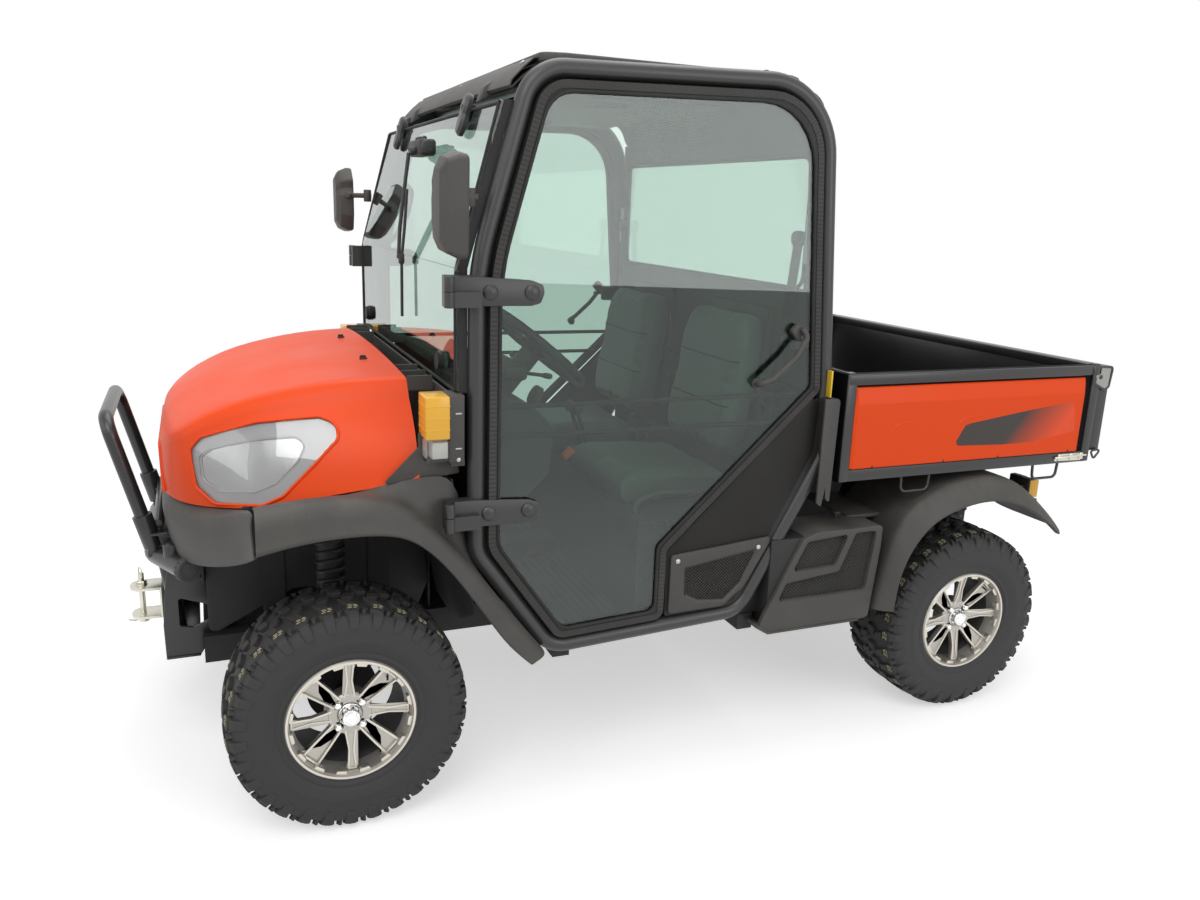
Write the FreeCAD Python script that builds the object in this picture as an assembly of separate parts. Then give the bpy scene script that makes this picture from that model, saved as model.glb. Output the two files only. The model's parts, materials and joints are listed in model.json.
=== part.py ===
import FreeCAD, Part
import math
import os

# Side by side utility vehicle with a closed cab and a tipping load bed
# Millimetres. The nose points to -Y, the vehicle's left side is +X, the ground is z = 0
# The origin lies on the ground under the middle of the whole vehicle

# Overall sizes
front_axle_ahead = 962.5
wheelbase = 2035.0
track = 1230.0
overrun = 30.0
seat_gap = 0.3
move_gap = 6.0

# Wheels
tyre_diameter = 635.0
tyre_width = 252.0
tread_depth = 14.0
lug_width = 24.0
lug_reach = 62.0
lug_share = 0.86
lug_count = 20
rim_flange_diameter = 340.0
rim_wall = 7.0
rim_barrel_diameter = 300.0
rim_face_depth = 84.0
rim_face_thickness = 16.0
rim_face_inset = 30.0
spoke_pairs = 4
spoke_width = 20.0
spoke_split_deg = 17.0
hub_diameter = 116.0
hub_cap_diameter = 62.0
hub_cap_height = 16.0
wheel_nut_diameter = 22.0
wheel_nut_height = 14.0
wheel_nut_circle = 90.0
spindle_diameter = 34.0
spindle_fit = 0.08

# Steering pivots and suspension
kingpin_x = 500.0
upright_width = 64.0
upright_height = 150.0
upright_thickness = 34.0
brake_disc_diameter = 190.0
brake_disc_thickness = 9.0
kingpin_diameter = 24.0
kingpin_length = 46.0
kingpin_fit = 0.08
arm_eye_height = 26.0
arm_eye_gap = 20.0
arm_plate_thickness = 14.0
arm_plate_width = 34.0
upper_arm_root_z = 452.0
arm_tube_diameter = 26.0
arm_root_x = 262.0
arm_spread = 150.0
arm_drop = 30.0
strut_diameter = 34.0
spring_diameter = 78.0
spring_length = 210.0
strut_top_z = 790.0
strut_top_x = 352.0
strut_foot_x = 388.0
strut_mount_height = 12.0
half_shaft_diameter = 26.0
half_shaft_end_gap = 24.0
rear_hub_diameter = 110.0
rear_hub_thickness = 40.0
rear_arm_height = 50.0
rear_arm_thickness = 36.0
rear_arm_length = 420.0
rear_arm_x = 400.0
rear_shock_x = 330.0
rear_shock_lean = 110.0

# Lower frame
rail_width = 50.0
rail_height = 80.0
rail_x = 250.0
rail_bottom_z = 322.0
rail_front_y = -1310.0
rail_behind = 297.5
cross_tube_width = 50.0
cross_tube_height = 50.0
skid_plate_thickness = 6.0
sill_arm_drop = 4.0
rear_tower_behind = 302.5
rear_tower_width = 60.0
rear_tower_x = 330.0
bed_pivot_z = 795.0
bed_pivot_diameter = 30.0
bed_pivot_fit = 0.08
bed_pivot_lug_width = 34.0
bed_pivot_lug_depth = 90.0
bed_rest_setback = 90.0
bed_rest_width = 50.0
hitch_tube = 64.0
hitch_wall = 6.4
hitch_pin_diameter = 16.0
hitch_pin_inset = 38.0
hitch_length = 110.0
hitch_z = 400.0
front_tower_depth = 60.0

# Engine and transmission
engine_width = 430.0
engine_height = 330.0
engine_gap = 24.0
bell_depth = 8.5
engine_bottom_z = 408.0
gearbox_width = 300.0
gearbox_length = 330.0
gearbox_height = 230.0
front_case_length = 220.0
front_case_width = 190.0
front_case_height = 150.0
prop_shaft_diameter = 40.0

# Front guard
guard_tube = 38.0
guard_half_width = 262.0
guard_top_z = 1025.0
guard_top_y = -1494.0
guard_foot_y = -1424.0
guard_foot_z = 630.0
guard_bend = 55.0
bumper_tube = 62.0
bumper_z = 625.0
bumper_y = -1420.0
bumper_straight_x = 205.0
bumper_end_x = 372.0
bumper_end_y = -1336.0
bumper_cap_diameter = 70.0
bumper_cap_length = 22.0
guard_plate_thickness = 10.0
guard_plate_x = 238.0
guard_lower_front_y = -1412.0
guard_lower_z = 276.0
guard_lower_rear_y = -1316.0
guard_stay_tube = 30.0
guard_stay_x = 120.0
guard_brace_z = 760.0
clevis_width = 84.0
clevis_length = 92.0
clevis_thickness = 9.0
clevis_gap = 62.0
clevis_centre_z = 432.0
clevis_pin_diameter = 17.0
clevis_pin_length = 150.0
clevis_pin_inset = 42.0
clevis_ring_diameter = 34.0
clevis_ring_wire = 4.0
clevis_back_width = 70.0

# Cab tubes
cab_tube = 45.0
cab_outer_x = 740.0
cab_top_z = 2007.5
cab_sill_z = 422.5
cab_front_y = -654.0
cab_rear_y = 459.0
cab_bend = 110.0
cab_rear_bend = 200.0
cab_knee_bend = 90.0
cab_lean_bend = 700.0
# Centre line of a side hoop: shares of its length and height, and shares of the tube bends
hoop_shares = [
    (0.2106, 0.0142),
    (0.0202, 0.2035),
    (0.0202, 0.6673),
    (0.1415, 0.9700),
    (0.9025, 0.9858),
    (0.9798, 0.3277),
    (0.7500, 0.0331),
]
cross_bar_tube = 38.0
floor_bar_y = -400.0
pillar_plate_thickness = 14.0
pillar_plate_top_z = 1121.0
pillar_plate_bottom_z = 800.0
pillar_plate_width = 40.0
rear_bar_z = 1400.0

# Door
door_thickness = 22.0
door_frame_width = 26.0
door_glass_thickness = 6.0
door_glass_gap = 0.3
door_cut_top_z = 1141.0
door_step_y = -81.0
door_step_z = 699.0
hinge_x = 764.0
hinge_y = -712.0
hinge_top_z = 1428.0
hinge_low_z = 860.0
hinge_height = 76.0
hinge_knuckle_diameter = 26.0
hinge_pin_diameter = 12.0
hinge_pin_fit = 0.08
hinge_strap_length = 245.0
hinge_strap_thickness = 7.0
hinge_strap_gap = 0.3
hinge_bolt_diameter = 36.0
hinge_bolt_height = 10.0
door_bolt_share = (0.42, 0.86)
handle_tube = 18.0
handle_low_y = 178.0
handle_low_z = 1172.0
handle_high_y = 318.0
handle_high_z = 1314.0
handle_rise = 42.0
handle_bow_share = 0.72
door_rail_tube = 14.0
door_rail_low_z = 1050.0
door_rail_high_z = 1130.0
door_open_deg = 65.0

# Glazing
windshield_thickness = 6.0
windshield_bottom_z = 1172.0
windshield_top_z = 1880.0
windshield_half_width = 715.0
windshield_seal_depth = 22.0
windshield_seal_width = 30.0
clamp_diameter = 46.0
clamp_height = 16.0
clamp_inset_x = 150.0
clamp_rise = 60.0
screen_hinge_diameter = 60.0
screen_hinge_x = 360.0
rear_window_thickness = 6.0
rear_window_bottom_z = 1425.0
rear_window_top_z = 1800.0
rear_window_half_width = 640.0
rear_panel_y = 372.0
rear_panel_thickness = 14.0
rear_panel_top_z = 1880.0
rear_panel_bottom_z = 760.0

# Roof
roof_thickness = 34.0
roof_wall = 8.0
roof_half_width = 690.0
roof_front_y = -474.0
roof_rear_y = 300.0
roof_top_z = 2010.0
visor_drop = 78.0
visor_reach = 62.0
visor_thickness = 20.0
roof_bracket_width = 36.0
roof_bracket_height = 60.0
roof_bracket_x = 560.0

# Hood: sections from the nose to the rear edge
hood_front_y = -1386.0
hood_rear_y = -772.0
hood_half_width = 694.0
hood_low_z = 846.0
hood_high_z = 1196.0
hood_wall = 6.0
# Rows: place along the hood, then shares of half width and height of the crease, crown and lower edge
hood_section_shares = [
    (0.000, 0.360, 0.420, 0.440, 0.350, 0.060),
    (0.075, 0.590, 0.560, 0.600, 0.600, 0.020),
    (0.220, 0.645, 0.715, 0.775, 0.760, 0.035),
    (0.450, 0.690, 0.845, 0.905, 0.880, 0.110),
    (0.700, 0.725, 0.925, 0.970, 0.945, 0.180),
    (1.000, 0.765, 0.955, 1.000, 1.000, 0.255),
]
hood_gap = 4.0
hood_hinge_z = 1170.0
hood_hinge_x = 450.0
hood_hinge_plate = 8.0
hood_hinge_boss = 18.0
hood_hinge_pin = 8.0
hood_hinge_head = 14.0
hood_hinge_fit = 0.08
hood_hinge_y = -776.0
hood_open_deg = 50.0
hood_corner_cut_y = -862.0
hood_corner_cut_z = 1000.0
lamp_wall = 10.0
lamp_depth = 90.0
lamp_gap = 0.4
lamp_length = 330.0
lamp_height = 215.0
lamp_front_y = -1300.0
lamp_bottom_z = 868.0
lamp_inner_x = 395.0
# Outline of a headlamp seen from the side
lamp_shares = [
    (0.06, 0.62),
    (0.20, 0.90),
    (0.62, 0.92),
    (0.96, 1.00),
    (1.00, 0.78),
    (0.74, 0.34),
    (0.36, 0.04),
    (0.16, 0.10),
]
lamp_corner = 22.0
grille_half_top = 262.0
grille_half_bottom = 300.0
grille_bottom_z = 850.0
grille_top_z = 985.0
grille_thickness = 14.0
grille_slot_height = 9.0
grille_slot_gap = 9.0
grille_border = 18.0
grille_gap = 1.0

# Front apron and fenders
apron_front_y = -1386.0
apron_seam = 0.3
apron_top_z = 842.0
apron_bottom_z = 662.0
apron_wall = 7.0
apron_half_width = 792.0
apron_nose_half = 300.0
apron_shoulder_x = 520.0
apron_shoulder_share = 0.42
apron_opening_half = 262.0
apron_opening_top_z = 822.0
fender_front_y = -1176.0
fender_rear_y = -452.0
fender_low_z = 454.0
fender_high_z = 936.0
fender_outer_x = 792.0
fender_inner_x = 700.0
fender_shelf_x = 430.0
fender_shelf_gap = 6.0
fender_wall = 6.0
# Upper and lower edge of the front fender's lip
fender_upper_shares = [
    (0.000, 0.950),
    (0.100, 0.985),
    (0.260, 1.000),
    (0.400, 0.985),
    (0.490, 0.950),
    (0.612, 0.752),
    (0.775, 0.502),
    (0.925, 0.176),
    (1.000, 0.000),
]
fender_lower_shares = [
    (0.890, 0.012),
    (0.840, 0.102),
    (0.760, 0.286),
    (0.620, 0.612),
    (0.560, 0.720),
    (0.480, 0.788),
    (0.160, 0.795),
    (0.000, 0.751),
]
fender_cheek_top_z = 1004.0
fender_cheek_rear_y = -664.0
fender_cheek_thickness = 8.0
signal_width = 92.0
signal_depth = 66.0
signal_height = 168.0
signal_bottom_z = 1004.0
signal_inner_x = 662.0
signal_front_y = -776.0
signal_base_depth = 50.0
signal_corner = 5.0
rear_fender_behind = 325.5
rear_fender_low_z = 435.0
rear_fender_high_z = 846.0
rear_fender_outer_x = 800.0
rear_fender_inner_x = 470.0
rear_fender_lower_inner_x = 700.0
rear_fender_upper_shares = [
    (0.000, 0.000),
    (0.035, 0.380),
    (0.080, 0.600),
    (0.225, 0.832),
    (0.440, 0.985),
    (0.600, 1.000),
    (0.800, 0.830),
    (0.945, 0.594),
    (1.000, 0.470),
]
rear_fender_lower_shares = [
    (0.960, 0.470),
    (0.905, 0.520),
    (0.760, 0.700),
    (0.590, 0.800),
    (0.450, 0.790),
    (0.300, 0.660),
    (0.165, 0.430),
    (0.110, 0.270),
    (0.100, 0.000),
]

# Side boxes and lower side panels
side_box_front_y = 262.0
side_box_ahead = 408.5
side_box_low_z = 402.0
side_box_high_z = 708.0
side_box_outer_x = 762.0
side_box_depth = 210.0
side_box_wall = 8.0
side_box_slope_share = 0.398
side_box_border = 34.0
side_box_bar_width = 26.0
side_box_bar_share = (0.42, 0.66)
side_box_mesh_depth = 14.0
side_box_step_height = 14.0
side_panel_thickness = 8.0
side_panel_inset = 12.0
side_panel_gap = 6.0
vent_thickness = 9.0
vent_border = 18.0
vent_front_y = -54.0
vent_rear_y = 268.0
vent_top_z = 704.0
vent_bottom_z = 504.0
vent_rear_low_y = 128.0
vent_corner = 18.0
vent_mesh_depth = 5.0

# Cowl
cowl_half_width = 655.0
cowl_top_half = 630.0
cowl_gap = 8.0
cowl_rear_y = -684.0
cowl_top_z = 1168.0
cowl_drop = 24.0
cowl_wall = 6.0
cowl_slot_width = 10.0
cowl_slot_length = 58.0
cowl_slot_pitch = 22.0
cowl_slot_rows = 9

# Cab floor and seat base
tub_half_width = 690.0
tub_wall = 8.0
tub_floor_z = 446.0
toe_low_y = -440.0
toe_high_y = -618.0
toe_high_z = 742.0
firewall_top_z = 1150.0
seat_base_front_y = -150.0
seat_base_rear_y = 350.0
seat_base_top_z = 772.0
console_width = 120.0
console_height = 60.0
console_length = 240.0

# Seats
seat_x = 330.0
seat_width = 470.0
cushion_front_y = -170.0
cushion_length = 440.0
cushion_height = 105.0
seat_back_height = 500.0
seat_back_thickness = 96.0
seat_back_lean_deg = 9.0
seat_back_rear_y = 354.0
seat_corner = 34.0

# Dashboard and steering
dash_half_width = 640.0
dash_gap = 0.3
dash_rear_y = -392.0
dash_top_z = 1142.0
dash_bottom_z = 862.0
dash_shares = [
    (0.00, 0.10),
    (0.00, 0.96),
    (0.30, 1.00),
    (0.72, 0.90),
    (1.00, 0.66),
    (0.94, 0.22),
    (0.66, 0.00),
    (0.24, 0.00),
]
dash_corner = 16.0
pod_half_width = 130.0
pod_height = 52.0
pod_length = 96.0
glove_depth = 110.0
glove_height = 120.0
glove_width = 360.0
steering_x = 310.0
steering_wheel_diameter = 368.0
steering_rim_tube = 27.0
steering_hub_diameter = 92.0
steering_hub_height = 34.0
steering_spoke_degs = (0, 105, -105)
steering_spoke_width = 26.0
steering_spoke_thickness = 10.0
steering_centre_y = -336.0
steering_centre_z = 1226.0
steering_tilt_deg = 40.0
column_diameter = 64.0
column_length = 330.0
column_gap = 6.0
steering_shaft_diameter = 22.0
steering_shaft_fit = 0.08
steer_deg = 26.0
steering_ratio = 15.0

# Mirrors
mirror_width = 168.0
mirror_height = 246.0
mirror_depth = 62.0
mirror_inner_x = 752.0
mirror_front_y = -762.0
mirror_bottom_z = 1508.0
mirror_corner = 26.0
mirror_arm = 20.0
mirror_arm_z = 1650.0
mirror_glass_depth = 4.0
mirror_glass_border = 12.0

# Wiper
wiper_arm_width = 12.0
wiper_arm_thickness = 7.0
wiper_blade_length = 430.0
wiper_motor_length = 170.0
wiper_motor_height = 58.0
wiper_motor_depth = 52.0
wiper_x = 130.0
wiper_gap = 1.4

# Load bed
bed_cab_gap = 11.0
bed_behind = 401.5
bed_half_width = 762.0
bed_top_z = 1190.0
bed_floor_z = 892.0
bed_bottom_z = 862.0
bed_wall = 24.0
bed_rail_width = 34.0
bed_rail_height = 34.0
bed_panel_lead = 28.0
bed_panel_tail = 50.0
bed_panel_bottom_z = 900.0
bed_panel_top_z = 1152.0
bed_panel_crease_z = 1104.0
bed_panel_thickness = 14.0
bed_panel_lip = 5.0
bed_post_width = 36.0
bed_beam_width = 46.0
bed_beam_height = 40.0
bed_rib_width = 40.0
bed_rib_depth = 6.0
bed_rib_count = 7
tailgate_thickness = 34.0
tailgate_gap = 6.0
tailgate_hinge_z = 878.0
tailgate_foot_gap = 18.0
tailgate_hinge_diameter = 20.0
tailgate_hinge_length = 70.0
tailgate_hinge_share = 0.66
tailgate_lug_length = 26.0
tailgate_pin_diameter = 10.0
tailgate_pin_fit = 0.08
tailgate_top_gap = 6.0
tailgate_open_deg = 90.0
tailgate_skin = 5.0
tailgate_rim = 26.0
tailgate_rib_width = 30.0
hook_wire = 9.0
hook_width = 110.0
hook_drop = 52.0
hook_ahead = 352.5
hook_behind = 189.5
hook_x = 745.0
hook_bend = 16.0
reflector_width = 62.0
reflector_height = 62.0
reflector_depth = 12.0
latch_length = 90.0
latch_height = 26.0
latch_thickness = 8.0
tail_lamp_width = 96.0
tail_lamp_height = 74.0
tail_lamp_depth = 46.0
tail_lamp_x = 600.0
tail_lamp_behind = 293.5
tail_lamp_z = 700.0
tail_bracket_thickness = 8.0
bed_tilt_deg = 38.0

# Lift cylinder
cylinder_foot_ahead = 172.5
cylinder_foot_z = 455.0
cylinder_foot_x = 270.0
cylinder_diameter = 62.0
cylinder_share = 0.70
cylinder_neck_share = 0.78
cylinder_neck_diameter = 25.0
rod_diameter = 34.0
rod_fit = 0.08
rod_eye_behind = 127.5
rod_eye_z = 824.0
eye_diameter = 56.0
eye_width = 30.0
eye_clearance = 9.0
foot_pin_diameter = 20.0
eye_pin_diameter = 16.0
eye_lug_thickness = 10.0
eye_lug_gap = 3.0
cylinder_bore_depth_share = 0.76

# Derived places
front_axle_y = -front_axle_ahead
rear_axle_y = front_axle_y + wheelbase
rail_rear_y = rear_axle_y + rail_behind
rear_tower_y = rear_axle_y + rear_tower_behind
bed_pivot_y = rear_tower_y
bed_front_y = cab_rear_y + bed_cab_gap
bed_rear_y = rear_axle_y + bed_behind
bed_rest_y = bed_front_y + bed_rest_setback
bed_panel_front_y = bed_front_y + bed_panel_lead
bed_panel_rear_y = bed_rear_y - bed_panel_tail
engine_front_y = rear_panel_y + engine_gap
engine_rear_y = rear_axle_y - gearbox_length / 2 + bell_depth
rear_fender_rear_y = rear_axle_y + rear_fender_behind
side_box_rear_y = rear_axle_y - side_box_ahead
side_box_slope_y = side_box_slope_share * (side_box_rear_y - side_box_front_y)
hook_front_y = rear_axle_y - hook_ahead
hook_rear_y = rear_axle_y + hook_behind
tail_lamp_y = rear_axle_y + tail_lamp_behind
cylinder_foot_y = rear_axle_y - cylinder_foot_ahead
rod_eye_y = rear_axle_y + rod_eye_behind
axle_z = tyre_diameter / 2
wheel_x = track / 2
cab_tube_r = cab_tube / 2
cab_tube_x = cab_outer_x - cab_tube_r
cab_length = cab_rear_y - cab_front_y
cab_height = cab_top_z - cab_sill_z
door_inner_x = cab_outer_x - door_thickness
dash_front_y = toe_high_y + dash_gap
rear_fender_front_y = side_box_rear_y + seat_gap
cowl_front_y = hood_rear_y + cowl_gap
hood_rear_low_z = hood_low_z + hood_section_shares[-1][5] * (hood_high_z - hood_low_z)
cowl_bottom_z = hood_rear_low_z - fender_shelf_gap + seat_gap
apron_rear_y = fender_front_y - apron_seam
knuckle_low_z = axle_z - upright_height / 2
knuckle_high_z = axle_z + upright_height / 2


def vec(x, y, z):
    return FreeCAD.Vector(x, y, z)


def block(x0, x1, y0, y1, z0, z1):
    """A box between two corners."""
    return Part.makeBox(x1 - x0, y1 - y0, z1 - z0, vec(x0, y0, z0))


def rod(start, end, diameter):
    """A round bar from one point to another."""
    way = end - start
    return Part.makeCylinder(diameter / 2, way.Length, start, way)


def mirrored(shape):
    """The same piece on the vehicle's right side."""
    return shape.mirror(vec(0, 0, 0), vec(1, 0, 0))


def both_sides(shape):
    return Part.makeCompound([shape, mirrored(shape)])


def fused(shapes):
    """One body from pieces that are welded or moulded together."""
    whole = shapes[0]
    if len(shapes) > 1:
        whole = shapes[0].multiFuse(shapes[1:])
    return whole.removeSplitter()


def spots(shares, y0, z0, length, height):
    """Outline points from shares of a piece's own length and height."""
    return [(y0 + a * length, z0 + b * height) for a, b in shares]


def inset(points, distance):
    """An outline moved inwards by a distance. The points run clockwise or counterclockwise."""
    area = 0
    count = len(points)
    for i in range(count):
        a, b = points[i], points[(i + 1) % count]
        area += a[0] * b[1] - b[0] * a[1]
    side = 1 if area > 0 else -1
    lines = []
    for i in range(count):
        a, b = points[i], points[(i + 1) % count]
        dy, dz = b[0] - a[0], b[1] - a[1]
        size = math.hypot(dy, dz)
        ny, nz = -dz / size * side, dy / size * side
        lines.append((a[0] + ny * distance, a[1] + nz * distance, dy / size, dz / size))
    moved = []
    for i in range(count):
        p, q = lines[i - 1], lines[i]
        cross = p[2] * q[3] - p[3] * q[2]
        along = ((q[0] - p[0]) * q[3] - (q[1] - p[1]) * q[2]) / cross
        moved.append((p[0] + p[2] * along, p[1] + p[3] * along))
    return moved


def corner_cut(a, b, c, radius):
    """Start, middle and end of the arc that rounds corner b, limited by its two sides."""
    to_a, to_c = (a - b), (c - b)
    len_a, len_c = to_a.Length, to_c.Length
    to_a.normalize()
    to_c.normalize()
    half = to_a.getAngle(to_c) / 2
    reach = min(radius / math.tan(half), len_a * 0.49, len_c * 0.49)
    radius = reach * math.tan(half)
    middle = to_a + to_c
    middle.normalize()
    centre = b + middle * (radius / math.sin(half))
    return b + to_a * reach, centre - middle * radius, b + to_c * reach


def rounded_path(points, radii, closed):
    """A path of straight runs joined by tangent arcs."""
    count = len(points)
    cuts = {}
    for i in range(count):
        if not closed and i in (0, count - 1):
            continue
        size = radii[i] if isinstance(radii, list) else radii
        if size > 0:
            cuts[i] = corner_cut(points[i - 1], points[i], points[(i + 1) % count], size)
    edges = []
    last = count if closed else count - 1
    for i in range(last):
        j = (i + 1) % count
        start = cuts[i][2] if i in cuts else points[i]
        end = cuts[j][0] if j in cuts else points[j]
        if (end - start).Length > seat_gap / 100:
            edges.append(Part.LineSegment(start, end).toShape())
        if j in cuts and (closed or j != count - 1):
            edges.append(Part.Arc(*cuts[j]).toShape())
    return Part.Wire(edges)


def side_face(points, x, radii=0):
    """A flat face in a YZ plane with rounded corners."""
    return Part.Face(rounded_path([vec(x, y, z) for y, z in points], radii, True))


def side_plate(points, x0, x1, radii=0):
    """A YZ outline extruded from x0 to x1."""
    return side_face(points, x0, radii).extrude(vec(x1 - x0, 0, 0))


def plan_plate(points, z0, z1, radii=0):
    """An XY outline extruded from z0 to z1."""
    wire = rounded_path([vec(x, y, z0) for x, y in points], radii, True)
    return Part.Face(wire).extrude(vec(0, 0, z1 - z0))


def front_plate(points, y0, y1, radii=0):
    """An XZ outline extruded from y0 to y1."""
    wire = rounded_path([vec(x, y0, z) for x, z in points], radii, True)
    return Part.Face(wire).extrude(vec(0, y1 - y0, 0))


def bent_tube(points, diameter, bend, closed=False):
    """A round tube along straight runs and bends, made run by run."""
    pieces = []
    for edge in rounded_path(points, bend, closed).Edges:
        start = edge.valueAt(edge.FirstParameter)
        way = edge.tangentAt(edge.FirstParameter)
        disc = Part.Face(Part.Wire(Part.makeCircle(diameter / 2, start, way)))
        if isinstance(edge.Curve, Part.Circle):
            turn = math.degrees(edge.LastParameter - edge.FirstParameter)
            pieces.append(disc.revolve(edge.Curve.Center, edge.Curve.Axis, turn))
        else:
            pieces.append(disc.extrude(edge.valueAt(edge.LastParameter) - start))
    return fused(pieces)


def soft_block(x0, x1, y0, y1, z0, z1, corner):
    """A box with all its edges rounded."""
    body = block(x0, x1, y0, y1, z0, z1)
    return body.makeFillet(corner, body.Edges)


def hoop_line():
    """Centre line of a cab hoop as YZ points."""
    return spots(hoop_shares, cab_front_y, cab_sill_z, cab_length, cab_height)


def hoop_bends():
    return [cab_knee_bend, cab_knee_bend, cab_lean_bend, cab_bend, cab_rear_bend,
            cab_knee_bend, cab_knee_bend]


def cross_at(a, b, z):
    """The Y of the line through two YZ points at height z."""
    return a[0] + (b[0] - a[0]) * (z - a[1]) / (b[1] - a[1])


def hoop_front_y(z):
    """Centre line of the front pillar at height z."""
    line = hoop_line()
    low, mid, high = line[1], line[2], line[3]
    return cross_at(low, mid, z) if z < mid[1] else cross_at(mid, high, z)


def hoop_rear_y(z):
    """Centre line of the rear pillar at height z."""
    line = hoop_line()
    return cross_at(line[4], line[5], z)


def door_line(distance):
    """The door's outline, set in from the hoop's centre line and cut off low at the rear."""
    line = inset(hoop_line(), distance)
    extra = distance - cab_tube_r
    rear_y = cross_at(line[4], line[5], door_cut_top_z)
    low_z = line[0][1] + (line[6][1] - line[0][1]) * (
        (door_step_y - line[0][0]) / (line[6][0] - line[0][0]))
    cut = [(rear_y, door_cut_top_z), (door_step_y, door_step_z), (door_step_y, low_z)]
    return line[:5] + cut, extra


def door_outline(distance):
    """The door's outline at a distance inside the opening."""
    base, extra = door_line(cab_tube_r + move_gap)
    return inset(base, distance) if distance > 0 else base


def door_bends():
    return [cab_knee_bend / 2, cab_knee_bend, cab_lean_bend, cab_bend * 0.75,
            cab_rear_bend * 0.85, cab_knee_bend / 3, cab_knee_bend / 3, cab_knee_bend / 3]


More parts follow.
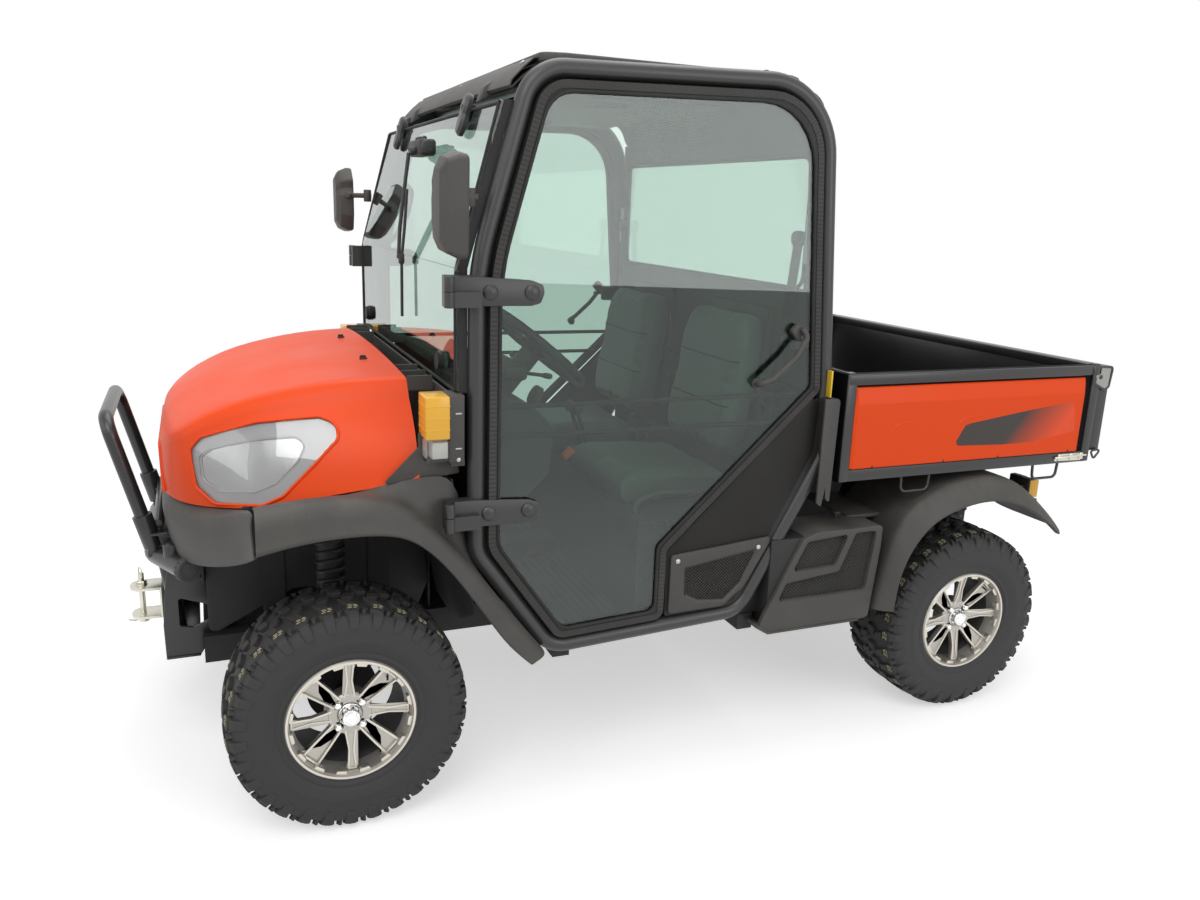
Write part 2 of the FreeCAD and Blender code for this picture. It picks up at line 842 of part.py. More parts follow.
def make_chassis_frame():
    """Ladder frame with cross tubes, skid plate, cab arms, bed towers and hitch."""
    top = rail_bottom_z + rail_height
    pieces = []
    for side in (-1, 1):
        x = side * rail_x
        pieces.append(block(x - rail_width / 2, x + rail_width / 2, rail_front_y, rail_rear_y,
                            rail_bottom_z, top))
        tower_x = side * rear_tower_x
        pieces.append(block(tower_x - rear_tower_width / 2, tower_x + rear_tower_width / 2,
                            rear_tower_y - rear_tower_width, rear_tower_y,
                            rail_bottom_z, bed_pivot_z - bed_pivot_lug_width))
        ear = block(tower_x - bed_pivot_lug_width / 4, tower_x + bed_pivot_lug_width / 4,
                    bed_pivot_y - bed_pivot_lug_width, bed_pivot_y + bed_pivot_lug_width,
                    bed_pivot_z - bed_pivot_lug_width * 1.2, bed_pivot_z + bed_pivot_lug_width)
        pieces.append(ear)
        for y in (front_axle_y - arm_spread, front_axle_y + arm_spread):
            pieces.append(block(x - rail_width / 2, x + rail_width / 2, y - front_tower_depth / 2,
                                y + front_tower_depth / 2, top, strut_top_z))
        shelf = block(min(x, side * (strut_top_x + strut_diameter)),
                      max(x, side * (strut_top_x + strut_diameter)),
                      front_axle_y - arm_spread - front_tower_depth / 2,
                      front_axle_y + arm_spread + front_tower_depth / 2, strut_top_z,
                      strut_top_z + skid_plate_thickness * 2)
        pieces.append(shelf)
    for y in (rail_front_y, floor_bar_y, bed_rest_y, rail_rear_y - cross_tube_width):
        pieces.append(block(-rail_x, rail_x, y, y + cross_tube_width,
                            rail_bottom_z, rail_bottom_z + cross_tube_height))
    rear_bar = block(-rear_tower_x, rear_tower_x, rail_rear_y - cross_tube_width, rail_rear_y,
                     rail_bottom_z, rail_bottom_z + cross_tube_height)
    pieces.append(rear_bar)
    reach = cab_tube_x - cab_tube_r - seat_gap
    for y in (floor_bar_y, seat_base_rear_y - cross_tube_width * 3):
        for side in (-1, 1):
            x0, x1 = side * (rail_x - rail_width / 2), side * reach
            pieces.append(block(min(x0, x1), max(x0, x1), y, y + cross_tube_width,
                                tub_floor_z - seat_gap - cross_tube_height,
                                tub_floor_z - seat_gap))
    foot_x = cylinder_foot_x
    base_x = eye_width / 2 + eye_lug_gap + eye_lug_thickness
    foot_low = rail_bottom_z + rail_height
    for out in (-1, 1):
        x0 = foot_x + out * (eye_width / 2 + eye_lug_gap)
        x1 = foot_x + out * base_x
        pieces.append(block(min(x0, x1), max(x0, x1), cylinder_foot_y - eye_diameter / 2,
                            cylinder_foot_y + eye_diameter / 2,
                            foot_low - eye_lug_thickness, cylinder_foot_z + eye_diameter / 4))
    pieces.append(block(foot_x - base_x, foot_x + base_x, cylinder_foot_y - eye_diameter / 2,
                        cylinder_foot_y + eye_diameter / 2, foot_low - eye_lug_thickness,
                        foot_low))
    pieces.append(rod(vec(foot_x - base_x, cylinder_foot_y, cylinder_foot_z),
                      vec(foot_x + base_x, cylinder_foot_y, cylinder_foot_z),
                      foot_pin_diameter))
    rest_top = bed_bottom_z - seat_gap
    for side in (-1, 1):
        x = side * rear_tower_x
        pieces.append(block(x - bed_rest_width / 2, x + bed_rest_width / 2, bed_rest_y,
                            bed_rest_y + bed_rest_width, rail_bottom_z, rest_top))
    pieces.append(block(-rear_tower_x, rear_tower_x, bed_rest_y, bed_rest_y + bed_rest_width,
                        rail_bottom_z, rail_bottom_z + cross_tube_height))
    plate = block(-rail_x, rail_x, rail_front_y, floor_bar_y + cross_tube_width,
                  rail_bottom_z - skid_plate_thickness, rail_bottom_z)
    pieces.append(plate)
    lamp_x = tail_lamp_x + tail_lamp_width / 2
    for side in (-1, 1):
        pieces.append(block(min(side * rear_tower_x, side * lamp_x),
                            max(side * rear_tower_x, side * lamp_x),
                            tail_lamp_y - tail_bracket_thickness, tail_lamp_y + tail_lamp_depth,
                            tail_lamp_z - seat_gap - tail_bracket_thickness,
                            tail_lamp_z - seat_gap))
    hitch = block(-hitch_tube / 2, hitch_tube / 2, rail_rear_y - cross_tube_width,
                  rail_rear_y + hitch_length, hitch_z - hitch_tube / 2, hitch_z + hitch_tube / 2)
    inner = hitch_tube / 2 - hitch_wall
    bore = block(-inner, inner, rail_rear_y, rail_rear_y + hitch_length + overrun,
                 hitch_z - inner, hitch_z + inner)
    pieces.append(hitch)
    pin_y = rail_rear_y + hitch_length - hitch_pin_inset
    pin_hole = rod(vec(-hitch_tube, pin_y, hitch_z), vec(hitch_tube, pin_y, hitch_z),
                   hitch_pin_diameter)
    frame = fused(pieces).cut(bore).cut(pin_hole)
    pivot = rod(vec(-rear_tower_x - overrun * 2, bed_pivot_y, bed_pivot_z),
                vec(rear_tower_x + overrun * 2, bed_pivot_y, bed_pivot_z),
                bed_pivot_diameter)
    return frame.cut(pivot)


def make_bull_bar():
    """Front guard: hoop, bent bumper tube with end caps, side plates and lower stays."""
    x = guard_half_width - guard_tube / 2
    hoop = bent_tube([
        vec(-x, guard_foot_y, guard_foot_z), vec(-x, guard_top_y, guard_top_z),
        vec(x, guard_top_y, guard_top_z), vec(x, guard_foot_y, guard_foot_z),
    ], guard_tube, guard_bend)
    bumper = bent_tube([
        vec(-bumper_end_x, bumper_end_y, bumper_z), vec(-bumper_straight_x, bumper_y, bumper_z),
        vec(bumper_straight_x, bumper_y, bumper_z), vec(bumper_end_x, bumper_end_y, bumper_z),
    ], bumper_tube, bumper_tube)
    pieces = [hoop, bumper]
    way = vec(bumper_end_x - bumper_straight_x, bumper_end_y - bumper_y, 0)
    way.normalize()
    end = vec(bumper_end_x, bumper_end_y, bumper_z)
    cap = rod(end - way * (bumper_cap_length / 2), end + way * (bumper_cap_length / 2),
              bumper_cap_diameter)
    pieces += [cap, mirrored(cap)]
    plate_points = [
        (bumper_y, bumper_z), (bumper_y, guard_brace_z),
        (apron_front_y + apron_wall * 2, guard_brace_z),
        (rail_front_y - seat_gap, rail_bottom_z + rail_height),
        (rail_front_y - seat_gap, rail_bottom_z), (guard_lower_rear_y, guard_lower_z),
        (guard_lower_front_y, guard_lower_z), (guard_lower_front_y, rail_bottom_z + rail_height),
    ]
    plate = side_plate(plate_points, guard_plate_x, guard_plate_x + guard_plate_thickness)
    pieces += [plate, mirrored(plate)]
    stay = rod(vec(guard_stay_x, bumper_y, bumper_z),
               vec(guard_stay_x, guard_lower_front_y + guard_stay_tube, guard_lower_z),
               guard_stay_tube)
    pieces += [stay, mirrored(stay)]
    cross = block(-guard_plate_x - guard_plate_thickness, guard_plate_x + guard_plate_thickness,
                  guard_lower_front_y, guard_lower_rear_y, guard_lower_z - guard_plate_thickness,
                  guard_lower_z)
    pieces.append(cross)
    brace = rod(vec(-x, guard_foot_y - guard_plate_thickness, guard_brace_z),
                vec(x, guard_foot_y - guard_plate_thickness, guard_brace_z), guard_stay_tube)
    pieces.append(brace)
    web = block(-guard_stay_x, guard_stay_x, guard_lower_front_y,
                guard_lower_front_y + guard_plate_thickness,
                guard_lower_z - guard_plate_thickness, clevis_centre_z + clevis_width)
    pieces.append(web)
    return fused(pieces)


def make_tow_clevis():
    """Zinc plated clevis with its pin and ring."""
    back_y = guard_lower_front_y - seat_gap
    tip_y = back_y - clevis_length
    half_gap = clevis_gap / 2
    plates = []
    for z in (clevis_centre_z + half_gap, clevis_centre_z - half_gap - clevis_thickness):
        leaf = block(-clevis_width / 2, clevis_width / 2, tip_y, back_y, z, z + clevis_thickness)
        corners = [e for e in leaf.Edges if abs(e.tangentAt(e.FirstParameter).z) > 1 - 1e-6
                   and e.CenterOfMass.y < tip_y + clevis_thickness]
        plates.append(leaf.makeFillet(clevis_width * 0.4, corners))
    back = block(-clevis_back_width / 2, clevis_back_width / 2, back_y - clevis_thickness, back_y,
                 clevis_centre_z - half_gap, clevis_centre_z + half_gap)
    body = fused(plates + [back])
    pin_y = tip_y + clevis_pin_inset
    low = vec(0, pin_y, clevis_centre_z - clevis_pin_length * 0.42)
    high = vec(0, pin_y, clevis_centre_z + clevis_pin_length * 0.58)
    ring = Part.makeTorus(clevis_ring_diameter / 2, clevis_ring_wire / 2,
                          high + vec(0, 0, clevis_ring_diameter / 2 - clevis_ring_wire),
                          vec(1, 0, 0))
    return fused([body, rod(low, high, clevis_pin_diameter), ring])


def make_cab_frame():
    """Two side hoops, cross bars, rear pillar plates and hinge brackets' seats."""
    line = hoop_line()
    points = [vec(cab_tube_x, y, z) for y, z in line]
    hoop = bent_tube(points, cab_tube, hoop_bends(), True)
    pieces = [hoop, mirrored(hoop)]
    front, rear = line[3], line[4]
    for y, z in ((front[0] + cab_bend, front[1]), (rear[0] - cab_rear_bend, rear[1])):
        bar = rod(vec(-cab_tube_x, y, z), vec(cab_tube_x, y, z), cross_bar_tube)
        pieces.append(bar)
    for z in (rear_bar_z,):
        y = hoop_rear_y(z)
        pieces.append(rod(vec(-cab_tube_x, y, z), vec(cab_tube_x, y, z), cross_bar_tube))
    y_low = hoop_rear_y(pillar_plate_bottom_z) - cab_tube_r
    y_high = hoop_rear_y(pillar_plate_top_z)
    plate = side_plate([
        (y_high - cab_tube_r, pillar_plate_top_z),
        (y_high + pillar_plate_width / 2 + pillar_plate_thickness / 2, pillar_plate_top_z),
        (y_high + pillar_plate_width / 2, pillar_plate_bottom_z),
        (y_low, pillar_plate_bottom_z + pillar_plate_width / 2),
    ], cab_outer_x - pillar_plate_thickness, cab_outer_x + pillar_plate_thickness * 2,
        pillar_plate_thickness)
    plate = plate.cut(hoop)
    pieces += [plate, mirrored(plate)]
    return fused(pieces)


def hinge_bracket(z):
    """The pillar's half of a hinge: a plate on the hoop, an arm and the lower knuckle with its pin."""
    pillar_y = hoop_front_y(z)
    outer = cab_outer_x
    low = z - hinge_height / 2
    arm = block(outer - cab_tube_r, hinge_x, hinge_y - hinge_strap_thickness,
                pillar_y, low, low + hinge_height)
    window = block(outer - hinge_strap_gap, hinge_x + overrun, hinge_y - overrun,
                   pillar_y + overrun, low + hinge_height / 2, low + hinge_height + overrun)
    knuckle = rod(vec(hinge_x, hinge_y, low),
                  vec(hinge_x, hinge_y, low + hinge_height / 2 - seat_gap),
                  hinge_knuckle_diameter)
    pin = rod(vec(hinge_x, hinge_y, low), vec(hinge_x, hinge_y, low + hinge_height),
              hinge_pin_diameter)
    line = [vec(cab_tube_x, y, zz) for y, zz in hoop_line()]
    tube = bent_tube(line, cab_tube, hoop_bends(), True)
    return fused([arm.cut(window), knuckle, pin]).cut(tube)


def make_door_hinges():
    """Hinge brackets on both front pillars."""
    left = [hinge_bracket(hinge_top_z), hinge_bracket(hinge_low_z)]
    return Part.makeCompound(left + [mirrored(b) for b in left])


def make_door():
    """Door frame: a ring of flat section with two inner rails."""
    outer = side_plate(door_outline(0), door_inner_x, cab_outer_x, door_bends())
    hole = side_plate(door_outline(door_frame_width), door_inner_x - overrun,
                      cab_outer_x + overrun, door_bends())
    ring = outer.cut(hole)
    rails = []
    inner = door_outline(door_frame_width / 2)
    for z in (door_rail_low_z, door_rail_high_z):
        y0 = cross_at(inner[1], inner[2], z)
        y1 = (inner[5][0] if z > inner[5][1] else
              cross_at(inner[5], inner[6], z))
        x = door_inner_x + door_rail_tube / 2 - door_rail_tube
        rails.append(rod(vec(x, y0, z), vec(x, y1, z), door_rail_tube))
    return fused([ring] + rails)


def make_door_glass():
    """The pane in the door's ring."""
    x = cab_outer_x - door_thickness / 2
    return side_plate(door_outline(door_frame_width + door_glass_gap), x,
                      x + door_glass_thickness, door_bends())


def make_door_fittings():
    """Hinge straps with domed bolts, and the curved pull handle."""
    pieces = []
    for z in (hinge_top_z, hinge_low_z):
        low = z - hinge_height / 2
        x0 = cab_outer_x + seat_gap
        end_y = hinge_y + hinge_strap_length
        strap = block(x0, x0 + hinge_strap_thickness, hinge_y, end_y,
                      low + hinge_height / 2 + seat_gap, low + hinge_height)
        tail = block(x0, x0 + hinge_strap_thickness, hinge_y + hinge_strap_length * 0.45, end_y,
                     low + hinge_height * 0.2, low + hinge_height)
        lug = block(x0, hinge_x, hinge_y,
                    hinge_y + hinge_knuckle_diameter / 2,
                    low + hinge_height / 2 + seat_gap, low + hinge_height)
        knuckle = rod(vec(hinge_x, hinge_y, low + hinge_height / 2 + seat_gap),
                      vec(hinge_x, hinge_y, low + hinge_height), hinge_knuckle_diameter)
        bore = rod(vec(hinge_x, hinge_y, low - overrun),
                   vec(hinge_x, hinge_y, low + hinge_height + overrun),
                   hinge_pin_diameter + hinge_pin_fit * 2)
        bolts = []
        for share in door_bolt_share:
            y = hinge_y + hinge_strap_length * share
            foot = vec(x0 + hinge_strap_thickness, y, z + hinge_height * 0.1)
            bolts.append(rod(foot, foot + vec(hinge_bolt_height, 0, 0), hinge_bolt_diameter))
        body = fused([strap, tail, lug, knuckle] + bolts).cut(bore)
        pieces.append(body)
    x0 = cab_outer_x - door_thickness / 2 + door_glass_thickness + seat_gap
    x1 = x0 + handle_rise
    low = vec(x0, handle_low_y, handle_low_z)
    high = vec(x0, handle_high_y, handle_high_z)
    span_y = handle_high_y - handle_low_y
    span_z = handle_high_z - handle_low_z
    bow = vec(x1, handle_high_y - span_y * (1 - handle_bow_share),
              handle_low_z + span_z * (1 - handle_bow_share))
    handle = bent_tube([low, vec(x1, handle_low_y, handle_low_z), bow,
                        vec(x1, handle_high_y, handle_high_z), high],
                       handle_tube, handle_tube * 1.2)
    pieces.append(handle)
    return Part.makeCompound(pieces)


def screen_profile(z0, z1, near, far):
    """The windshield's side section between two heights, at two distances ahead of the pillar."""
    line = hoop_line()
    knee = line[2][1]
    low, high = hoop_front_y(z0), hoop_front_y(z1)
    mid = hoop_front_y(knee)
    rise, run = line[3][1] - knee, line[3][0] - line[2][0]
    lean = math.hypot(rise, run) / rise
    turn = (1 + lean) / 2
    if z0 > knee:
        return [(low - near * lean, z0), (low - far * lean, z0),
                (high - far * lean, z1), (high - near * lean, z1)]
    return [(low - near, z0), (low - far, z0), (mid - far * turn, knee),
            (high - far * lean, z1), (high - near * lean, z1), (mid - near * turn, knee)]


def make_windshield():
    """The front pane ahead of the pillars."""
    near = cab_tube_r + windshield_seal_depth + seat_gap
    pane = side_plate(screen_profile(windshield_bottom_z, windshield_top_z, near,
                                     near + windshield_thickness),
                      -windshield_half_width, windshield_half_width)
    return pane


def make_windshield_seal():
    """Dark frame between the pane and the pillars, with the pane's clamps and top hinges."""
    near, far = cab_tube_r + seat_gap, cab_tube_r + windshield_seal_depth
    frame = side_plate(screen_profile(windshield_bottom_z, windshield_top_z, near, far),
                       -windshield_half_width, windshield_half_width)
    hole = side_plate(screen_profile(windshield_bottom_z + windshield_seal_width,
                                     windshield_top_z - windshield_seal_width,
                                     near - overrun, far + overrun),
                      -windshield_half_width + windshield_seal_width,
                      windshield_half_width - windshield_seal_width)
    ring = frame.cut(hole)
    inner = windshield_half_width - windshield_seal_width
    limits = (cab_front_y - far * 2, rear_panel_y, windshield_bottom_z - far,
              windshield_top_z + far)
    posts = ring.cut(block(-inner, inner, *limits))
    bars = ring.common(block(-inner + seat_gap, inner - seat_gap, *limits))
    pieces = posts.Solids + bars.Solids
    face = far + seat_gap * 2 + windshield_thickness
    for x in (windshield_half_width - clamp_inset_x, -windshield_half_width + clamp_inset_x):
        z = windshield_bottom_z + clamp_rise
        y = hoop_front_y(z) - face
        pieces.append(rod(vec(x, y, z), vec(x, y - clamp_height, z), clamp_diameter))
    return Part.makeCompound(pieces)


def make_rear_window():
    return block(-rear_window_half_width + seat_gap, rear_window_half_width - seat_gap,
                 rear_panel_y + seat_gap, rear_panel_y + rear_window_thickness,
                 rear_window_bottom_z + seat_gap, rear_window_top_z - seat_gap)


def make_rear_panel():
    """Bulkhead behind the seats with the rear window's opening."""
    half = cab_tube_x - cab_tube_r - seat_gap
    panel = block(-half, half, rear_panel_y, rear_panel_y + rear_panel_thickness,
                  rear_panel_bottom_z, rear_panel_top_z)
    hole = block(-rear_window_half_width, rear_window_half_width, rear_panel_y - overrun,
                 rear_panel_y + overrun, rear_window_bottom_z, rear_window_top_z)
    line = hoop_line()
    bars = [rod(vec(-cab_tube_x, hoop_rear_y(rear_bar_z), rear_bar_z),
                vec(cab_tube_x, hoop_rear_y(rear_bar_z), rear_bar_z), cross_bar_tube + seat_gap)]
    return panel.cut(hole).cut(fused(bars))


def make_roof():
    """Roof panel with a hollow underside and the sloped visor over the windshield."""
    top = block(-roof_half_width, roof_half_width, roof_front_y, roof_rear_y,
                roof_top_z - roof_thickness, roof_top_z)
    edges = [e for e in top.Edges if e.CenterOfMass.z > roof_top_z - seat_gap]
    top = top.makeFillet(roof_thickness / 2, edges)
    line = hoop_line()
    cut = []
    for side in (-1, 1):
        points = [vec(side * cab_tube_x, y, z) for y, z in line]
        cut.append(bent_tube(points, cab_tube + seat_gap * 2, hoop_bends(), True))
    front, rear = line[3], line[4]
    for y, z in ((front[0] + cab_bend, front[1]), (rear[0] - cab_rear_bend, rear[1])):
        cut.append(rod(vec(-cab_outer_x, y, z), vec(cab_outer_x, y, z),
                       cross_bar_tube + seat_gap * 2))
    pocket = block(-roof_half_width + roof_thickness * 2, roof_half_width - roof_thickness * 2,
                   roof_front_y + roof_thickness * 4, roof_rear_y - roof_thickness,
                   roof_top_z - roof_thickness - overrun, roof_top_z - roof_wall)
    visor_z = roof_top_z - roof_thickness
    visor = side_plate([
        (roof_front_y, visor_z), (roof_front_y, roof_top_z - roof_wall * 2),
        (roof_front_y - visor_reach, roof_top_z - visor_drop),
        (roof_front_y - visor_reach, roof_top_z - visor_drop - visor_thickness),
    ], -roof_half_width + roof_thickness, roof_half_width - roof_thickness)
    body = fused([top, visor])
    for piece in cut + [pocket]:
        body = body.cut(piece)
    return body


def hood_wire(row, wall, drop):
    """One cross section of the hood: a crowned top, two sides and a flat lower line."""
    place, crease_x, crease_z, crown_z, low_x, low_z = row
    y = hood_front_y + place * (hood_rear_y - hood_front_y)
    height = hood_high_z - hood_low_z
    cx = crease_x * hood_half_width - wall
    cz = hood_low_z + crease_z * height - wall
    mz = hood_low_z + crown_z * height - wall
    lx = low_x * hood_half_width - wall
    lz = hood_low_z + low_z * height - drop
    right, left = vec(cx, y, cz), vec(-cx, y, cz)
    low_right, low_left = vec(lx, y, lz), vec(-lx, y, lz)
    return Part.Wire([
        Part.Arc(left, vec(0, y, mz), right).toShape(),
        Part.LineSegment(right, low_right).toShape(),
        Part.LineSegment(low_right, low_left).toShape(),
        Part.LineSegment(low_left, left).toShape(),
    ])


def hood_solid(wall, drop, shift):
    """Smooth loft through the hood's cross sections."""
    body = Part.makeLoft([hood_wire(row, wall, drop) for row in hood_section_shares], True, True)
    body.translate(vec(0, shift, 0))
    return body


def lamp_outline():
    return spots(lamp_shares, lamp_front_y, lamp_bottom_z, lamp_length, lamp_height)


def make_hood():
    """Painted hood: a lofted shell with the nose opening and both lamp openings."""
    outer = hood_solid(0, 0, 0)
    inner = hood_solid(hood_wall, overrun, hood_wall)
    shell = outer.cut(inner)
    nose = front_plate([
        (-grille_half_bottom, hood_low_z - overrun), (grille_half_bottom, hood_low_z - overrun),
        (grille_half_top, grille_top_z), (-grille_half_top, grille_top_z),
    ], hood_front_y - overrun, hood_front_y + overrun * 3)
    shell = shell.cut(nose)
    window = side_plate(lamp_outline(), lamp_inner_x, hood_half_width + overrun, lamp_corner)
    shell = shell.cut(window).cut(mirrored(window))
    rear = side_plate([
        (hood_corner_cut_y, hood_low_z - overrun), (hood_corner_cut_y, fender_high_z + hood_gap),
        (hood_rear_y + overrun, hood_corner_cut_z + overrun * 2),
        (hood_rear_y + overrun, hood_low_z - overrun),
    ], -hood_half_width - overrun, hood_half_width + overrun)
    shell = shell.cut(rear)
    shell = max(shell.Solids, key=lambda s: s.Volume)
    plates = []
    for side in (-1, 1):
        x0 = side * hood_hinge_x - hood_hinge_plate / 2
        plate = side_plate([
            (hood_hinge_y - hood_hinge_boss * 3, hood_high_z), (hood_hinge_y, hood_high_z),
            (hood_hinge_y + hood_hinge_boss / 2, hood_hinge_z + hood_hinge_boss / 2),
            (hood_hinge_y + hood_hinge_boss / 2, hood_hinge_z - hood_hinge_boss / 2),
            (hood_hinge_y - hood_hinge_boss / 2, hood_hinge_z - hood_hinge_boss / 2),
        ], x0, x0 + hood_hinge_plate, [0, 0] + [hood_hinge_boss / 2] * 3)
        plates.append(plate.common(hood_solid(hood_wall / 2, 0, 0)))
    bore = rod(vec(-hood_half_width, hood_hinge_y, hood_hinge_z),
               vec(hood_half_width, hood_hinge_y, hood_hinge_z),
               hood_hinge_pin + hood_hinge_fit * 2)
    bore = bore.common(fused(plates))
    return fused([shell] + plates).cut(bore)


def make_hood_grille():
    """Black nose grille with rows of slots."""
    y0 = hood_front_y + hood_wall * 2
    panel = front_plate([
        (-grille_half_bottom + grille_gap, grille_bottom_z + grille_gap),
        (grille_half_bottom - grille_gap, grille_bottom_z + grille_gap),
        (grille_half_top - grille_gap, grille_top_z - grille_gap),
        (-grille_half_top + grille_gap, grille_top_z - grille_gap),
    ], y0, y0 + grille_thickness)
    z = grille_bottom_z + grille_border
    while z + grille_slot_height < grille_top_z - grille_border:
        half = grille_half_top - grille_border * 2
        for x0, x1 in ((-half, -grille_border / 2), (grille_border / 2, half)):
            panel = panel.cut(block(x0, x1, y0 - overrun, y0 + overrun, z,
                                    z + grille_slot_height))
        z += grille_slot_height + grille_slot_gap
    inner = hood_solid(hood_wall + seat_gap, overrun, hood_wall)
    return max(panel.common(inner).Solids, key=lambda s: s.Volume)


def make_headlamps():
    """Two lamp bodies whose lenses fill the openings in the hood."""
    outline = inset(lamp_outline(), lamp_gap)
    body = side_plate(outline, lamp_inner_x, hood_half_width + overrun, lamp_corner)
    body = body.common(hood_solid(lamp_gap, 0, 0))
    solid = max(body.Solids, key=lambda s: s.Volume)
    return both_sides(solid)


def make_front_apron():
    """Dark front apron that wraps round the nose under the hood."""
    def outline(wall):
        shoulder = apron_front_y + (apron_rear_y - apron_front_y) * apron_shoulder_share
        front = apron_front_y + wall
        return [
            (-apron_half_width + wall, apron_rear_y), (-apron_half_width + wall, apron_rear_y
             - overrun + wall),
            (-apron_shoulder_x, shoulder + wall), (-apron_nose_half, front), (apron_nose_half, front),
            (apron_shoulder_x, shoulder + wall),
            (apron_half_width - wall, apron_rear_y - overrun + wall),
            (apron_half_width - wall, apron_rear_y),
        ]
    body = plan_plate(outline(0), apron_bottom_z, apron_top_z)
    pocket = plan_plate([(x, y + (overrun if y == apron_rear_y else 0)) for x, y in
                         outline(apron_wall)], apron_bottom_z - overrun,
                        apron_top_z - apron_wall)
    body = body.cut(pocket)
    opening = block(-apron_opening_half, apron_opening_half, apron_front_y - overrun,
                    apron_front_y + overrun, apron_bottom_z - overrun, apron_opening_top_z)
    body = body.cut(opening)
    for side in (-1, 1):
        wedge = front_plate([
            (side * apron_nose_half, apron_bottom_z - overrun),
            (side * (apron_half_width + overrun), apron_bottom_z - overrun),
            (side * (apron_half_width + overrun), apron_top_z - overrun),
            (side * apron_shoulder_x, apron_bottom_z + overrun),
        ], apron_front_y - overrun, apron_rear_y + overrun)
        body = body.cut(wedge)
    return max(body.Solids, key=lambda s: s.Volume)


def fender_points():
    length = fender_rear_y - fender_front_y
    height = fender_high_z - fender_low_z
    upper = spots(fender_upper_shares, fender_front_y, fender_low_z, length, height)
    lower = spots(fender_lower_shares, fender_front_y, fender_low_z, length, height)
    return upper, lower


def hood_low_points(drop):
    """The hood's lower edge as YZ points, moved down."""
    height = hood_high_z - hood_low_z
    return [(hood_front_y + row[0] * (hood_rear_y - hood_front_y), hood_low_z
             + row[5] * height - drop) for row in hood_section_shares]


def make_front_fenders():
    """Front fenders: flare with a deep lip, shelf under the hood's edge, cheek and lamp base."""
    upper, lower = fender_points()
    band = side_plate(upper + lower, fender_inner_x, fender_outer_x)
    under = [(y, z - fender_wall) for y, z in upper]
    under[0] = (under[0][0] - overrun, under[0][1])
    last = (upper[-1][0] - fender_wall, upper[-1][1] - overrun)
    pocket = side_plate(under[:-1] + [last] + [(fender_front_y - overrun, fender_low_z - overrun)],
                        fender_inner_x - overrun, fender_outer_x - fender_wall)
    body = band.cut(pocket)
    pillar = block(fender_inner_x - overrun, cab_outer_x + seat_gap * 2,
                   cab_front_y - move_gap, fender_rear_y + overrun,
                   fender_low_z - overrun, fender_high_z + overrun)
    body = body.cut(pillar)
    low = [p for p in hood_low_points(fender_shelf_gap) if p[0] > fender_front_y]
    first = (fender_front_y, low[0][1] - (low[0][0] - fender_front_y) * 0.2)
    line = [first] + low + [(fender_cheek_rear_y, low[-1][1])]
    shelf = side_plate(line + [(y, z - fender_wall) for y, z in reversed(line)],
                       fender_shelf_x, fender_inner_x + fender_wall)
    top = [p for p in upper if p[0] < fender_cheek_rear_y]
    wall_top = [(y, z - fender_wall / 2) for y, z in top]
    wall = side_plate(line[:-1] + list(reversed(wall_top[:-1])), fender_inner_x,
                      fender_inner_x + fender_wall)
    cheek = side_plate([
        (hood_rear_y + hood_gap, low[-1][1] - fender_wall / 2),
        (fender_cheek_rear_y, low[-1][1] - fender_wall / 2),
        (fender_cheek_rear_y, fender_cheek_top_z), (hood_rear_y + hood_gap, fender_cheek_top_z),
    ], fender_inner_x, fender_inner_x + fender_cheek_thickness)
    base_y = signal_front_y + signal_depth + seat_gap
    base = block(fender_inner_x, fender_inner_x + fender_cheek_thickness * 5, base_y,
                 fender_cheek_rear_y, low[-1][1], signal_bottom_z + signal_height)
    body = fused([body, shelf, wall, cheek, base])
    return both_sides(max(body.Solids, key=lambda s: s.Volume))


def make_turn_signals():
    """Signal lamps on their dark bases beside the cowl."""
    lamp = block(signal_inner_x, signal_inner_x + signal_width, signal_front_y,
                 signal_front_y + signal_depth, signal_bottom_z, signal_bottom_z + signal_height)
    lamp = lamp.makeFillet(signal_corner, lamp.Edges)
    return both_sides(lamp)


def cowl_wire(y, top_half, top_z, wall, drop):
    """Cross section of the cowl: a crowned top over sloped sides."""
    half = cowl_half_width - wall
    right, left = vec(top_half - wall, y, top_z - cowl_drop - wall), None
    left = vec(-right.x, y, right.z)
    low_right = vec(half, y, cowl_bottom_z - drop)
    low_left = vec(-half, y, cowl_bottom_z - drop)
    return Part.Wire([
        Part.Arc(left, vec(0, y, top_z - wall), right).toShape(),
        Part.LineSegment(right, low_right).toShape(),
        Part.LineSegment(low_right, low_left).toShape(),
        Part.LineSegment(low_left, left).toShape(),
    ])


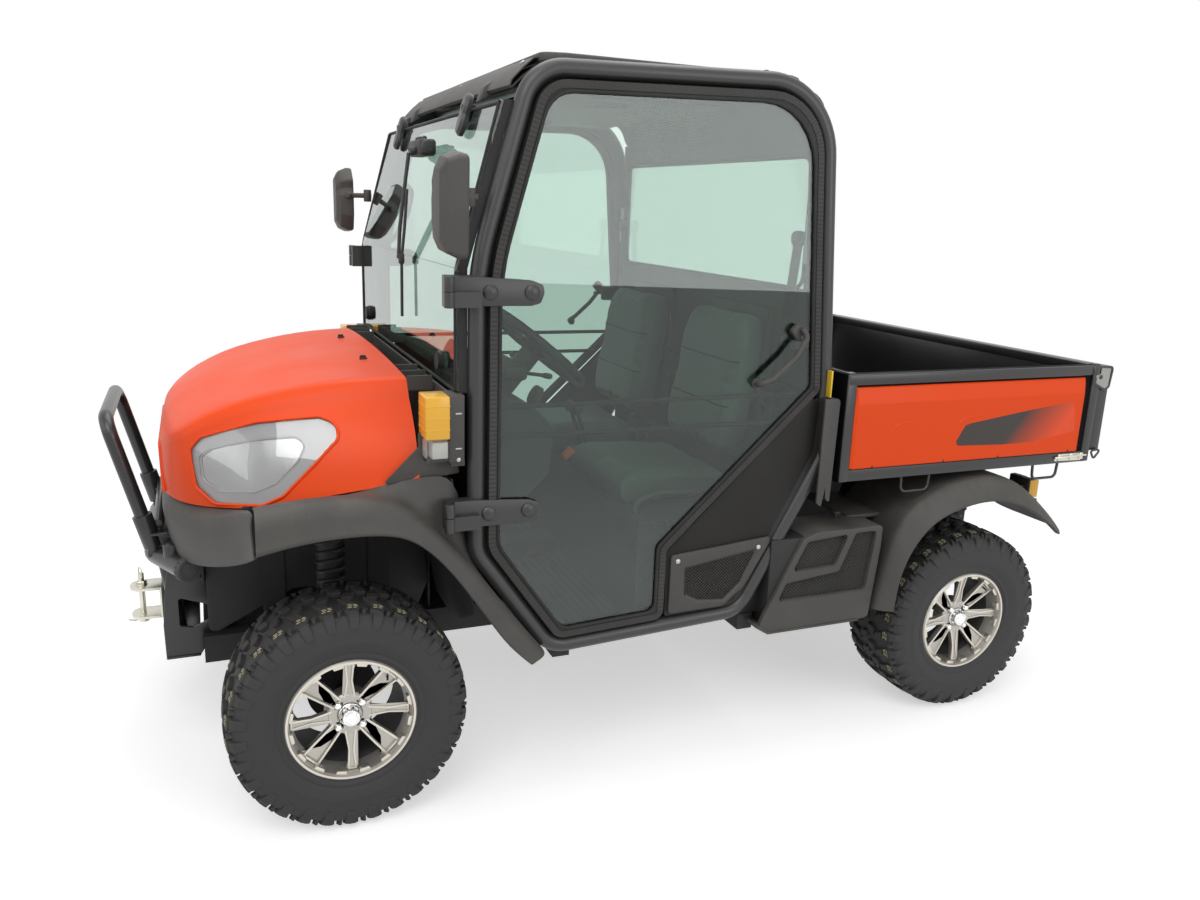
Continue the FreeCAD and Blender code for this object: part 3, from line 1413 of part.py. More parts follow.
def make_cowl():
    """Cowl between hood and windshield: hollow below, with air slots and the hood's hinge lugs."""
    front_half = hood_section_shares[-1][1] * hood_half_width
    body = Part.makeLoft([cowl_wire(cowl_front_y, front_half, cowl_top_z, 0, 0),
                          cowl_wire(cowl_rear_y, cowl_top_half, cowl_top_z, 0, 0)], True, True)
    pocket = Part.makeLoft([
        cowl_wire(cowl_front_y + cowl_wall, front_half, cowl_top_z, cowl_wall, overrun),
        cowl_wire(cowl_rear_y - cowl_wall, cowl_top_half, cowl_top_z, cowl_wall, overrun),
    ], True, True)
    body = body.cut(pocket)
    slots = []
    for i in range(cowl_slot_rows):
        for side in (-1, 1):
            x = side * (cowl_slot_pitch * 4 + i * cowl_slot_pitch)
            slots.append(block(x - cowl_slot_width / 2, x + cowl_slot_width / 2,
                               (cowl_front_y + cowl_rear_y - cowl_slot_length) / 2,
                               (cowl_front_y + cowl_rear_y + cowl_slot_length) / 2,
                               cowl_top_z - cowl_drop - cowl_wall * 2, cowl_top_z + overrun))
    body = body.cut(Part.makeCompound(slots))
    pieces = [body]
    inner = hood_hinge_x + hood_hinge_plate / 2 + seat_gap * 2
    for side in (-1, 1):
        x0, x1 = side * inner, side * (inner + hood_hinge_plate)
        lug = block(min(x0, x1), max(x0, x1), hood_hinge_y - hood_hinge_boss / 2,
                    cowl_front_y + cowl_wall / 2, hood_hinge_z - hood_hinge_boss,
                    hood_hinge_z - hood_hinge_boss / 4)
        head = rod(vec(x0, hood_hinge_y, hood_hinge_z), vec(x1, hood_hinge_y, hood_hinge_z),
                   hood_hinge_head)
        foot = block(min(x0, x1), max(x0, x1), cowl_front_y, cowl_front_y + cowl_wall,
                     cowl_bottom_z, hood_hinge_z - hood_hinge_boss / 2)
        pin = rod(vec(side * (hood_hinge_x - hood_hinge_plate), hood_hinge_y, hood_hinge_z),
                  vec(x1, hood_hinge_y, hood_hinge_z), hood_hinge_pin)
        pieces += [lug, head, foot, pin]
    return fused(pieces)


def make_floor_tub():
    """Floor pan, toe board, firewall and seat box as one pressed tub."""
    outer = [
        (toe_high_y - tub_wall, firewall_top_z), (toe_high_y, firewall_top_z),
        (toe_high_y, toe_high_z), (toe_low_y, tub_floor_z + tub_wall),
        (seat_base_front_y, tub_floor_z + tub_wall), (seat_base_front_y, seat_base_top_z),
        (seat_base_rear_y, seat_base_top_z), (seat_base_rear_y, tub_floor_z),
        (seat_base_rear_y - tub_wall, tub_floor_z),
        (seat_base_rear_y - tub_wall, seat_base_top_z - tub_wall),
        (seat_base_front_y + tub_wall, seat_base_top_z - tub_wall),
        (seat_base_front_y + tub_wall, tub_floor_z),
        (toe_low_y - tub_wall, tub_floor_z), (toe_high_y - tub_wall, toe_high_z - tub_wall),
    ]
    half = tub_half_width
    body = side_plate(outer, -half, half)
    walls = []
    for side in (-1, 1):
        x = side * (half - tub_wall / 2)
        walls.append(block(x - tub_wall / 2, x + tub_wall / 2, seat_base_front_y,
                           seat_base_rear_y, tub_floor_z, seat_base_top_z))
    console = block(-console_width / 2, console_width / 2, seat_base_front_y
                    - console_length + overrun, seat_base_front_y + tub_wall,
                    tub_floor_z, tub_floor_z + tub_wall + console_height)
    return fused([body] + walls + [console])


def make_side_panels():
    """Closing panels behind the doors, with the raised frames of the intake vents."""
    base = door_outline(0)
    hoop = inset(hoop_line(), cab_tube_r + seat_gap)
    gap = side_panel_gap
    points = [
        (cross_at(hoop[4], hoop[5], door_cut_top_z - gap * 3), door_cut_top_z - gap * 3),
        (hoop[5][0], hoop[5][1]), (hoop[6][0], hoop[6][1]),
        (door_step_y + gap * 2, base[7][1]), (door_step_y + gap, door_step_z - gap),
    ]
    x1 = cab_outer_x - side_panel_inset
    bend = cab_knee_bend - cab_tube_r
    panel = side_plate(points, x1 - side_panel_thickness, x1, [gap, bend, bend, gap, gap])
    return both_sides(panel)


def vent_points(border):
    points = [(vent_front_y, vent_bottom_z), (vent_rear_low_y, vent_bottom_z),
              (vent_rear_y, vent_top_z), (vent_front_y, vent_top_z - overrun)]
    return inset(points, border) if border else points


def make_vent_covers():
    """Meshed covers on the closing panels."""
    x0 = cab_outer_x - side_panel_inset + seat_gap
    body = side_plate(vent_points(0), x0, x0 + vent_thickness, vent_corner)
    pocket = side_plate(vent_points(vent_border), x0 + vent_mesh_depth, x0 + overrun,
                        vent_corner / 2)
    return both_sides(body.cut(pocket))


def make_side_boxes():
    """Step boxes between the cab and the rear wheels, hollow, with two meshed fields."""
    def outline(wall):
        points = [
            (side_box_front_y, side_box_low_z), (side_box_rear_y, side_box_low_z),
            (side_box_rear_y, side_box_high_z),
            (side_box_front_y + side_box_slope_y, side_box_high_z),
        ]
        return inset(points, wall) if wall else points
    x1 = side_box_outer_x
    x0 = x1 - side_box_depth
    body = side_plate(outline(0), x0, x1, side_box_wall)
    hollow = side_plate(outline(side_box_wall), x0 - overrun, x1 - side_box_wall)
    body = body.cut(hollow)
    field = side_plate(outline(side_box_border), x1 - side_box_mesh_depth / 3, x1 + overrun,
                       side_box_wall)
    bar_y = [side_box_front_y + s * (side_box_rear_y - side_box_front_y)
             for s in side_box_bar_share]
    half = side_box_bar_width / 2
    bar = side_plate([
        (bar_y[0] - half, side_box_low_z), (bar_y[0] + half, side_box_low_z),
        (bar_y[1] + half, side_box_high_z), (bar_y[1] - half, side_box_high_z),
    ], x1 - side_box_mesh_depth, x1 + overrun * 2)
    body = body.cut(field.cut(bar))
    tub = block(x0 - overrun, tub_half_width + seat_gap, side_box_front_y - overrun,
                seat_base_rear_y + seat_gap, side_box_low_z - overrun, side_box_high_z + overrun)
    return both_sides(body.cut(tub))


def make_rear_fenders():
    """Rear fenders: an arched skin from the bed's side out to a lip round the wheel."""
    length = rear_fender_rear_y - rear_fender_front_y
    height = rear_fender_high_z - rear_fender_low_z
    upper = spots(rear_fender_upper_shares, rear_fender_front_y, rear_fender_low_z, length, height)
    lower = spots(rear_fender_lower_shares, rear_fender_front_y, rear_fender_low_z, length, height)
    band = side_plate(upper + lower, rear_fender_inner_x, rear_fender_outer_x)
    mid = [(y, z - fender_wall) for y, z in upper]
    inner = [(upper[0][0] + fender_wall, upper[0][1] - overrun),
             (upper[1][0] + fender_wall, upper[1][1]),
             (upper[2][0] + fender_wall, upper[2][1] - fender_wall)] + mid[3:-1]
    inner += [(upper[-1][0] - fender_wall, upper[-1][1] - fender_wall),
              (upper[-1][0], upper[-1][1] - overrun * 2),
              (rear_axle_y, rear_fender_low_z - overrun)]
    pocket = side_plate(inner, rear_fender_inner_x - overrun, rear_fender_outer_x - fender_wall)
    body = band.cut(pocket)
    low = block(rear_fender_inner_x - overrun, rear_fender_lower_inner_x,
                rear_fender_front_y - overrun, rear_axle_y,
                rear_fender_low_z - overrun, side_box_high_z)
    body = body.cut(low)
    return both_sides(max(body.Solids, key=lambda s: s.Volume))


def make_dashboard():
    """Dash moulding with the instrument pod and an open glove tray."""
    points = spots(dash_shares, dash_front_y, dash_bottom_z, dash_rear_y - dash_front_y,
                   dash_top_z - dash_bottom_z)
    body = side_plate(points, -dash_half_width, dash_half_width, dash_corner)
    pod = side_plate([
        (dash_front_y + pod_length / 2, dash_top_z - overrun),
        (dash_front_y + pod_length / 2, dash_top_z + pod_height),
        (dash_front_y + pod_length, dash_top_z + pod_height * 0.8),
        (dash_front_y + pod_length * 1.5, dash_top_z - overrun),
    ], steering_x - pod_half_width, steering_x + pod_half_width, dash_corner / 2)
    tray_z = dash_bottom_z + (dash_top_z - dash_bottom_z) * 0.3
    tray = block(-steering_x - glove_width / 2, -steering_x + glove_width / 2,
                 dash_rear_y - glove_depth, dash_rear_y + overrun, tray_z, tray_z + glove_height)
    body = fused([body, pod]).cut(tray)
    column = column_shape(column_diameter + seat_gap * 2, 0)
    shaft = column_shape(steering_hub_diameter * 1.25, column_length * 0.25)
    return body.cut(column)


def column_axis():
    """Direction of the steering shaft from the foot up to the wheel."""
    tilt = math.radians(steering_tilt_deg)
    return vec(0, math.sin(tilt), math.cos(tilt))


def steering_centre():
    return vec(steering_x, steering_centre_y, steering_centre_z)


def column_shape(diameter, extra):
    """A cylinder along the column, ending short of the wheel's hub."""
    top = steering_centre() - column_axis() * (steering_hub_height / 2 + column_gap)
    return rod(top - column_axis() * column_length, top + column_axis() * extra
               + column_axis() * (seat_gap / 100), diameter)


def make_steering_column():
    """Column jacket with the shaft's stub that carries the wheel."""
    jacket = column_shape(column_diameter, 0)
    top = steering_centre() + column_axis() * (steering_hub_height * 0.25)
    shaft = rod(steering_centre() - column_axis() * column_length * 0.5, top,
                steering_shaft_diameter)
    return fused([jacket, shaft])


def make_steering_wheel():
    """Wheel with a round rim, three spokes and a hub on the shaft."""
    centre = steering_centre()
    axis = column_axis()
    ring = Part.makeTorus((steering_wheel_diameter - steering_rim_tube) / 2,
                          steering_rim_tube / 2, centre, axis)
    hub = rod(centre - axis * (steering_hub_height / 2), centre + axis * (steering_hub_height / 2),
              steering_hub_diameter)
    spokes = []
    reach = (steering_wheel_diameter - steering_rim_tube) / 2
    for angle in steering_spoke_degs:
        spoke = Part.makeBox(steering_spoke_width, reach, steering_spoke_thickness,
                             vec(-steering_spoke_width / 2, 0, -steering_spoke_thickness / 2))
        spoke.rotate(vec(0, 0, 0), vec(0, 0, 1), angle)
        spoke.rotate(vec(0, 0, 0), vec(1, 0, 0), -steering_tilt_deg)
        spoke.translate(centre)
        spokes.append(spoke)
    bore = rod(centre - axis * steering_hub_height, centre + axis * (steering_hub_height * 0.25
               + spindle_fit), steering_shaft_diameter + steering_shaft_fit * 2)
    return fused([ring, hub] + spokes).cut(bore)


def make_cushion(x):
    """One seat cushion."""
    z0 = seat_base_top_z + seat_gap
    return soft_block(x - seat_width / 2, x + seat_width / 2, cushion_front_y,
                      cushion_front_y + cushion_length, z0, z0 + cushion_height, seat_corner)


def make_seat_back(x):
    """One seat back, leaned against the bulkhead."""
    z0 = seat_base_top_z + cushion_height + seat_gap * 2
    lean = math.tan(math.radians(seat_back_lean_deg)) * seat_back_height
    rear = seat_back_rear_y
    body = side_plate([
        (rear - lean - seat_back_thickness, z0), (rear - lean, z0),
        (rear, z0 + seat_back_height), (rear - seat_back_thickness * 0.8, z0 + seat_back_height),
    ], x - seat_width / 2, x + seat_width / 2)
    return body.makeFillet(seat_corner, body.Edges)


def make_mirrors():
    """Door mirrors: a deep housing with its glass side to the rear and an arm to the pillar."""
    housing = soft_block(mirror_inner_x, mirror_inner_x + mirror_width, mirror_front_y,
                         mirror_front_y + mirror_depth, mirror_bottom_z,
                         mirror_bottom_z + mirror_height, mirror_corner)
    glass = block(mirror_inner_x + mirror_glass_border, mirror_inner_x + mirror_width
                  - mirror_glass_border, mirror_front_y + mirror_depth - mirror_glass_depth,
                  mirror_front_y + mirror_depth + overrun, mirror_bottom_z
                  + mirror_glass_border * 2, mirror_bottom_z + mirror_height
                  - mirror_glass_border * 2)
    housing = housing.cut(glass)
    y = mirror_front_y + mirror_depth / 2
    foot_y = hoop_front_y(mirror_arm_z)
    arm = rod(vec(mirror_inner_x + mirror_arm, y, mirror_arm_z),
              vec(cab_tube_x + cab_tube_r / 2, foot_y, mirror_arm_z), mirror_arm)
    line = [vec(cab_tube_x, yy, zz) for yy, zz in hoop_line()]
    tube = bent_tube(line, cab_tube + seat_gap * 2, hoop_bends(), True)
    arm = arm.cut(tube)
    arm = max(arm.Solids, key=lambda s: s.Volume)
    return both_sides(fused([housing, arm]))


def make_wiper():
    """Wiper motor inside at the top, its arm and blade in front of the pane."""
    near = cab_tube_r + windshield_seal_depth + seat_gap
    far = near + windshield_thickness
    z1 = windshield_top_z - windshield_seal_width * 2
    z0 = z1 - wiper_blade_length
    blade = side_plate(screen_profile(z0, z1, far + wiper_gap, far + wiper_gap
                                      + wiper_arm_thickness),
                       wiper_x - wiper_arm_width / 2, wiper_x + wiper_arm_width / 2)
    y = hoop_front_y(z1) - near + seat_gap
    motor = block(wiper_x - wiper_motor_length / 2, wiper_x + wiper_motor_length / 2,
                  y + windshield_seal_depth / 2, y + wiper_motor_depth,
                  windshield_top_z - windshield_seal_width - seat_gap - wiper_motor_height,
                  windshield_top_z - windshield_seal_width - seat_gap)
    return Part.makeCompound([blade, motor])


def make_engine():
    """Engine as one plain block, the gearbox behind it, the front drive case and the shaft."""
    engine = block(-engine_width / 2, engine_width / 2, engine_front_y,
                   engine_rear_y, engine_bottom_z, engine_bottom_z
                   + engine_height)
    gearbox = block(-gearbox_width / 2, gearbox_width / 2, rear_axle_y - gearbox_length / 2,
                    rear_axle_y + gearbox_length / 2, axle_z - gearbox_height / 2,
                    axle_z + gearbox_height / 2)
    return engine, gearbox


def make_powertrain():
    """Engine block, gearbox with rear axle cases, front drive case and propeller shaft."""
    engine, gearbox = make_engine()
    link = block(-gearbox_width / 3, gearbox_width / 3, engine_rear_y - overrun,
                 rear_axle_y - gearbox_length / 2 + overrun, axle_z + gearbox_height / 4,
                 axle_z + gearbox_height / 2)
    lower = block(-gearbox_width / 3, gearbox_width / 3, engine_rear_y - overrun * 3,
                  engine_rear_y, axle_z + gearbox_height / 4, engine_bottom_z + overrun)
    case_y = front_axle_y - front_case_length / 2
    case = block(-front_case_width / 2, front_case_width / 2, case_y, case_y + front_case_length,
                 rail_bottom_z + seat_gap, rail_bottom_z + front_case_height)
    shaft_z = rail_bottom_z + front_case_height / 2
    shaft = rod(vec(0, case_y + front_case_length - overrun, shaft_z),
                vec(0, engine_rear_y - overrun * 2, shaft_z), prop_shaft_diameter)
    return fused([engine, gearbox, link, lower, case, shaft])


def strut(top, foot, length):
    """A damper with its spring drawn as one plain sleeve."""
    way = foot - top
    way.normalize()
    start = top + way * strut_diameter
    return [rod(top, foot, strut_diameter), rod(start, start + way * length, spring_diameter)]


def wishbone(side, root_z, eye_low, eye_high):
    """An A-shaped arm of two tubes from its frame bushes to the eye round the knuckle's pin."""
    eye_z = (eye_low + eye_high) / 2
    pivot = vec(side * kingpin_x, front_axle_y, eye_z)
    pieces = [rod(vec(pivot.x, pivot.y, eye_low), vec(pivot.x, pivot.y, eye_high),
                  kingpin_diameter * 2)]
    for lean in (-1, 1):
        root = vec(side * (rail_x + rail_width / 2 + seat_gap + arm_tube_diameter / 2),
                   front_axle_y + lean * arm_spread, root_z)
        pieces.append(rod(root, pivot, arm_tube_diameter))
        pieces.append(rod(root - vec(0, arm_tube_diameter, 0),
                          root + vec(0, arm_tube_diameter, 0), arm_tube_diameter))
    bore = rod(vec(pivot.x, pivot.y, eye_low - overrun), vec(pivot.x, pivot.y, eye_high + overrun),
               kingpin_diameter + kingpin_fit * 2)
    return pieces, bore


def make_front_suspension():
    """Upper and lower wishbones with the struts between the lower arms and the frame."""
    sides = []
    low_root_z = rail_bottom_z + arm_tube_diameter / 2
    root_x = rail_x + rail_width / 2 + seat_gap + arm_tube_diameter / 2
    eye_top = knuckle_low_z - arm_eye_gap
    for side in (-1, 1):
        pieces, bore = wishbone(side, low_root_z, eye_top - arm_eye_height, eye_top)
        share = (strut_foot_x - root_x) / (kingpin_x - root_x)
        foot_z = low_root_z + (eye_top - arm_eye_height / 2 - low_root_z) * share
        spread = arm_spread * (1 - share)
        plate = block(side * strut_foot_x - arm_plate_width / 2,
                      side * strut_foot_x + arm_plate_width / 2,
                      front_axle_y - spread, front_axle_y + spread,
                      foot_z - arm_plate_thickness / 2, foot_z + arm_plate_thickness / 2)
        pieces.append(plate)
        foot = vec(side * strut_foot_x, front_axle_y, foot_z)
        top = vec(side * strut_top_x, front_axle_y, strut_top_z - strut_mount_height)
        mount = rod(top - vec(0, 0, strut_mount_height / 2),
                    vec(top.x, top.y, strut_top_z - seat_gap), spring_diameter)
        pieces += strut(top, foot, spring_length) + [mount]
        sides.append(fused(pieces).cut(bore))
        arm, bore = wishbone(side, upper_arm_root_z, knuckle_high_z + arm_eye_gap,
                             knuckle_high_z + arm_eye_gap + arm_eye_height)
        sides.append(fused(arm).cut(bore))
    return Part.makeCompound(sides)


def make_rear_suspension():
    """Trailing arms with the rear hubs' stubs, and the inclined shock absorbers."""
    sides = []
    for side in (-1, 1):
        x = side * rear_arm_x
        arm = block(x - rear_arm_thickness / 2, x + rear_arm_thickness / 2,
                    rear_axle_y - rear_arm_length, rear_axle_y + rear_hub_diameter / 2,
                    axle_z - rear_arm_height / 2, axle_z + rear_arm_height / 2)
        hub_face = wheel_x + rim_face_depth / 2
        hub = rod(vec(side * (rail_x + rail_width / 2), rear_axle_y, axle_z),
                  vec(side * (wheel_x - tyre_width / 2 + rim_face_inset), rear_axle_y, axle_z),
                  rear_hub_diameter)
        pieces = [arm, hub, stub(side, rear_axle_y, wheel_x - tyre_width / 2)]
        root = block(min(side * (rail_x + rail_width / 2 + seat_gap), x),
                     max(side * (rail_x + rail_width / 2 + seat_gap), x),
                     rear_axle_y - rear_arm_length, rear_axle_y - rear_arm_length
                     + rear_arm_height, axle_z - rear_arm_height / 2 + rail_height / 4,
                     axle_z + rear_arm_height / 2)
        pieces.append(root)
        sides.append(fused(pieces))
    return Part.makeCompound(sides)


def hub_plane_x():
    """Inner plane of the rims' wheel discs."""
    return wheel_x + tyre_width / 2 - rim_face_inset - rim_face_thickness * 2


def stub(side, y, from_x):
    """The stub axle that a wheel turns on."""
    return rod(vec(side * from_x, y, axle_z),
               vec(side * (hub_plane_x() + rim_face_thickness), y, axle_z), spindle_diameter)


def make_knuckle(side):
    """Upright with its ball pins, brake disc and stub axle."""
    x = side * kingpin_x
    body = block(x - upright_thickness / 2, x + upright_thickness / 2,
                 front_axle_y - upright_width / 2, front_axle_y + upright_width / 2,
                 axle_z - upright_height / 2, axle_z + upright_height / 2)
    disc_x = side * (kingpin_x + upright_thickness)
    disc = rod(vec(disc_x, front_axle_y, axle_z),
               vec(disc_x + side * brake_disc_thickness, front_axle_y, axle_z),
               brake_disc_diameter)
    axle = stub(side, front_axle_y, kingpin_x)
    pins = rod(vec(x, front_axle_y, knuckle_low_z - kingpin_length),
               vec(x, front_axle_y, knuckle_high_z + kingpin_length), kingpin_diameter)
    return fused([body, disc, axle, pins])


def tyre_profile():
    """Half section of the tyre's carcass as X and radius points."""
    half = tyre_width / 2
    crown = tyre_diameter / 2 - tread_depth
    bead = rim_flange_diameter / 2
    return [
        (-half * 0.86, bead - tread_depth), (-half * 0.86, bead + tread_depth),
        (-half * 0.98, (bead + crown) / 2), (-half * 0.90, crown - tread_depth * 1.5),
        (-half * 0.62, crown), (half * 0.62, crown), (half * 0.90, crown - tread_depth * 1.5),
        (half * 0.98, (bead + crown) / 2), (half * 0.86, bead + tread_depth),
        (half * 0.86, bead - tread_depth), (half * 0.62, bead - tread_depth),
        (half * 0.70, (bead + crown) / 2), (half * 0.55, crown - tread_depth * 1.6),
        (-half * 0.55, crown - tread_depth * 1.6), (-half * 0.70, (bead + crown) / 2),
        (-half * 0.62, bead - tread_depth),
    ]


def make_tyre(side, y):
    """Tyre with lugs round both shoulders."""
    centre = vec(side * wheel_x, y, axle_z)
    points = [vec(x, 0, r) for x, r in tyre_profile()]
    face = Part.Face(Part.makePolygon(points + [points[0]]))
    body = face.revolve(vec(0, 0, 0), vec(1, 0, 0), 360)
    half = tyre_width / 2
    top = tyre_diameter / 2
    lug = block(half - lug_reach, half * 0.96, -lug_width / 2, lug_width / 2,
                top - tread_depth * 2, top * 0.9985)
    lug = lug.cut(side_plate([(-lug_width, top - tread_depth * 0.9), (lug_width, top
                  - tread_depth * 0.9), (lug_width, top + overrun), (-lug_width, top + overrun)],
                  half * 0.86, half))
    lugs = []
    step = 360 / lug_count
    for i in range(lug_count):
        for turn, flip in ((0, 1), (0.5, -1)):
            piece = lug.copy()
            if flip < 0:
                piece = piece.mirror(vec(0, 0, 0), vec(1, 0, 0))
            piece.rotate(vec(0, 0, 0), vec(1, 0, 0), (i + turn) * step)
            lugs.append(piece)
    tyre = fused([body] + lugs)
    tyre.translate(centre)
    return tyre


def make_rim(side, y):
    """Alloy rim: a rolled barrel, paired spokes, hub with cap and nuts."""
    half = tyre_width / 2
    bead = rim_flange_diameter / 2
    inner_x = -half * 0.86
    outer_x = half * 0.86
    seat = bead - tread_depth - seat_gap
    barrel = [
        (inner_x - rim_wall, bead), (inner_x - seat_gap, bead), (inner_x - seat_gap, seat),
        (outer_x + seat_gap, seat), (outer_x + seat_gap, bead), (outer_x + rim_wall, bead),
        (outer_x + rim_wall, seat - rim_wall), (inner_x - rim_wall, seat - rim_wall),
    ]
    points = [vec(x, 0, r) for x, r in barrel]
    ring = Part.Face(Part.makePolygon(points + [points[0]])).revolve(
        vec(0, 0, 0), vec(1, 0, 0), 360)
    plane = hub_plane_x() - wheel_x
    face_x = plane + rim_face_thickness
    hub = rod(vec(plane, 0, 0), vec(face_x + rim_wall, 0, 0), hub_diameter)
    cap = rod(vec(face_x, 0, 0), vec(face_x + rim_wall + hub_cap_height, 0, 0), hub_cap_diameter)
    pieces = [ring, hub, cap]
    reach = seat - rim_wall / 2
    for i in range(spoke_pairs * 2):
        for lean in (-1, 1):
            angle = (i + 0.5) * 360 / (spoke_pairs * 2) + lean * spoke_split_deg / 2
            spoke = block(plane, face_x, -spoke_width / 4, spoke_width / 4, hub_diameter / 3, reach)
            spoke.rotate(vec(0, 0, 0), vec(1, 0, 0), angle)
            pieces.append(spoke)
    for i in range(spoke_pairs):
        angle = math.radians(i * 360 / spoke_pairs)
        y0 = math.cos(angle) * wheel_nut_circle / 2
        z0 = math.sin(angle) * wheel_nut_circle / 2
        pieces.append(rod(vec(face_x, y0, z0), vec(face_x + rim_wall + wheel_nut_height, y0, z0),
                          wheel_nut_diameter))
    bore = rod(vec(plane - overrun, 0, 0), vec(face_x + spindle_fit * 4, 0, 0),
               spindle_diameter + spindle_fit * 2)
    rim = fused(pieces).cut(bore)
    if side < 0:
        rim = mirrored(rim)
    rim.translate(vec(side * wheel_x, y, axle_z))
    return rim


def make_bed_box():
    """Load bed: floor, side and front walls, rails, corner posts, beams and pivot lugs."""
    half = bed_half_width
    outer = block(-half, half, bed_front_y, bed_rear_y, bed_bottom_z, bed_top_z)
    inner = block(-half + bed_wall, half - bed_wall, bed_front_y + bed_wall,
                  bed_rear_y + overrun, bed_floor_z, bed_top_z + overrun)
    body = outer.cut(inner)
    pieces = [body]
    for side in (-1, 1):
        x = side * half
        recess = block(min(x - side * bed_panel_lip, x + side * overrun),
                       max(x - side * bed_panel_lip, x + side * overrun),
                       bed_panel_front_y, bed_panel_rear_y, bed_panel_bottom_z, bed_panel_top_z)
        pieces[0] = pieces[0].cut(recess)
        lug_x = side * (rear_tower_x + rear_tower_width)
        lug = block(lug_x - bed_pivot_lug_width / 2, lug_x + bed_pivot_lug_width / 2,
                    bed_pivot_y - bed_pivot_lug_width, bed_pivot_y + bed_pivot_lug_width,
                    bed_pivot_z - bed_pivot_lug_width / 2, bed_bottom_z + overrun / 3)
        pieces.append(lug)
        pin = rod(vec(side * (rear_tower_x - bed_pivot_lug_width), bed_pivot_y, bed_pivot_z),
                  vec(lug_x, bed_pivot_y, bed_pivot_z),
                  bed_pivot_diameter - bed_pivot_fit * 2)
        pieces.append(pin)
        gate_x = side * (half - bed_panel_lip) * tailgate_hinge_share
        gate_y = tailgate_plane_y() + tailgate_thickness / 2
        reach = tailgate_hinge_length / 2 + seat_gap * 2
        for out in (-1, 1):
            x0, x1 = gate_x + out * reach, gate_x + out * (reach + tailgate_lug_length)
            pieces.append(rod(vec(x0, gate_y, tailgate_hinge_z), vec(x1, gate_y, tailgate_hinge_z),
                              tailgate_hinge_diameter))
            pieces.append(block(min(x0, x1), max(x0, x1), bed_rear_y - bed_wall, gate_y,
                                tailgate_hinge_z - tailgate_hinge_diameter / 2,
                                tailgate_hinge_z + tailgate_hinge_diameter / 2))
        pieces.append(rod(vec(gate_x - reach, gate_y, tailgate_hinge_z),
                          vec(gate_x + reach, gate_y, tailgate_hinge_z), tailgate_pin_diameter))
        eye_x = side * cylinder_foot_x
        for out in (-1, 1) if side > 0 else ():
            inner_x = eye_x + out * (eye_width / 2 + eye_lug_gap)
            far_x = inner_x + out * eye_lug_thickness
            ear = block(min(inner_x, far_x), max(inner_x, far_x), rod_eye_y - eye_diameter / 2,
                        rod_eye_y + eye_diameter / 2, rod_eye_z - eye_diameter / 3,
                        bed_bottom_z + overrun / 3)
            pieces.append(ear)
    pieces.append(rod(
        vec(eye_x - eye_width / 2 - eye_lug_gap - eye_lug_thickness, rod_eye_y, rod_eye_z),
        vec(eye_x + eye_width / 2 + eye_lug_gap + eye_lug_thickness, rod_eye_y, rod_eye_z),
        eye_pin_diameter))
    return fused(pieces)


def make_bed_side_panels():
    """Painted side panels with a bevelled upper band."""
    x = bed_half_width - bed_panel_lip + seat_gap
    gap = seat_gap
    face = x + bed_panel_thickness
    points = [
        (x, bed_panel_bottom_z + gap), (face, bed_panel_bottom_z + gap),
        (face, bed_panel_crease_z), (x + bed_panel_lip, bed_panel_top_z - gap),
        (x, bed_panel_top_z - gap),
    ]
    panel = front_plate(points, bed_panel_front_y + gap, bed_panel_rear_y - gap)
    return both_sides(panel)


def tailgate_plane_y():
    return bed_rear_y + tailgate_gap


def make_bed_fittings():
    """Rope hooks under the bed's sides and reflector frames at its rear corners."""
    pieces = []
    top = bed_bottom_z - seat_gap
    for y in (hook_front_y, hook_rear_y):
        hook = bent_tube([
            vec(hook_x, y, top), vec(hook_x, y, top - hook_drop),
            vec(hook_x, y + hook_width, top - hook_drop), vec(hook_x, y + hook_width, top),
        ], hook_wire, hook_bend)
        pieces.append(hook)
    both = pieces + [mirrored(p) for p in pieces]
    return Part.makeCompound(both)


def make_tailgate():
    """Tailgate: a pressed panel with a rim, ribs and hinge knuckles at its foot."""
    half = bed_half_width - bed_panel_lip
    y0 = tailgate_plane_y()
    y1 = y0 + tailgate_thickness
    z0 = tailgate_hinge_z + tailgate_foot_gap
    z1 = bed_top_z - tailgate_top_gap
    body = block(-half, half, y0, y1, z0, z1)
    field = (z1 - z0 - tailgate_rim * 2)
    pocket = block(-half + tailgate_rim, half - tailgate_rim, y0 + tailgate_skin, y1 + overrun,
                   z0 + tailgate_rim, z0 + tailgate_rim + field)
    ribs = []
    for x in (-half / 2, 0, half / 2):
        ribs.append(block(x - tailgate_rib_width / 2, x + tailgate_rib_width / 2, y0, y1,
                          z0 + tailgate_rim / 2, z1 - tailgate_rim / 2))
    axis_y = y0 + tailgate_thickness / 2
    knuckles = []
    for side in (-1, 1):
        x = side * half * tailgate_hinge_share
        foot = block(x - tailgate_hinge_length / 2, x + tailgate_hinge_length / 2,
                     axis_y - tailgate_hinge_diameter / 2, axis_y + tailgate_hinge_diameter / 2,
                     tailgate_hinge_z, z0 + tailgate_rim / 2)
        knuckles += [foot, rod(vec(x - tailgate_hinge_length / 2, axis_y, tailgate_hinge_z),
                               vec(x + tailgate_hinge_length / 2, axis_y, tailgate_hinge_z),
                               tailgate_hinge_diameter)]
    bore = rod(vec(-half, axis_y, tailgate_hinge_z), vec(half, axis_y, tailgate_hinge_z),
               tailgate_pin_diameter + tailgate_pin_fit * 2)
    return fused([body.cut(pocket)] + ribs + knuckles).cut(bore)


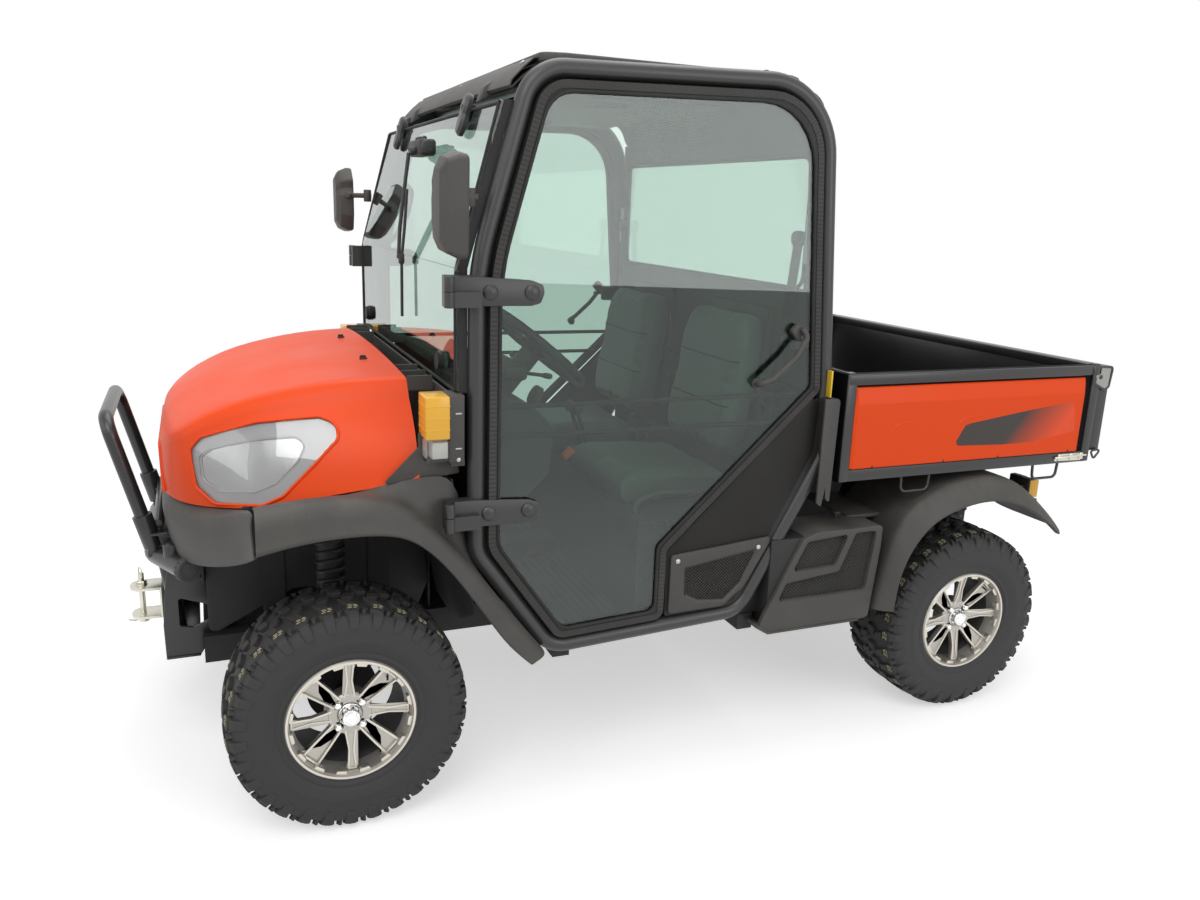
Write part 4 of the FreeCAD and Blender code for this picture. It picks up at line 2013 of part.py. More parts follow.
def make_tail_lamps():
    """Rear lamps on brackets under the bed."""
    lamp = block(tail_lamp_x - tail_lamp_width / 2, tail_lamp_x + tail_lamp_width / 2,
                 tail_lamp_y, tail_lamp_y + tail_lamp_depth, tail_lamp_z,
                 tail_lamp_z + tail_lamp_height)
    return both_sides(lamp)


def lift_axis():
    """Foot, rod eye and direction of the lift cylinder."""
    foot = vec(cylinder_foot_x, cylinder_foot_y, cylinder_foot_z)
    eye = vec(cylinder_foot_x, rod_eye_y, rod_eye_z)
    way = eye - foot
    size = way.Length
    way.normalize()
    return foot, eye, way, size


def make_lift_cylinder(side):
    """Cylinder barrel with its foot eye."""
    foot, eye, way, size = lift_axis()
    end = foot + way * (size * cylinder_share)
    neck = rod(foot, foot + way * eye_diameter, cylinder_neck_diameter)
    barrel = rod(foot + way * (eye_diameter * cylinder_neck_share), end, cylinder_diameter)
    half = vec(eye_width / 2, 0, 0)
    boss = rod(foot - half, foot + half, eye_diameter)
    bore = rod(foot - half * 2, foot + half * 2, foot_pin_diameter + rod_fit * 2)
    slide = rod(end - way * (size * cylinder_share * cylinder_bore_depth_share),
                end + way * overrun, rod_diameter + rod_fit * 2)
    body = fused([barrel, neck, boss]).cut(bore).cut(slide)
    return mirrored(body) if side < 0 else body


def make_lift_rod(side):
    """Piston rod with its eye."""
    foot, eye, way, size = lift_axis()
    start = foot + way * (size * cylinder_share * (1 - cylinder_bore_depth_share / 1.2))
    bar = rod(start, eye - way * (eye_diameter / 3), rod_diameter)
    half = vec(eye_width / 2, 0, 0)
    boss = rod(eye - half, eye + half, eye_diameter)
    bore = rod(eye - half * 2, eye + half * 2, eye_pin_diameter + eye_clearance * 2)
    body = fused([bar, boss]).cut(bore)
    return mirrored(body) if side < 0 else body


def write(name, shape):
    """One STEP file per piece."""
    shape.exportStep("parts/" + name + ".step")


def main():
    os.makedirs("parts", exist_ok=True)
    write("chassis_frame", make_chassis_frame())
    write("bull_bar", make_bull_bar())
    write("tow_clevis", make_tow_clevis())
    write("cab_frame", make_cab_frame())
    write("door_hinges", make_door_hinges())
    door, glass, fittings = make_door(), make_door_glass(), make_door_fittings()
    write("door_left", door)
    write("door_left_glass", glass)
    write("door_left_fittings", fittings)
    write("door_right", mirrored(door))
    write("door_right_glass", mirrored(glass))
    write("door_right_fittings", mirrored(fittings))
    write("windshield", make_windshield())
    write("windshield_frame", make_windshield_seal())
    write("rear_window", make_rear_window())
    write("rear_panel", make_rear_panel())
    write("roof", make_roof())
    write("hood", make_hood())
    write("hood_grille", make_hood_grille())
    write("headlamps", make_headlamps())
    write("front_apron", make_front_apron())
    write("front_fenders", make_front_fenders())
    write("turn_signals", make_turn_signals())
    write("cowl", make_cowl())
    write("floor_tub", make_floor_tub())
    write("side_panels", make_side_panels())
    write("vent_covers", make_vent_covers())
    write("side_boxes", make_side_boxes())
    write("rear_fenders", make_rear_fenders())
    write("dashboard", make_dashboard())
    write("steering_column", make_steering_column())
    write("steering_wheel", make_steering_wheel())
    write("driver_cushion", make_cushion(seat_x))
    write("passenger_cushion", make_cushion(-seat_x))
    write("driver_back", make_seat_back(seat_x))
    write("passenger_back", make_seat_back(-seat_x))
    write("mirrors", make_mirrors())
    write("wiper", make_wiper())
    write("powertrain", make_powertrain())
    write("front_suspension", make_front_suspension())
    write("rear_suspension", make_rear_suspension())
    write("knuckle_left", make_knuckle(1))
    write("knuckle_right", make_knuckle(-1))
    for name, side, y in (("front_left", 1, front_axle_y), ("front_right", -1, front_axle_y),
                          ("rear_left", 1, rear_axle_y), ("rear_right", -1, rear_axle_y)):
        write("tyre_" + name, make_tyre(side, y))
        write("rim_" + name, make_rim(side, y))
    write("bed_box", make_bed_box())
    write("bed_side_panels", make_bed_side_panels())
    write("bed_fittings", make_bed_fittings())
    write("tailgate", make_tailgate())
    write("tail_lamps", make_tail_lamps())
    write("lift_cylinder", make_lift_cylinder(1))
    write("lift_rod", make_lift_rod(1))


main()
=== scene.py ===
import sys
import json
import math

import bmesh
import bpy
from mathutils import Matrix, Vector
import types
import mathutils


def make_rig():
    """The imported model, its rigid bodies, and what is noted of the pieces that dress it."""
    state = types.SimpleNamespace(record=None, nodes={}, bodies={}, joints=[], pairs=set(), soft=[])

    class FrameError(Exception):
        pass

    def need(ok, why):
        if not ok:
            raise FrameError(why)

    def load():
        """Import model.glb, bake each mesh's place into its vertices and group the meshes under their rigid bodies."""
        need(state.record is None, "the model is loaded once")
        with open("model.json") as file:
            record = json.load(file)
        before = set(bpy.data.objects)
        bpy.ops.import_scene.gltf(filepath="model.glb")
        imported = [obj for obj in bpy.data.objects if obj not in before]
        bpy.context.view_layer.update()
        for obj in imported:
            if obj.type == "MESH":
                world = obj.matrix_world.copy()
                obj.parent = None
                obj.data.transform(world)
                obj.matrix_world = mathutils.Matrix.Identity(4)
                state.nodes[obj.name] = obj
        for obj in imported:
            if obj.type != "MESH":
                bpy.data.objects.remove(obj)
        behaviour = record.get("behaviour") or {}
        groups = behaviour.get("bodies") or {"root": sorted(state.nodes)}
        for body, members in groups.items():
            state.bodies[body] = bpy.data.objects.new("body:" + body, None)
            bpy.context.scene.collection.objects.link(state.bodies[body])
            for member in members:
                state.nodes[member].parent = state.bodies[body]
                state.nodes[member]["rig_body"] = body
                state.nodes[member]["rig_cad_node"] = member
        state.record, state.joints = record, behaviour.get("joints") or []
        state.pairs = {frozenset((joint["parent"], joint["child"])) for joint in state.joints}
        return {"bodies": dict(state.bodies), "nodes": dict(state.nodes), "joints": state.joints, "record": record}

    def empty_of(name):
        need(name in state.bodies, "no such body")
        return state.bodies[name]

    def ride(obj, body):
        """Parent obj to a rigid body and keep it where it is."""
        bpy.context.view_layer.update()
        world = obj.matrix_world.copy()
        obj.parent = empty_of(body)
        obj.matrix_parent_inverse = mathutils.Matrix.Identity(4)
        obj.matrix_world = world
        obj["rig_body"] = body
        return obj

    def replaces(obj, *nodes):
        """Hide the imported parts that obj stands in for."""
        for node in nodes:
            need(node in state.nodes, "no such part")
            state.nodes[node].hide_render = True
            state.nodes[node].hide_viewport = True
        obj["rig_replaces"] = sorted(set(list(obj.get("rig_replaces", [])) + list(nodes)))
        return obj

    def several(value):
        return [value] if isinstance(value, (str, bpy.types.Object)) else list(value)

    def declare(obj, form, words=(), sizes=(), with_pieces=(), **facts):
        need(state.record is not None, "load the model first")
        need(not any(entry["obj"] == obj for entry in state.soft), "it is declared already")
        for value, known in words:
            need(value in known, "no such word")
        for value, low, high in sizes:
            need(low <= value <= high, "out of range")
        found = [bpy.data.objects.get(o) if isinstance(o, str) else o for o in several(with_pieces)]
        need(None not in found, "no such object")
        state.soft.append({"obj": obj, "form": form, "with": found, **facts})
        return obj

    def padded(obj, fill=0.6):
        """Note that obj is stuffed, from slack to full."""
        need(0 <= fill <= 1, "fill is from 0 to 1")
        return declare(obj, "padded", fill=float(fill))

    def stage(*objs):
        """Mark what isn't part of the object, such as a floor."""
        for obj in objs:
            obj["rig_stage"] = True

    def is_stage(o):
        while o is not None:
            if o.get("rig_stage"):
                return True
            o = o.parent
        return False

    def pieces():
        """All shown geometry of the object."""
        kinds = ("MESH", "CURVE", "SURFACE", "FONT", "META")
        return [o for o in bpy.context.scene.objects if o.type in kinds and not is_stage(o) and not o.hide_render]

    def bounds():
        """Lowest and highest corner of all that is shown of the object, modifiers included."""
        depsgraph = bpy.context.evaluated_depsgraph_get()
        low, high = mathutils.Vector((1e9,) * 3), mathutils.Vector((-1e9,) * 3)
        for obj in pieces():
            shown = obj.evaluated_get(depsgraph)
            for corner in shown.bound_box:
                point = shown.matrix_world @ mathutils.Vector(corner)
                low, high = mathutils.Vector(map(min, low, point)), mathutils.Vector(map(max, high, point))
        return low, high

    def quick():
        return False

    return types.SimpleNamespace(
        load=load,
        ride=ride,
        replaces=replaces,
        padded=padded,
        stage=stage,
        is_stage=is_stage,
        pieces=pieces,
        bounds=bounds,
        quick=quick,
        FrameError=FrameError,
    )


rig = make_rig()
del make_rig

bl_info = {
    "name": "Side by Side Utility Vehicle",
    "version": (1, 0, 0),
    "blender": (4, 5, 0),
    "location": "3D View > Sidebar > Utility Vehicle",
    "description": "Builds the visible pieces of a side by side utility vehicle round its frame",
    "category": "Object",
}

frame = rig.load()
cad_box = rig.bounds()
NODES = frame["nodes"]

# Main places, in metres
HOOP = [(-0.4196, 0.445), (-0.6315, 0.745), (-0.6315, 1.480), (-0.4965, 1.960),
        (0.3505, 1.985), (0.4365, 0.942), (0.1808, 0.475)]
HOOP_BENDS = [0.09, 0.09, 0.70, 0.11, 0.20, 0.09, 0.09]
FRONT_AXLE = (0.615, -0.9625, 0.3175)
REAR_AXLE = (0.615, 1.0725, 0.3175)


# Settings

def colour(name, value, text):
    return bpy.props.FloatVectorProperty(name=name, description=text, default=value, size=4,
                                         min=0.0, max=1.0, subtype='COLOR')


def share(name, value, text):
    return bpy.props.FloatProperty(name=name, description=text, default=value, min=0.0, max=1.0,
                                   subtype='FACTOR')


def length(name, value, text):
    return bpy.props.FloatProperty(name=name, description=text, default=value, min=0.0,
                                   unit='LENGTH')


class UTV_PG_finish(bpy.types.PropertyGroup):
    paint: colour("Body paint", (0.86, 0.072, 0.006, 1.0), "Colour of the hood and bed panels")
    plastic: colour("Moulded plastic", (0.052, 0.049, 0.046, 1.0),
                    "Colour of fenders, fascia and cowl")
    steel: colour("Frame paint", (0.014, 0.014, 0.0145, 1.0), "Colour of tubes and brackets")
    rubber: colour("Tyre rubber", (0.022, 0.022, 0.021, 1.0), "Colour of tyres")
    glass: colour("Glass tint", (0.56, 0.69, 0.63, 1.0), "Tint of the cab's panes")
    seat: colour("Seat cover", (0.15, 0.16, 0.155, 1.0), "Colour of the seat covers")
    amber: colour("Amber lens", (0.80, 0.17, 0.005, 1.0), "Colour of the signal lenses")
    # This amount also scales the lighter upward faces, which on the moulded plastic are painted top light.
    dirt: share("Dirt And Top Light", 0.45, "Amount of dried specks and dust on outer surfaces")


class UTV_PG_wheels(bpy.types.PropertyGroup):
    tyre_radius: length("Tyre radius", 0.3165, "Outer radius of the tyres")
    tyre_width: length("Tyre width", 0.252, "Overall width of a tyre")
    rim_radius: length("Rim radius", 0.170, "Radius of the rim's outer flange")
    tread_height: length("Tread height", 0.0125, "Height of the tread blocks")
    pitches: bpy.props.IntProperty(name="Tread pitches", default=30, min=8, max=60,
                                   description="Repeats of the tread pattern round a tyre")
    spokes: bpy.props.IntProperty(name="Spokes", default=8, min=3, max=16,
                                  description="Number of rim spokes")


class UTV_PG_stage(bpy.types.PropertyGroup):
    camera_place: bpy.props.FloatVectorProperty(
        name="Camera", description="Place of the photograph's camera",
        default=(3.056, -1.2735, 1.636), subtype='TRANSLATION', unit='LENGTH')
    yaw: bpy.props.FloatProperty(name="Yaw", description="Camera's turn round the vehicle",
                                 default=math.radians(67.17), subtype='ANGLE', unit='ROTATION')
    pitch: bpy.props.FloatProperty(name="Pitch", description="Camera's look down",
                                   default=math.radians(13.84), subtype='ANGLE', unit='ROTATION')
    roll: bpy.props.FloatProperty(name="Roll", description="Camera's tilt",
                                  default=math.radians(2.06), subtype='ANGLE', unit='ROTATION')
    focal_share: bpy.props.FloatProperty(
        name="Focal share", description="Focal length as a share of the image width",
        default=0.8054, min=0.1, max=5.0)


# Shaping helpers

def spot(axis, u, v, w):
    """A point from its place in the plane across an axis and along that axis."""
    return {"X": (w, u, v), "Y": (u, w, v), "Z": (u, v, w)}[axis]


def clear():
    bpy.ops.object.select_all(action='DESELECT')


def pick(obj):
    """Makes one object the only thing that operators act on."""
    clear()
    obj.select_set(True)
    bpy.context.view_layer.objects.active = obj
    return obj


def rounded(points, radius, steps=6, closed=True):
    """The same path with arcs at its corners. Radius is one value or one for each point."""
    points = [Vector(p) for p in points]
    count = len(points)
    line = []
    for i, here in enumerate(points):
        size = radius[i] if isinstance(radius, (list, tuple)) else radius
        if size <= 0 or (not closed and i in (0, count - 1)):
            line.append(here)
            continue
        back = points[i - 1] - here
        ahead = points[(i + 1) % count] - here
        half = back.angle(ahead) / 2
        if half > 1.55:
            line.append(here)
            continue
        reach = min(size / math.tan(half), back.length * 0.49, ahead.length * 0.49)
        size = reach * math.tan(half)
        back.normalize()
        ahead.normalize()
        centre = here + (back + ahead).normalized() * (size / math.sin(half))
        start, end = here + back * reach - centre, here + ahead * reach - centre
        turn = start.angle(end)
        for k in range(steps + 1):
            t = k / steps
            line.append(centre + (start * math.sin((1 - t) * turn) + end * math.sin(t * turn))
                        / math.sin(turn))
    return line


def settle(obj):
    """Puts an object's place, turn and size into its mesh."""
    pick(obj)
    bpy.ops.object.transform_apply(location=True, rotation=True, scale=True)
    return obj


def modify(obj, kind, **values):
    """Adds a modifier and applies it."""
    pick(obj)
    mod = obj.modifiers.new(kind.title(), kind)
    for key, value in values.items():
        setattr(mod, key, value)
    bpy.ops.object.modifier_apply(modifier=mod.name)
    return obj


def bevelled(obj, width, segments=2, angle=30):
    return modify(obj, 'BEVEL', width=width, segments=segments, limit_method='ANGLE',
                  angle_limit=math.radians(angle), harden_normals=False)


def smoothed(obj, levels=2):
    return modify(obj, 'SUBSURF', levels=levels, render_levels=levels)


def thick(obj, wall, offset=-1.0):
    return modify(obj, 'SOLIDIFY', thickness=wall, offset=offset, use_even_offset=True)


def cut(obj, tool):
    """Takes one shape out of another and removes the tool."""
    modify(obj, 'BOOLEAN', object=tool, operation='DIFFERENCE', solver='EXACT')
    bpy.data.objects.remove(tool)
    return obj


def edit(obj, *steps):
    """Runs mesh operators in edit mode on all of an object."""
    pick(obj)
    bpy.ops.object.mode_set(mode='EDIT')
    bpy.ops.mesh.select_all(action='SELECT')
    for step in steps:
        step()
    bpy.ops.object.mode_set(mode='OBJECT')
    return obj


def outward(obj):
    """Merged, with its faces turned outwards."""
    return edit(obj, lambda: bpy.ops.mesh.remove_doubles(threshold=1e-5),
                lambda: bpy.ops.mesh.dissolve_degenerate(threshold=1e-6),
                lambda: bpy.ops.mesh.delete_loose(),
                lambda: bpy.ops.mesh.select_all(action='SELECT'),
                lambda: bpy.ops.mesh.normals_make_consistent(inside=False))


def block(low, high, bevel=0.0, segments=2):
    """A box between two corners with softened edges."""
    clear()
    low, high = Vector(low), Vector(high)
    bpy.ops.mesh.primitive_cube_add(size=1, location=(low + high) / 2)
    obj = bpy.context.object
    obj.scale = high - low
    settle(obj)
    if bevel:
        edit(obj, lambda: bpy.ops.mesh.bevel(offset=bevel, segments=segments, affect='EDGES'))
    return obj


def plate(points, axis, low, high, corner=0.0, edge=0.0, segments=2, steps=5):
    """An outline across an axis, rounded at its corners and extruded between two levels."""
    line = rounded(points, corner, steps) if corner else [Vector(p) for p in points]
    clear()
    bpy.ops.mesh.primitive_circle_add(vertices=len(line), fill_type='NGON')
    obj = bpy.context.object
    for vertex, (u, v) in zip(obj.data.vertices, line):
        vertex.co = spot(axis, u, v, low)
    way = spot(axis, 0, 0, high - low)
    edit(obj, lambda: bpy.ops.mesh.extrude_region_move(TRANSFORM_OT_translate={"value": way}),
         lambda: bpy.ops.mesh.select_all(action='SELECT'),
         lambda: bpy.ops.mesh.normals_make_consistent(inside=False))
    if edge:
        bevelled(obj, edge, segments)
    return obj


def tube(points, radius, bend=0.0, closed=False, sides=6, steps=7):
    """A round bar along straight runs and bends."""
    line = rounded(points, bend, steps, closed)
    clear()
    bpy.ops.curve.primitive_nurbs_path_add(radius=1)
    obj = bpy.context.object
    curve = obj.data
    curve.splines.clear()
    spline = curve.splines.new('POLY')
    spline.points.add(len(line) - 1)
    for point, place in zip(spline.points, line):
        point.co = (*place, 1.0)
    spline.use_cyclic_u = closed
    curve.dimensions = '3D'
    curve.bevel_depth = radius
    curve.bevel_resolution = sides
    curve.use_fill_caps = True
    pick(obj)
    bpy.ops.object.convert(target='MESH')
    return outward(bpy.context.object)


def lathe(profile, centre=(0, 0, 0), axis=(1, 0, 0), steps=48):
    """A half section, as places along the axis and radii, spun all the way round."""
    clear()
    bpy.ops.mesh.primitive_circle_add(vertices=len(profile), fill_type='NOTHING')
    obj = bpy.context.object
    for vertex, (along, radius) in zip(obj.data.vertices, profile):
        vertex.co = (along, radius, 0)
    edit(obj, lambda: bpy.ops.mesh.spin(steps=steps, angle=math.tau, center=(0, 0, 0),
                                        axis=(1, 0, 0)))
    outward(obj)
    turn = Vector((1, 0, 0)).rotation_difference(Vector(axis)).to_matrix().to_4x4()
    obj.data.transform(Matrix.Translation(centre) @ turn)
    return obj


def rod(start, end, radius, bevel=0.0, steps=24):
    """A round bar with softened ends."""
    start, end = Vector(start), Vector(end)
    reach = (end - start).length
    b = min(bevel, radius * 0.9)
    half = [(0, 0), (0, radius - b), (b * 0.3, radius - b * 0.3), (b, radius)] if b else [
        (0, 0), (0, radius)]
    rest = [(reach - a, r) for a, r in reversed(half)]
    return lathe(half + rest, start, end - start, steps)


def dome(base, way, radius, height, steps=20):
    """A round head standing on a surface."""
    line = [(0, 0), (0, radius), (height * 0.45, radius), (height * 0.8, radius * 0.8),
            (height * 0.97, radius * 0.4), (height, 0)]
    return lathe(line, base, way, steps)


def sheet(rows):
    """A surface through rows of points, all rows equally long."""
    clear()
    across, along = len(rows[0]), len(rows)
    bpy.ops.mesh.primitive_grid_add(x_subdivisions=across - 1, y_subdivisions=along - 1)
    obj = bpy.context.object
    flat = [p for row in rows for p in row]
    if len(obj.data.vertices) != len(flat):
        raise RuntimeError("grid size")
    for vertex, point in zip(obj.data.vertices, flat):
        vertex.co = point
    return obj


def mirror(obj):
    """Adds the same shape on the vehicle's right side."""
    return modify(obj, 'MIRROR', use_axis=(True, False, False), use_mirror_merge=True,
                  merge_threshold=1e-5)


def reflected(obj):
    """The piece itself, moved to the vehicle's other side."""
    for vertex in obj.data.vertices:
        vertex.co.x = -vertex.co.x
    return edit(obj, lambda: bpy.ops.mesh.flip_normals())


def flipped(obj):
    """A copy of a piece for the vehicle's right side."""
    pick(obj)
    bpy.ops.object.duplicate()
    return reflected(bpy.context.object)


def copied(obj, matrix):
    """A copy of a piece, moved by a matrix."""
    pick(obj)
    bpy.ops.object.duplicate()
    twin = bpy.context.object
    twin.data.transform(matrix)
    return twin


def joined(pieces):
    """One object from several."""
    clear()
    for piece in pieces:
        piece.select_set(True)
    bpy.context.view_layer.objects.active = pieces[0]
    bpy.ops.object.join()
    return bpy.context.object


def pair(obj):
    """A piece and its copy on the vehicle's right side, as one object."""
    return joined([obj, flipped(obj)])


def finish(obj, name, body, material, *nodes, angle=35):
    """Names a piece, dresses it, and lets it ride on its body."""
    settle(obj)
    if angle:
        bpy.ops.object.shade_smooth_by_angle(angle=math.radians(angle))
    obj.name = name
    obj.data.name = name
    obj.data.materials.clear()
    obj.data.materials.append(finish_of(material))
    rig.ride(obj, body)
    if nodes:
        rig.replaces(obj, *nodes)
    return obj


def finish_pairs(body, rows):
    """Finishes rows of left piece, name, material and replaced nodes, each with its right copy."""
    for piece, name, material, nodes in rows:
        finish(pair(piece), name, body, material, *nodes)


def on_skin(obj, y, z, lift=0.0, start=1.2):
    """The point of an object's left side at a place in side view, lifted off the surface."""
    hit, place, normal, _ = obj.ray_cast(Vector((start, y, z)), Vector((-1, 0, 0)))
    if not hit:
        raise RuntimeError("nothing at %.3f %.3f" % (y, z))
    if normal.x < 0:
        normal = -normal
    return place + normal * lift


# Materials

def add(tree, kind, sockets=None, **settings):
    """A shader node with its settings, and values or links for its sockets."""
    node = tree.nodes.new("ShaderNode" + kind)
    for key, value in settings.items():
        setattr(node, key, value)
    for key, value in (sockets or {}).items():
        if isinstance(value, bpy.types.NodeSocket):
            tree.links.new(value, node.inputs[key])
        else:
            node.inputs[key].default_value = value
    return node


def effect(name, inputs, outputs):
    """An empty node group with named float inputs and outputs."""
    tree = bpy.data.node_groups.new(name, 'ShaderNodeTree')
    for key, value in inputs:
        socket = tree.interface.new_socket(name=key, in_out='INPUT', socket_type='NodeSocketFloat')
        socket.default_value = value
    for key in outputs:
        tree.interface.new_socket(name=key, in_out='OUTPUT', socket_type='NodeSocketFloat')
    return tree, tree.nodes.new('NodeGroupInput').outputs, tree.nodes.new('NodeGroupOutput').inputs


def build_effects():
    """Groups that several finishes share."""
    tree, given, out = effect("Fine Grain", [("Scale", 400.0), ("Detail", 3.0)],
                              ["Height", "Tone"])
    place = add(tree, "TexCoord").outputs["Object"]
    fine = add(tree, "TexNoise", {"Vector": place, "Scale": given["Scale"],
                                  "Detail": given["Detail"], "Roughness": 0.6})
    wide = add(tree, "TexNoise", {"Vector": place, "Scale": 4.0, "Detail": 5.0,
                                  "Roughness": 0.55})
    tree.links.new(fine.outputs["Fac"], out["Height"])
    tree.links.new(wide.outputs["Fac"], out["Tone"])

    tree, given, out = effect("Dried Specks", [("Scale", 60.0), ("Size", 0.12), ("Amount", 0.5)],
                              ["Mask"])
    place = add(tree, "TexCoord").outputs["Object"]
    cells = add(tree, "TexVoronoi", {"Vector": place, "Scale": given["Scale"],
                                     "Randomness": 1.0}, feature='F1')
    parts = add(tree, "SeparateColor", {"Color": cells.outputs["Color"]})
    size = add(tree, "Math", {0: parts.outputs[0], 1: given["Size"]}, operation='MULTIPLY')
    inside = add(tree, "Math", {0: cells.outputs["Distance"], 1: size.outputs[0]},
                 operation='LESS_THAN')
    chosen = add(tree, "Math", {0: parts.outputs[1], 1: given["Amount"]}, operation='LESS_THAN')
    both = add(tree, "Math", {0: inside.outputs[0], 1: chosen.outputs[0]}, operation='MULTIPLY')
    tree.links.new(both.outputs[0], out["Mask"])

    # Lighter colour on upward faces: settled dust, and on the moulded plastic also painted top light.
    tree, given, out = effect("Settled Dust", [("Amount", 0.3), ("Patch", 7.0)], ["Mask"])
    place = add(tree, "TexCoord").outputs["Object"]
    face = add(tree, "SeparateXYZ", {"Vector": add(tree, "NewGeometry").outputs["Normal"]})
    up = add(tree, "MapRange", {"Value": face.outputs["Z"], "From Min": 0.1, "From Max": 1.0,
                                "To Min": 0.25, "To Max": 1.0}, clamp=True)
    cloud = add(tree, "TexNoise", {"Vector": place, "Scale": given["Patch"], "Detail": 6.0,
                                   "Roughness": 0.65})
    patch = add(tree, "MapRange", {"Value": cloud.outputs["Fac"], "From Min": 0.4,
                                   "From Max": 0.75, "To Min": 0.15, "To Max": 1.0}, clamp=True)
    mixed = add(tree, "Math", {0: up.outputs[0], 1: patch.outputs[0]}, operation='MULTIPLY')
    scaled = add(tree, "Math", {0: mixed.outputs[0], 1: given["Amount"]}, operation='MULTIPLY')
    tree.links.new(scaled.outputs[0], out["Mask"])

    tree, given, out = effect("Brushed Lines", [("Scale", 900.0), ("Stretch", 0.02)],
                              ["Height", "Tone"])
    place = add(tree, "TexCoord").outputs["Object"]
    squeezed = add(tree, "VectorMath", {0: place}, operation='MULTIPLY')
    along = add(tree, "CombineXYZ", {"X": 1.0, "Y": given["Stretch"], "Z": 1.0})
    tree.links.new(along.outputs[0], squeezed.inputs[1])
    lines = add(tree, "TexNoise", {"Vector": squeezed.outputs[0], "Scale": given["Scale"],
                                   "Detail": 2.0})
    tree.links.new(lines.outputs["Fac"], out["Height"])
    tone = add(tree, "TexNoise", {"Vector": place, "Scale": 18.0, "Detail": 4.0})
    tree.links.new(tone.outputs["Fac"], out["Tone"])


def grouped(tree, name, **values):
    node = tree.nodes.new("ShaderNodeGroup")
    node.node_tree = bpy.data.node_groups[name]
    for key, value in values.items():
        node.inputs[key].default_value = value
    return node.outputs


def mixed_colour(tree, factor, a, b):
    node = add(tree, "Mix", data_type='RGBA')
    for socket, value in ((node.inputs[0], factor), (node.inputs[6], a), (node.inputs[7], b)):
        if isinstance(value, bpy.types.NodeSocket):
            tree.links.new(value, socket)
        else:
            socket.default_value = value
    return node.outputs[2]


def shaded(value, factor):
    return tuple(min(1.0, c * factor) for c in value[:3]) + (1.0,)


def surface(name, base, rough, metallic=0.0, coat=0.0, coat_rough=0.12, grain=400.0,
            bump=0.1, depth=0.0004, tone=0.12, specks=0.0, speck_scale=55.0, speck_size=0.16,
            speck_colour=(0.02, 0.018, 0.015, 1.0), dust=0.0, dust_colour=(0.22, 0.20, 0.17, 1.0),
            brushed=False, specular=0.5):
    """A finish with uneven tone, fine grain, dried specks, and settled dust on upward faces, which on the moulded
    plastic is also painted top light.
    """
    material = bpy.data.materials.new(name)
    material.use_nodes = True
    tree = material.node_tree
    shader = tree.nodes["Principled BSDF"]
    grain_out = grouped(tree, "Brushed Lines" if brushed else "Fine Grain", Scale=grain)
    colour_out = mixed_colour(tree, grain_out["Tone"], shaded(base, 1 - tone),
                              shaded(base, 1 + tone))
    rough_out = add(tree, "MapRange", {"Value": grain_out["Tone"], "From Min": 0.3,
                                       "From Max": 0.7, "To Min": rough * 0.88,
                                       "To Max": min(1.0, rough * 1.12)}).outputs[0]
    # Upward faces take the dust colour: real dust, and on the moulded plastic also painted top light.
    if dust:
        mask = grouped(tree, "Settled Dust", Amount=dust)["Mask"]
        colour_out = mixed_colour(tree, mask, colour_out, dust_colour)
        dusty = add(tree, "Mix", {0: mask, 2: rough_out, 3: 0.85})
        rough_out = dusty.outputs[0]
    if specks:
        mask = grouped(tree, "Dried Specks", Scale=speck_scale, Size=speck_size,
                       Amount=specks)["Mask"]
        colour_out = mixed_colour(tree, mask, colour_out, speck_colour)
    tree.links.new(colour_out, shader.inputs["Base Color"])
    tree.links.new(rough_out, shader.inputs["Roughness"])
    if bump:
        relief = add(tree, "Bump", {"Height": grain_out["Height"], "Strength": bump,
                                    "Distance": depth})
        tree.links.new(relief.outputs[0], shader.inputs["Normal"])
    shader.inputs["Metallic"].default_value = metallic
    shader.inputs["Coat Weight"].default_value = coat
    shader.inputs["Coat Roughness"].default_value = coat_rough
    shader.inputs["Specular IOR Level"].default_value = specular
    return material


def glass(name, tint, rough=0.0, ior=1.45):
    """Clear or tinted glass that lets light through to what is behind it."""
    material = bpy.data.materials.new(name)
    material.use_nodes = True
    tree = material.node_tree
    shader = tree.nodes["Principled BSDF"]
    tone = grouped(tree, "Fine Grain", Scale=30.0)["Tone"]
    tree.links.new(mixed_colour(tree, tone, shaded(tint, 0.985), shaded(tint, 1.015)),
                   shader.inputs["Base Color"])
    shader.inputs["Roughness"].default_value = rough
    shader.inputs["IOR"].default_value = ior
    shader.inputs["Transmission Weight"].default_value = 1.0
    clear_shader = add(tree, "BsdfTransparent", {"Color": shaded(tint, 1.0)})
    path = add(tree, "LightPath").outputs
    either = add(tree, "Math", {0: path["Is Shadow Ray"], 1: path["Is Diffuse Ray"]},
                 operation='MAXIMUM')
    blend = add(tree, "MixShader", {0: either.outputs[0]})
    tree.links.new(shader.outputs[0], blend.inputs[1])
    tree.links.new(clear_shader.outputs[0], blend.inputs[2])
    tree.links.new(blend.outputs[0], tree.nodes["Material Output"].inputs["Surface"])
    return material


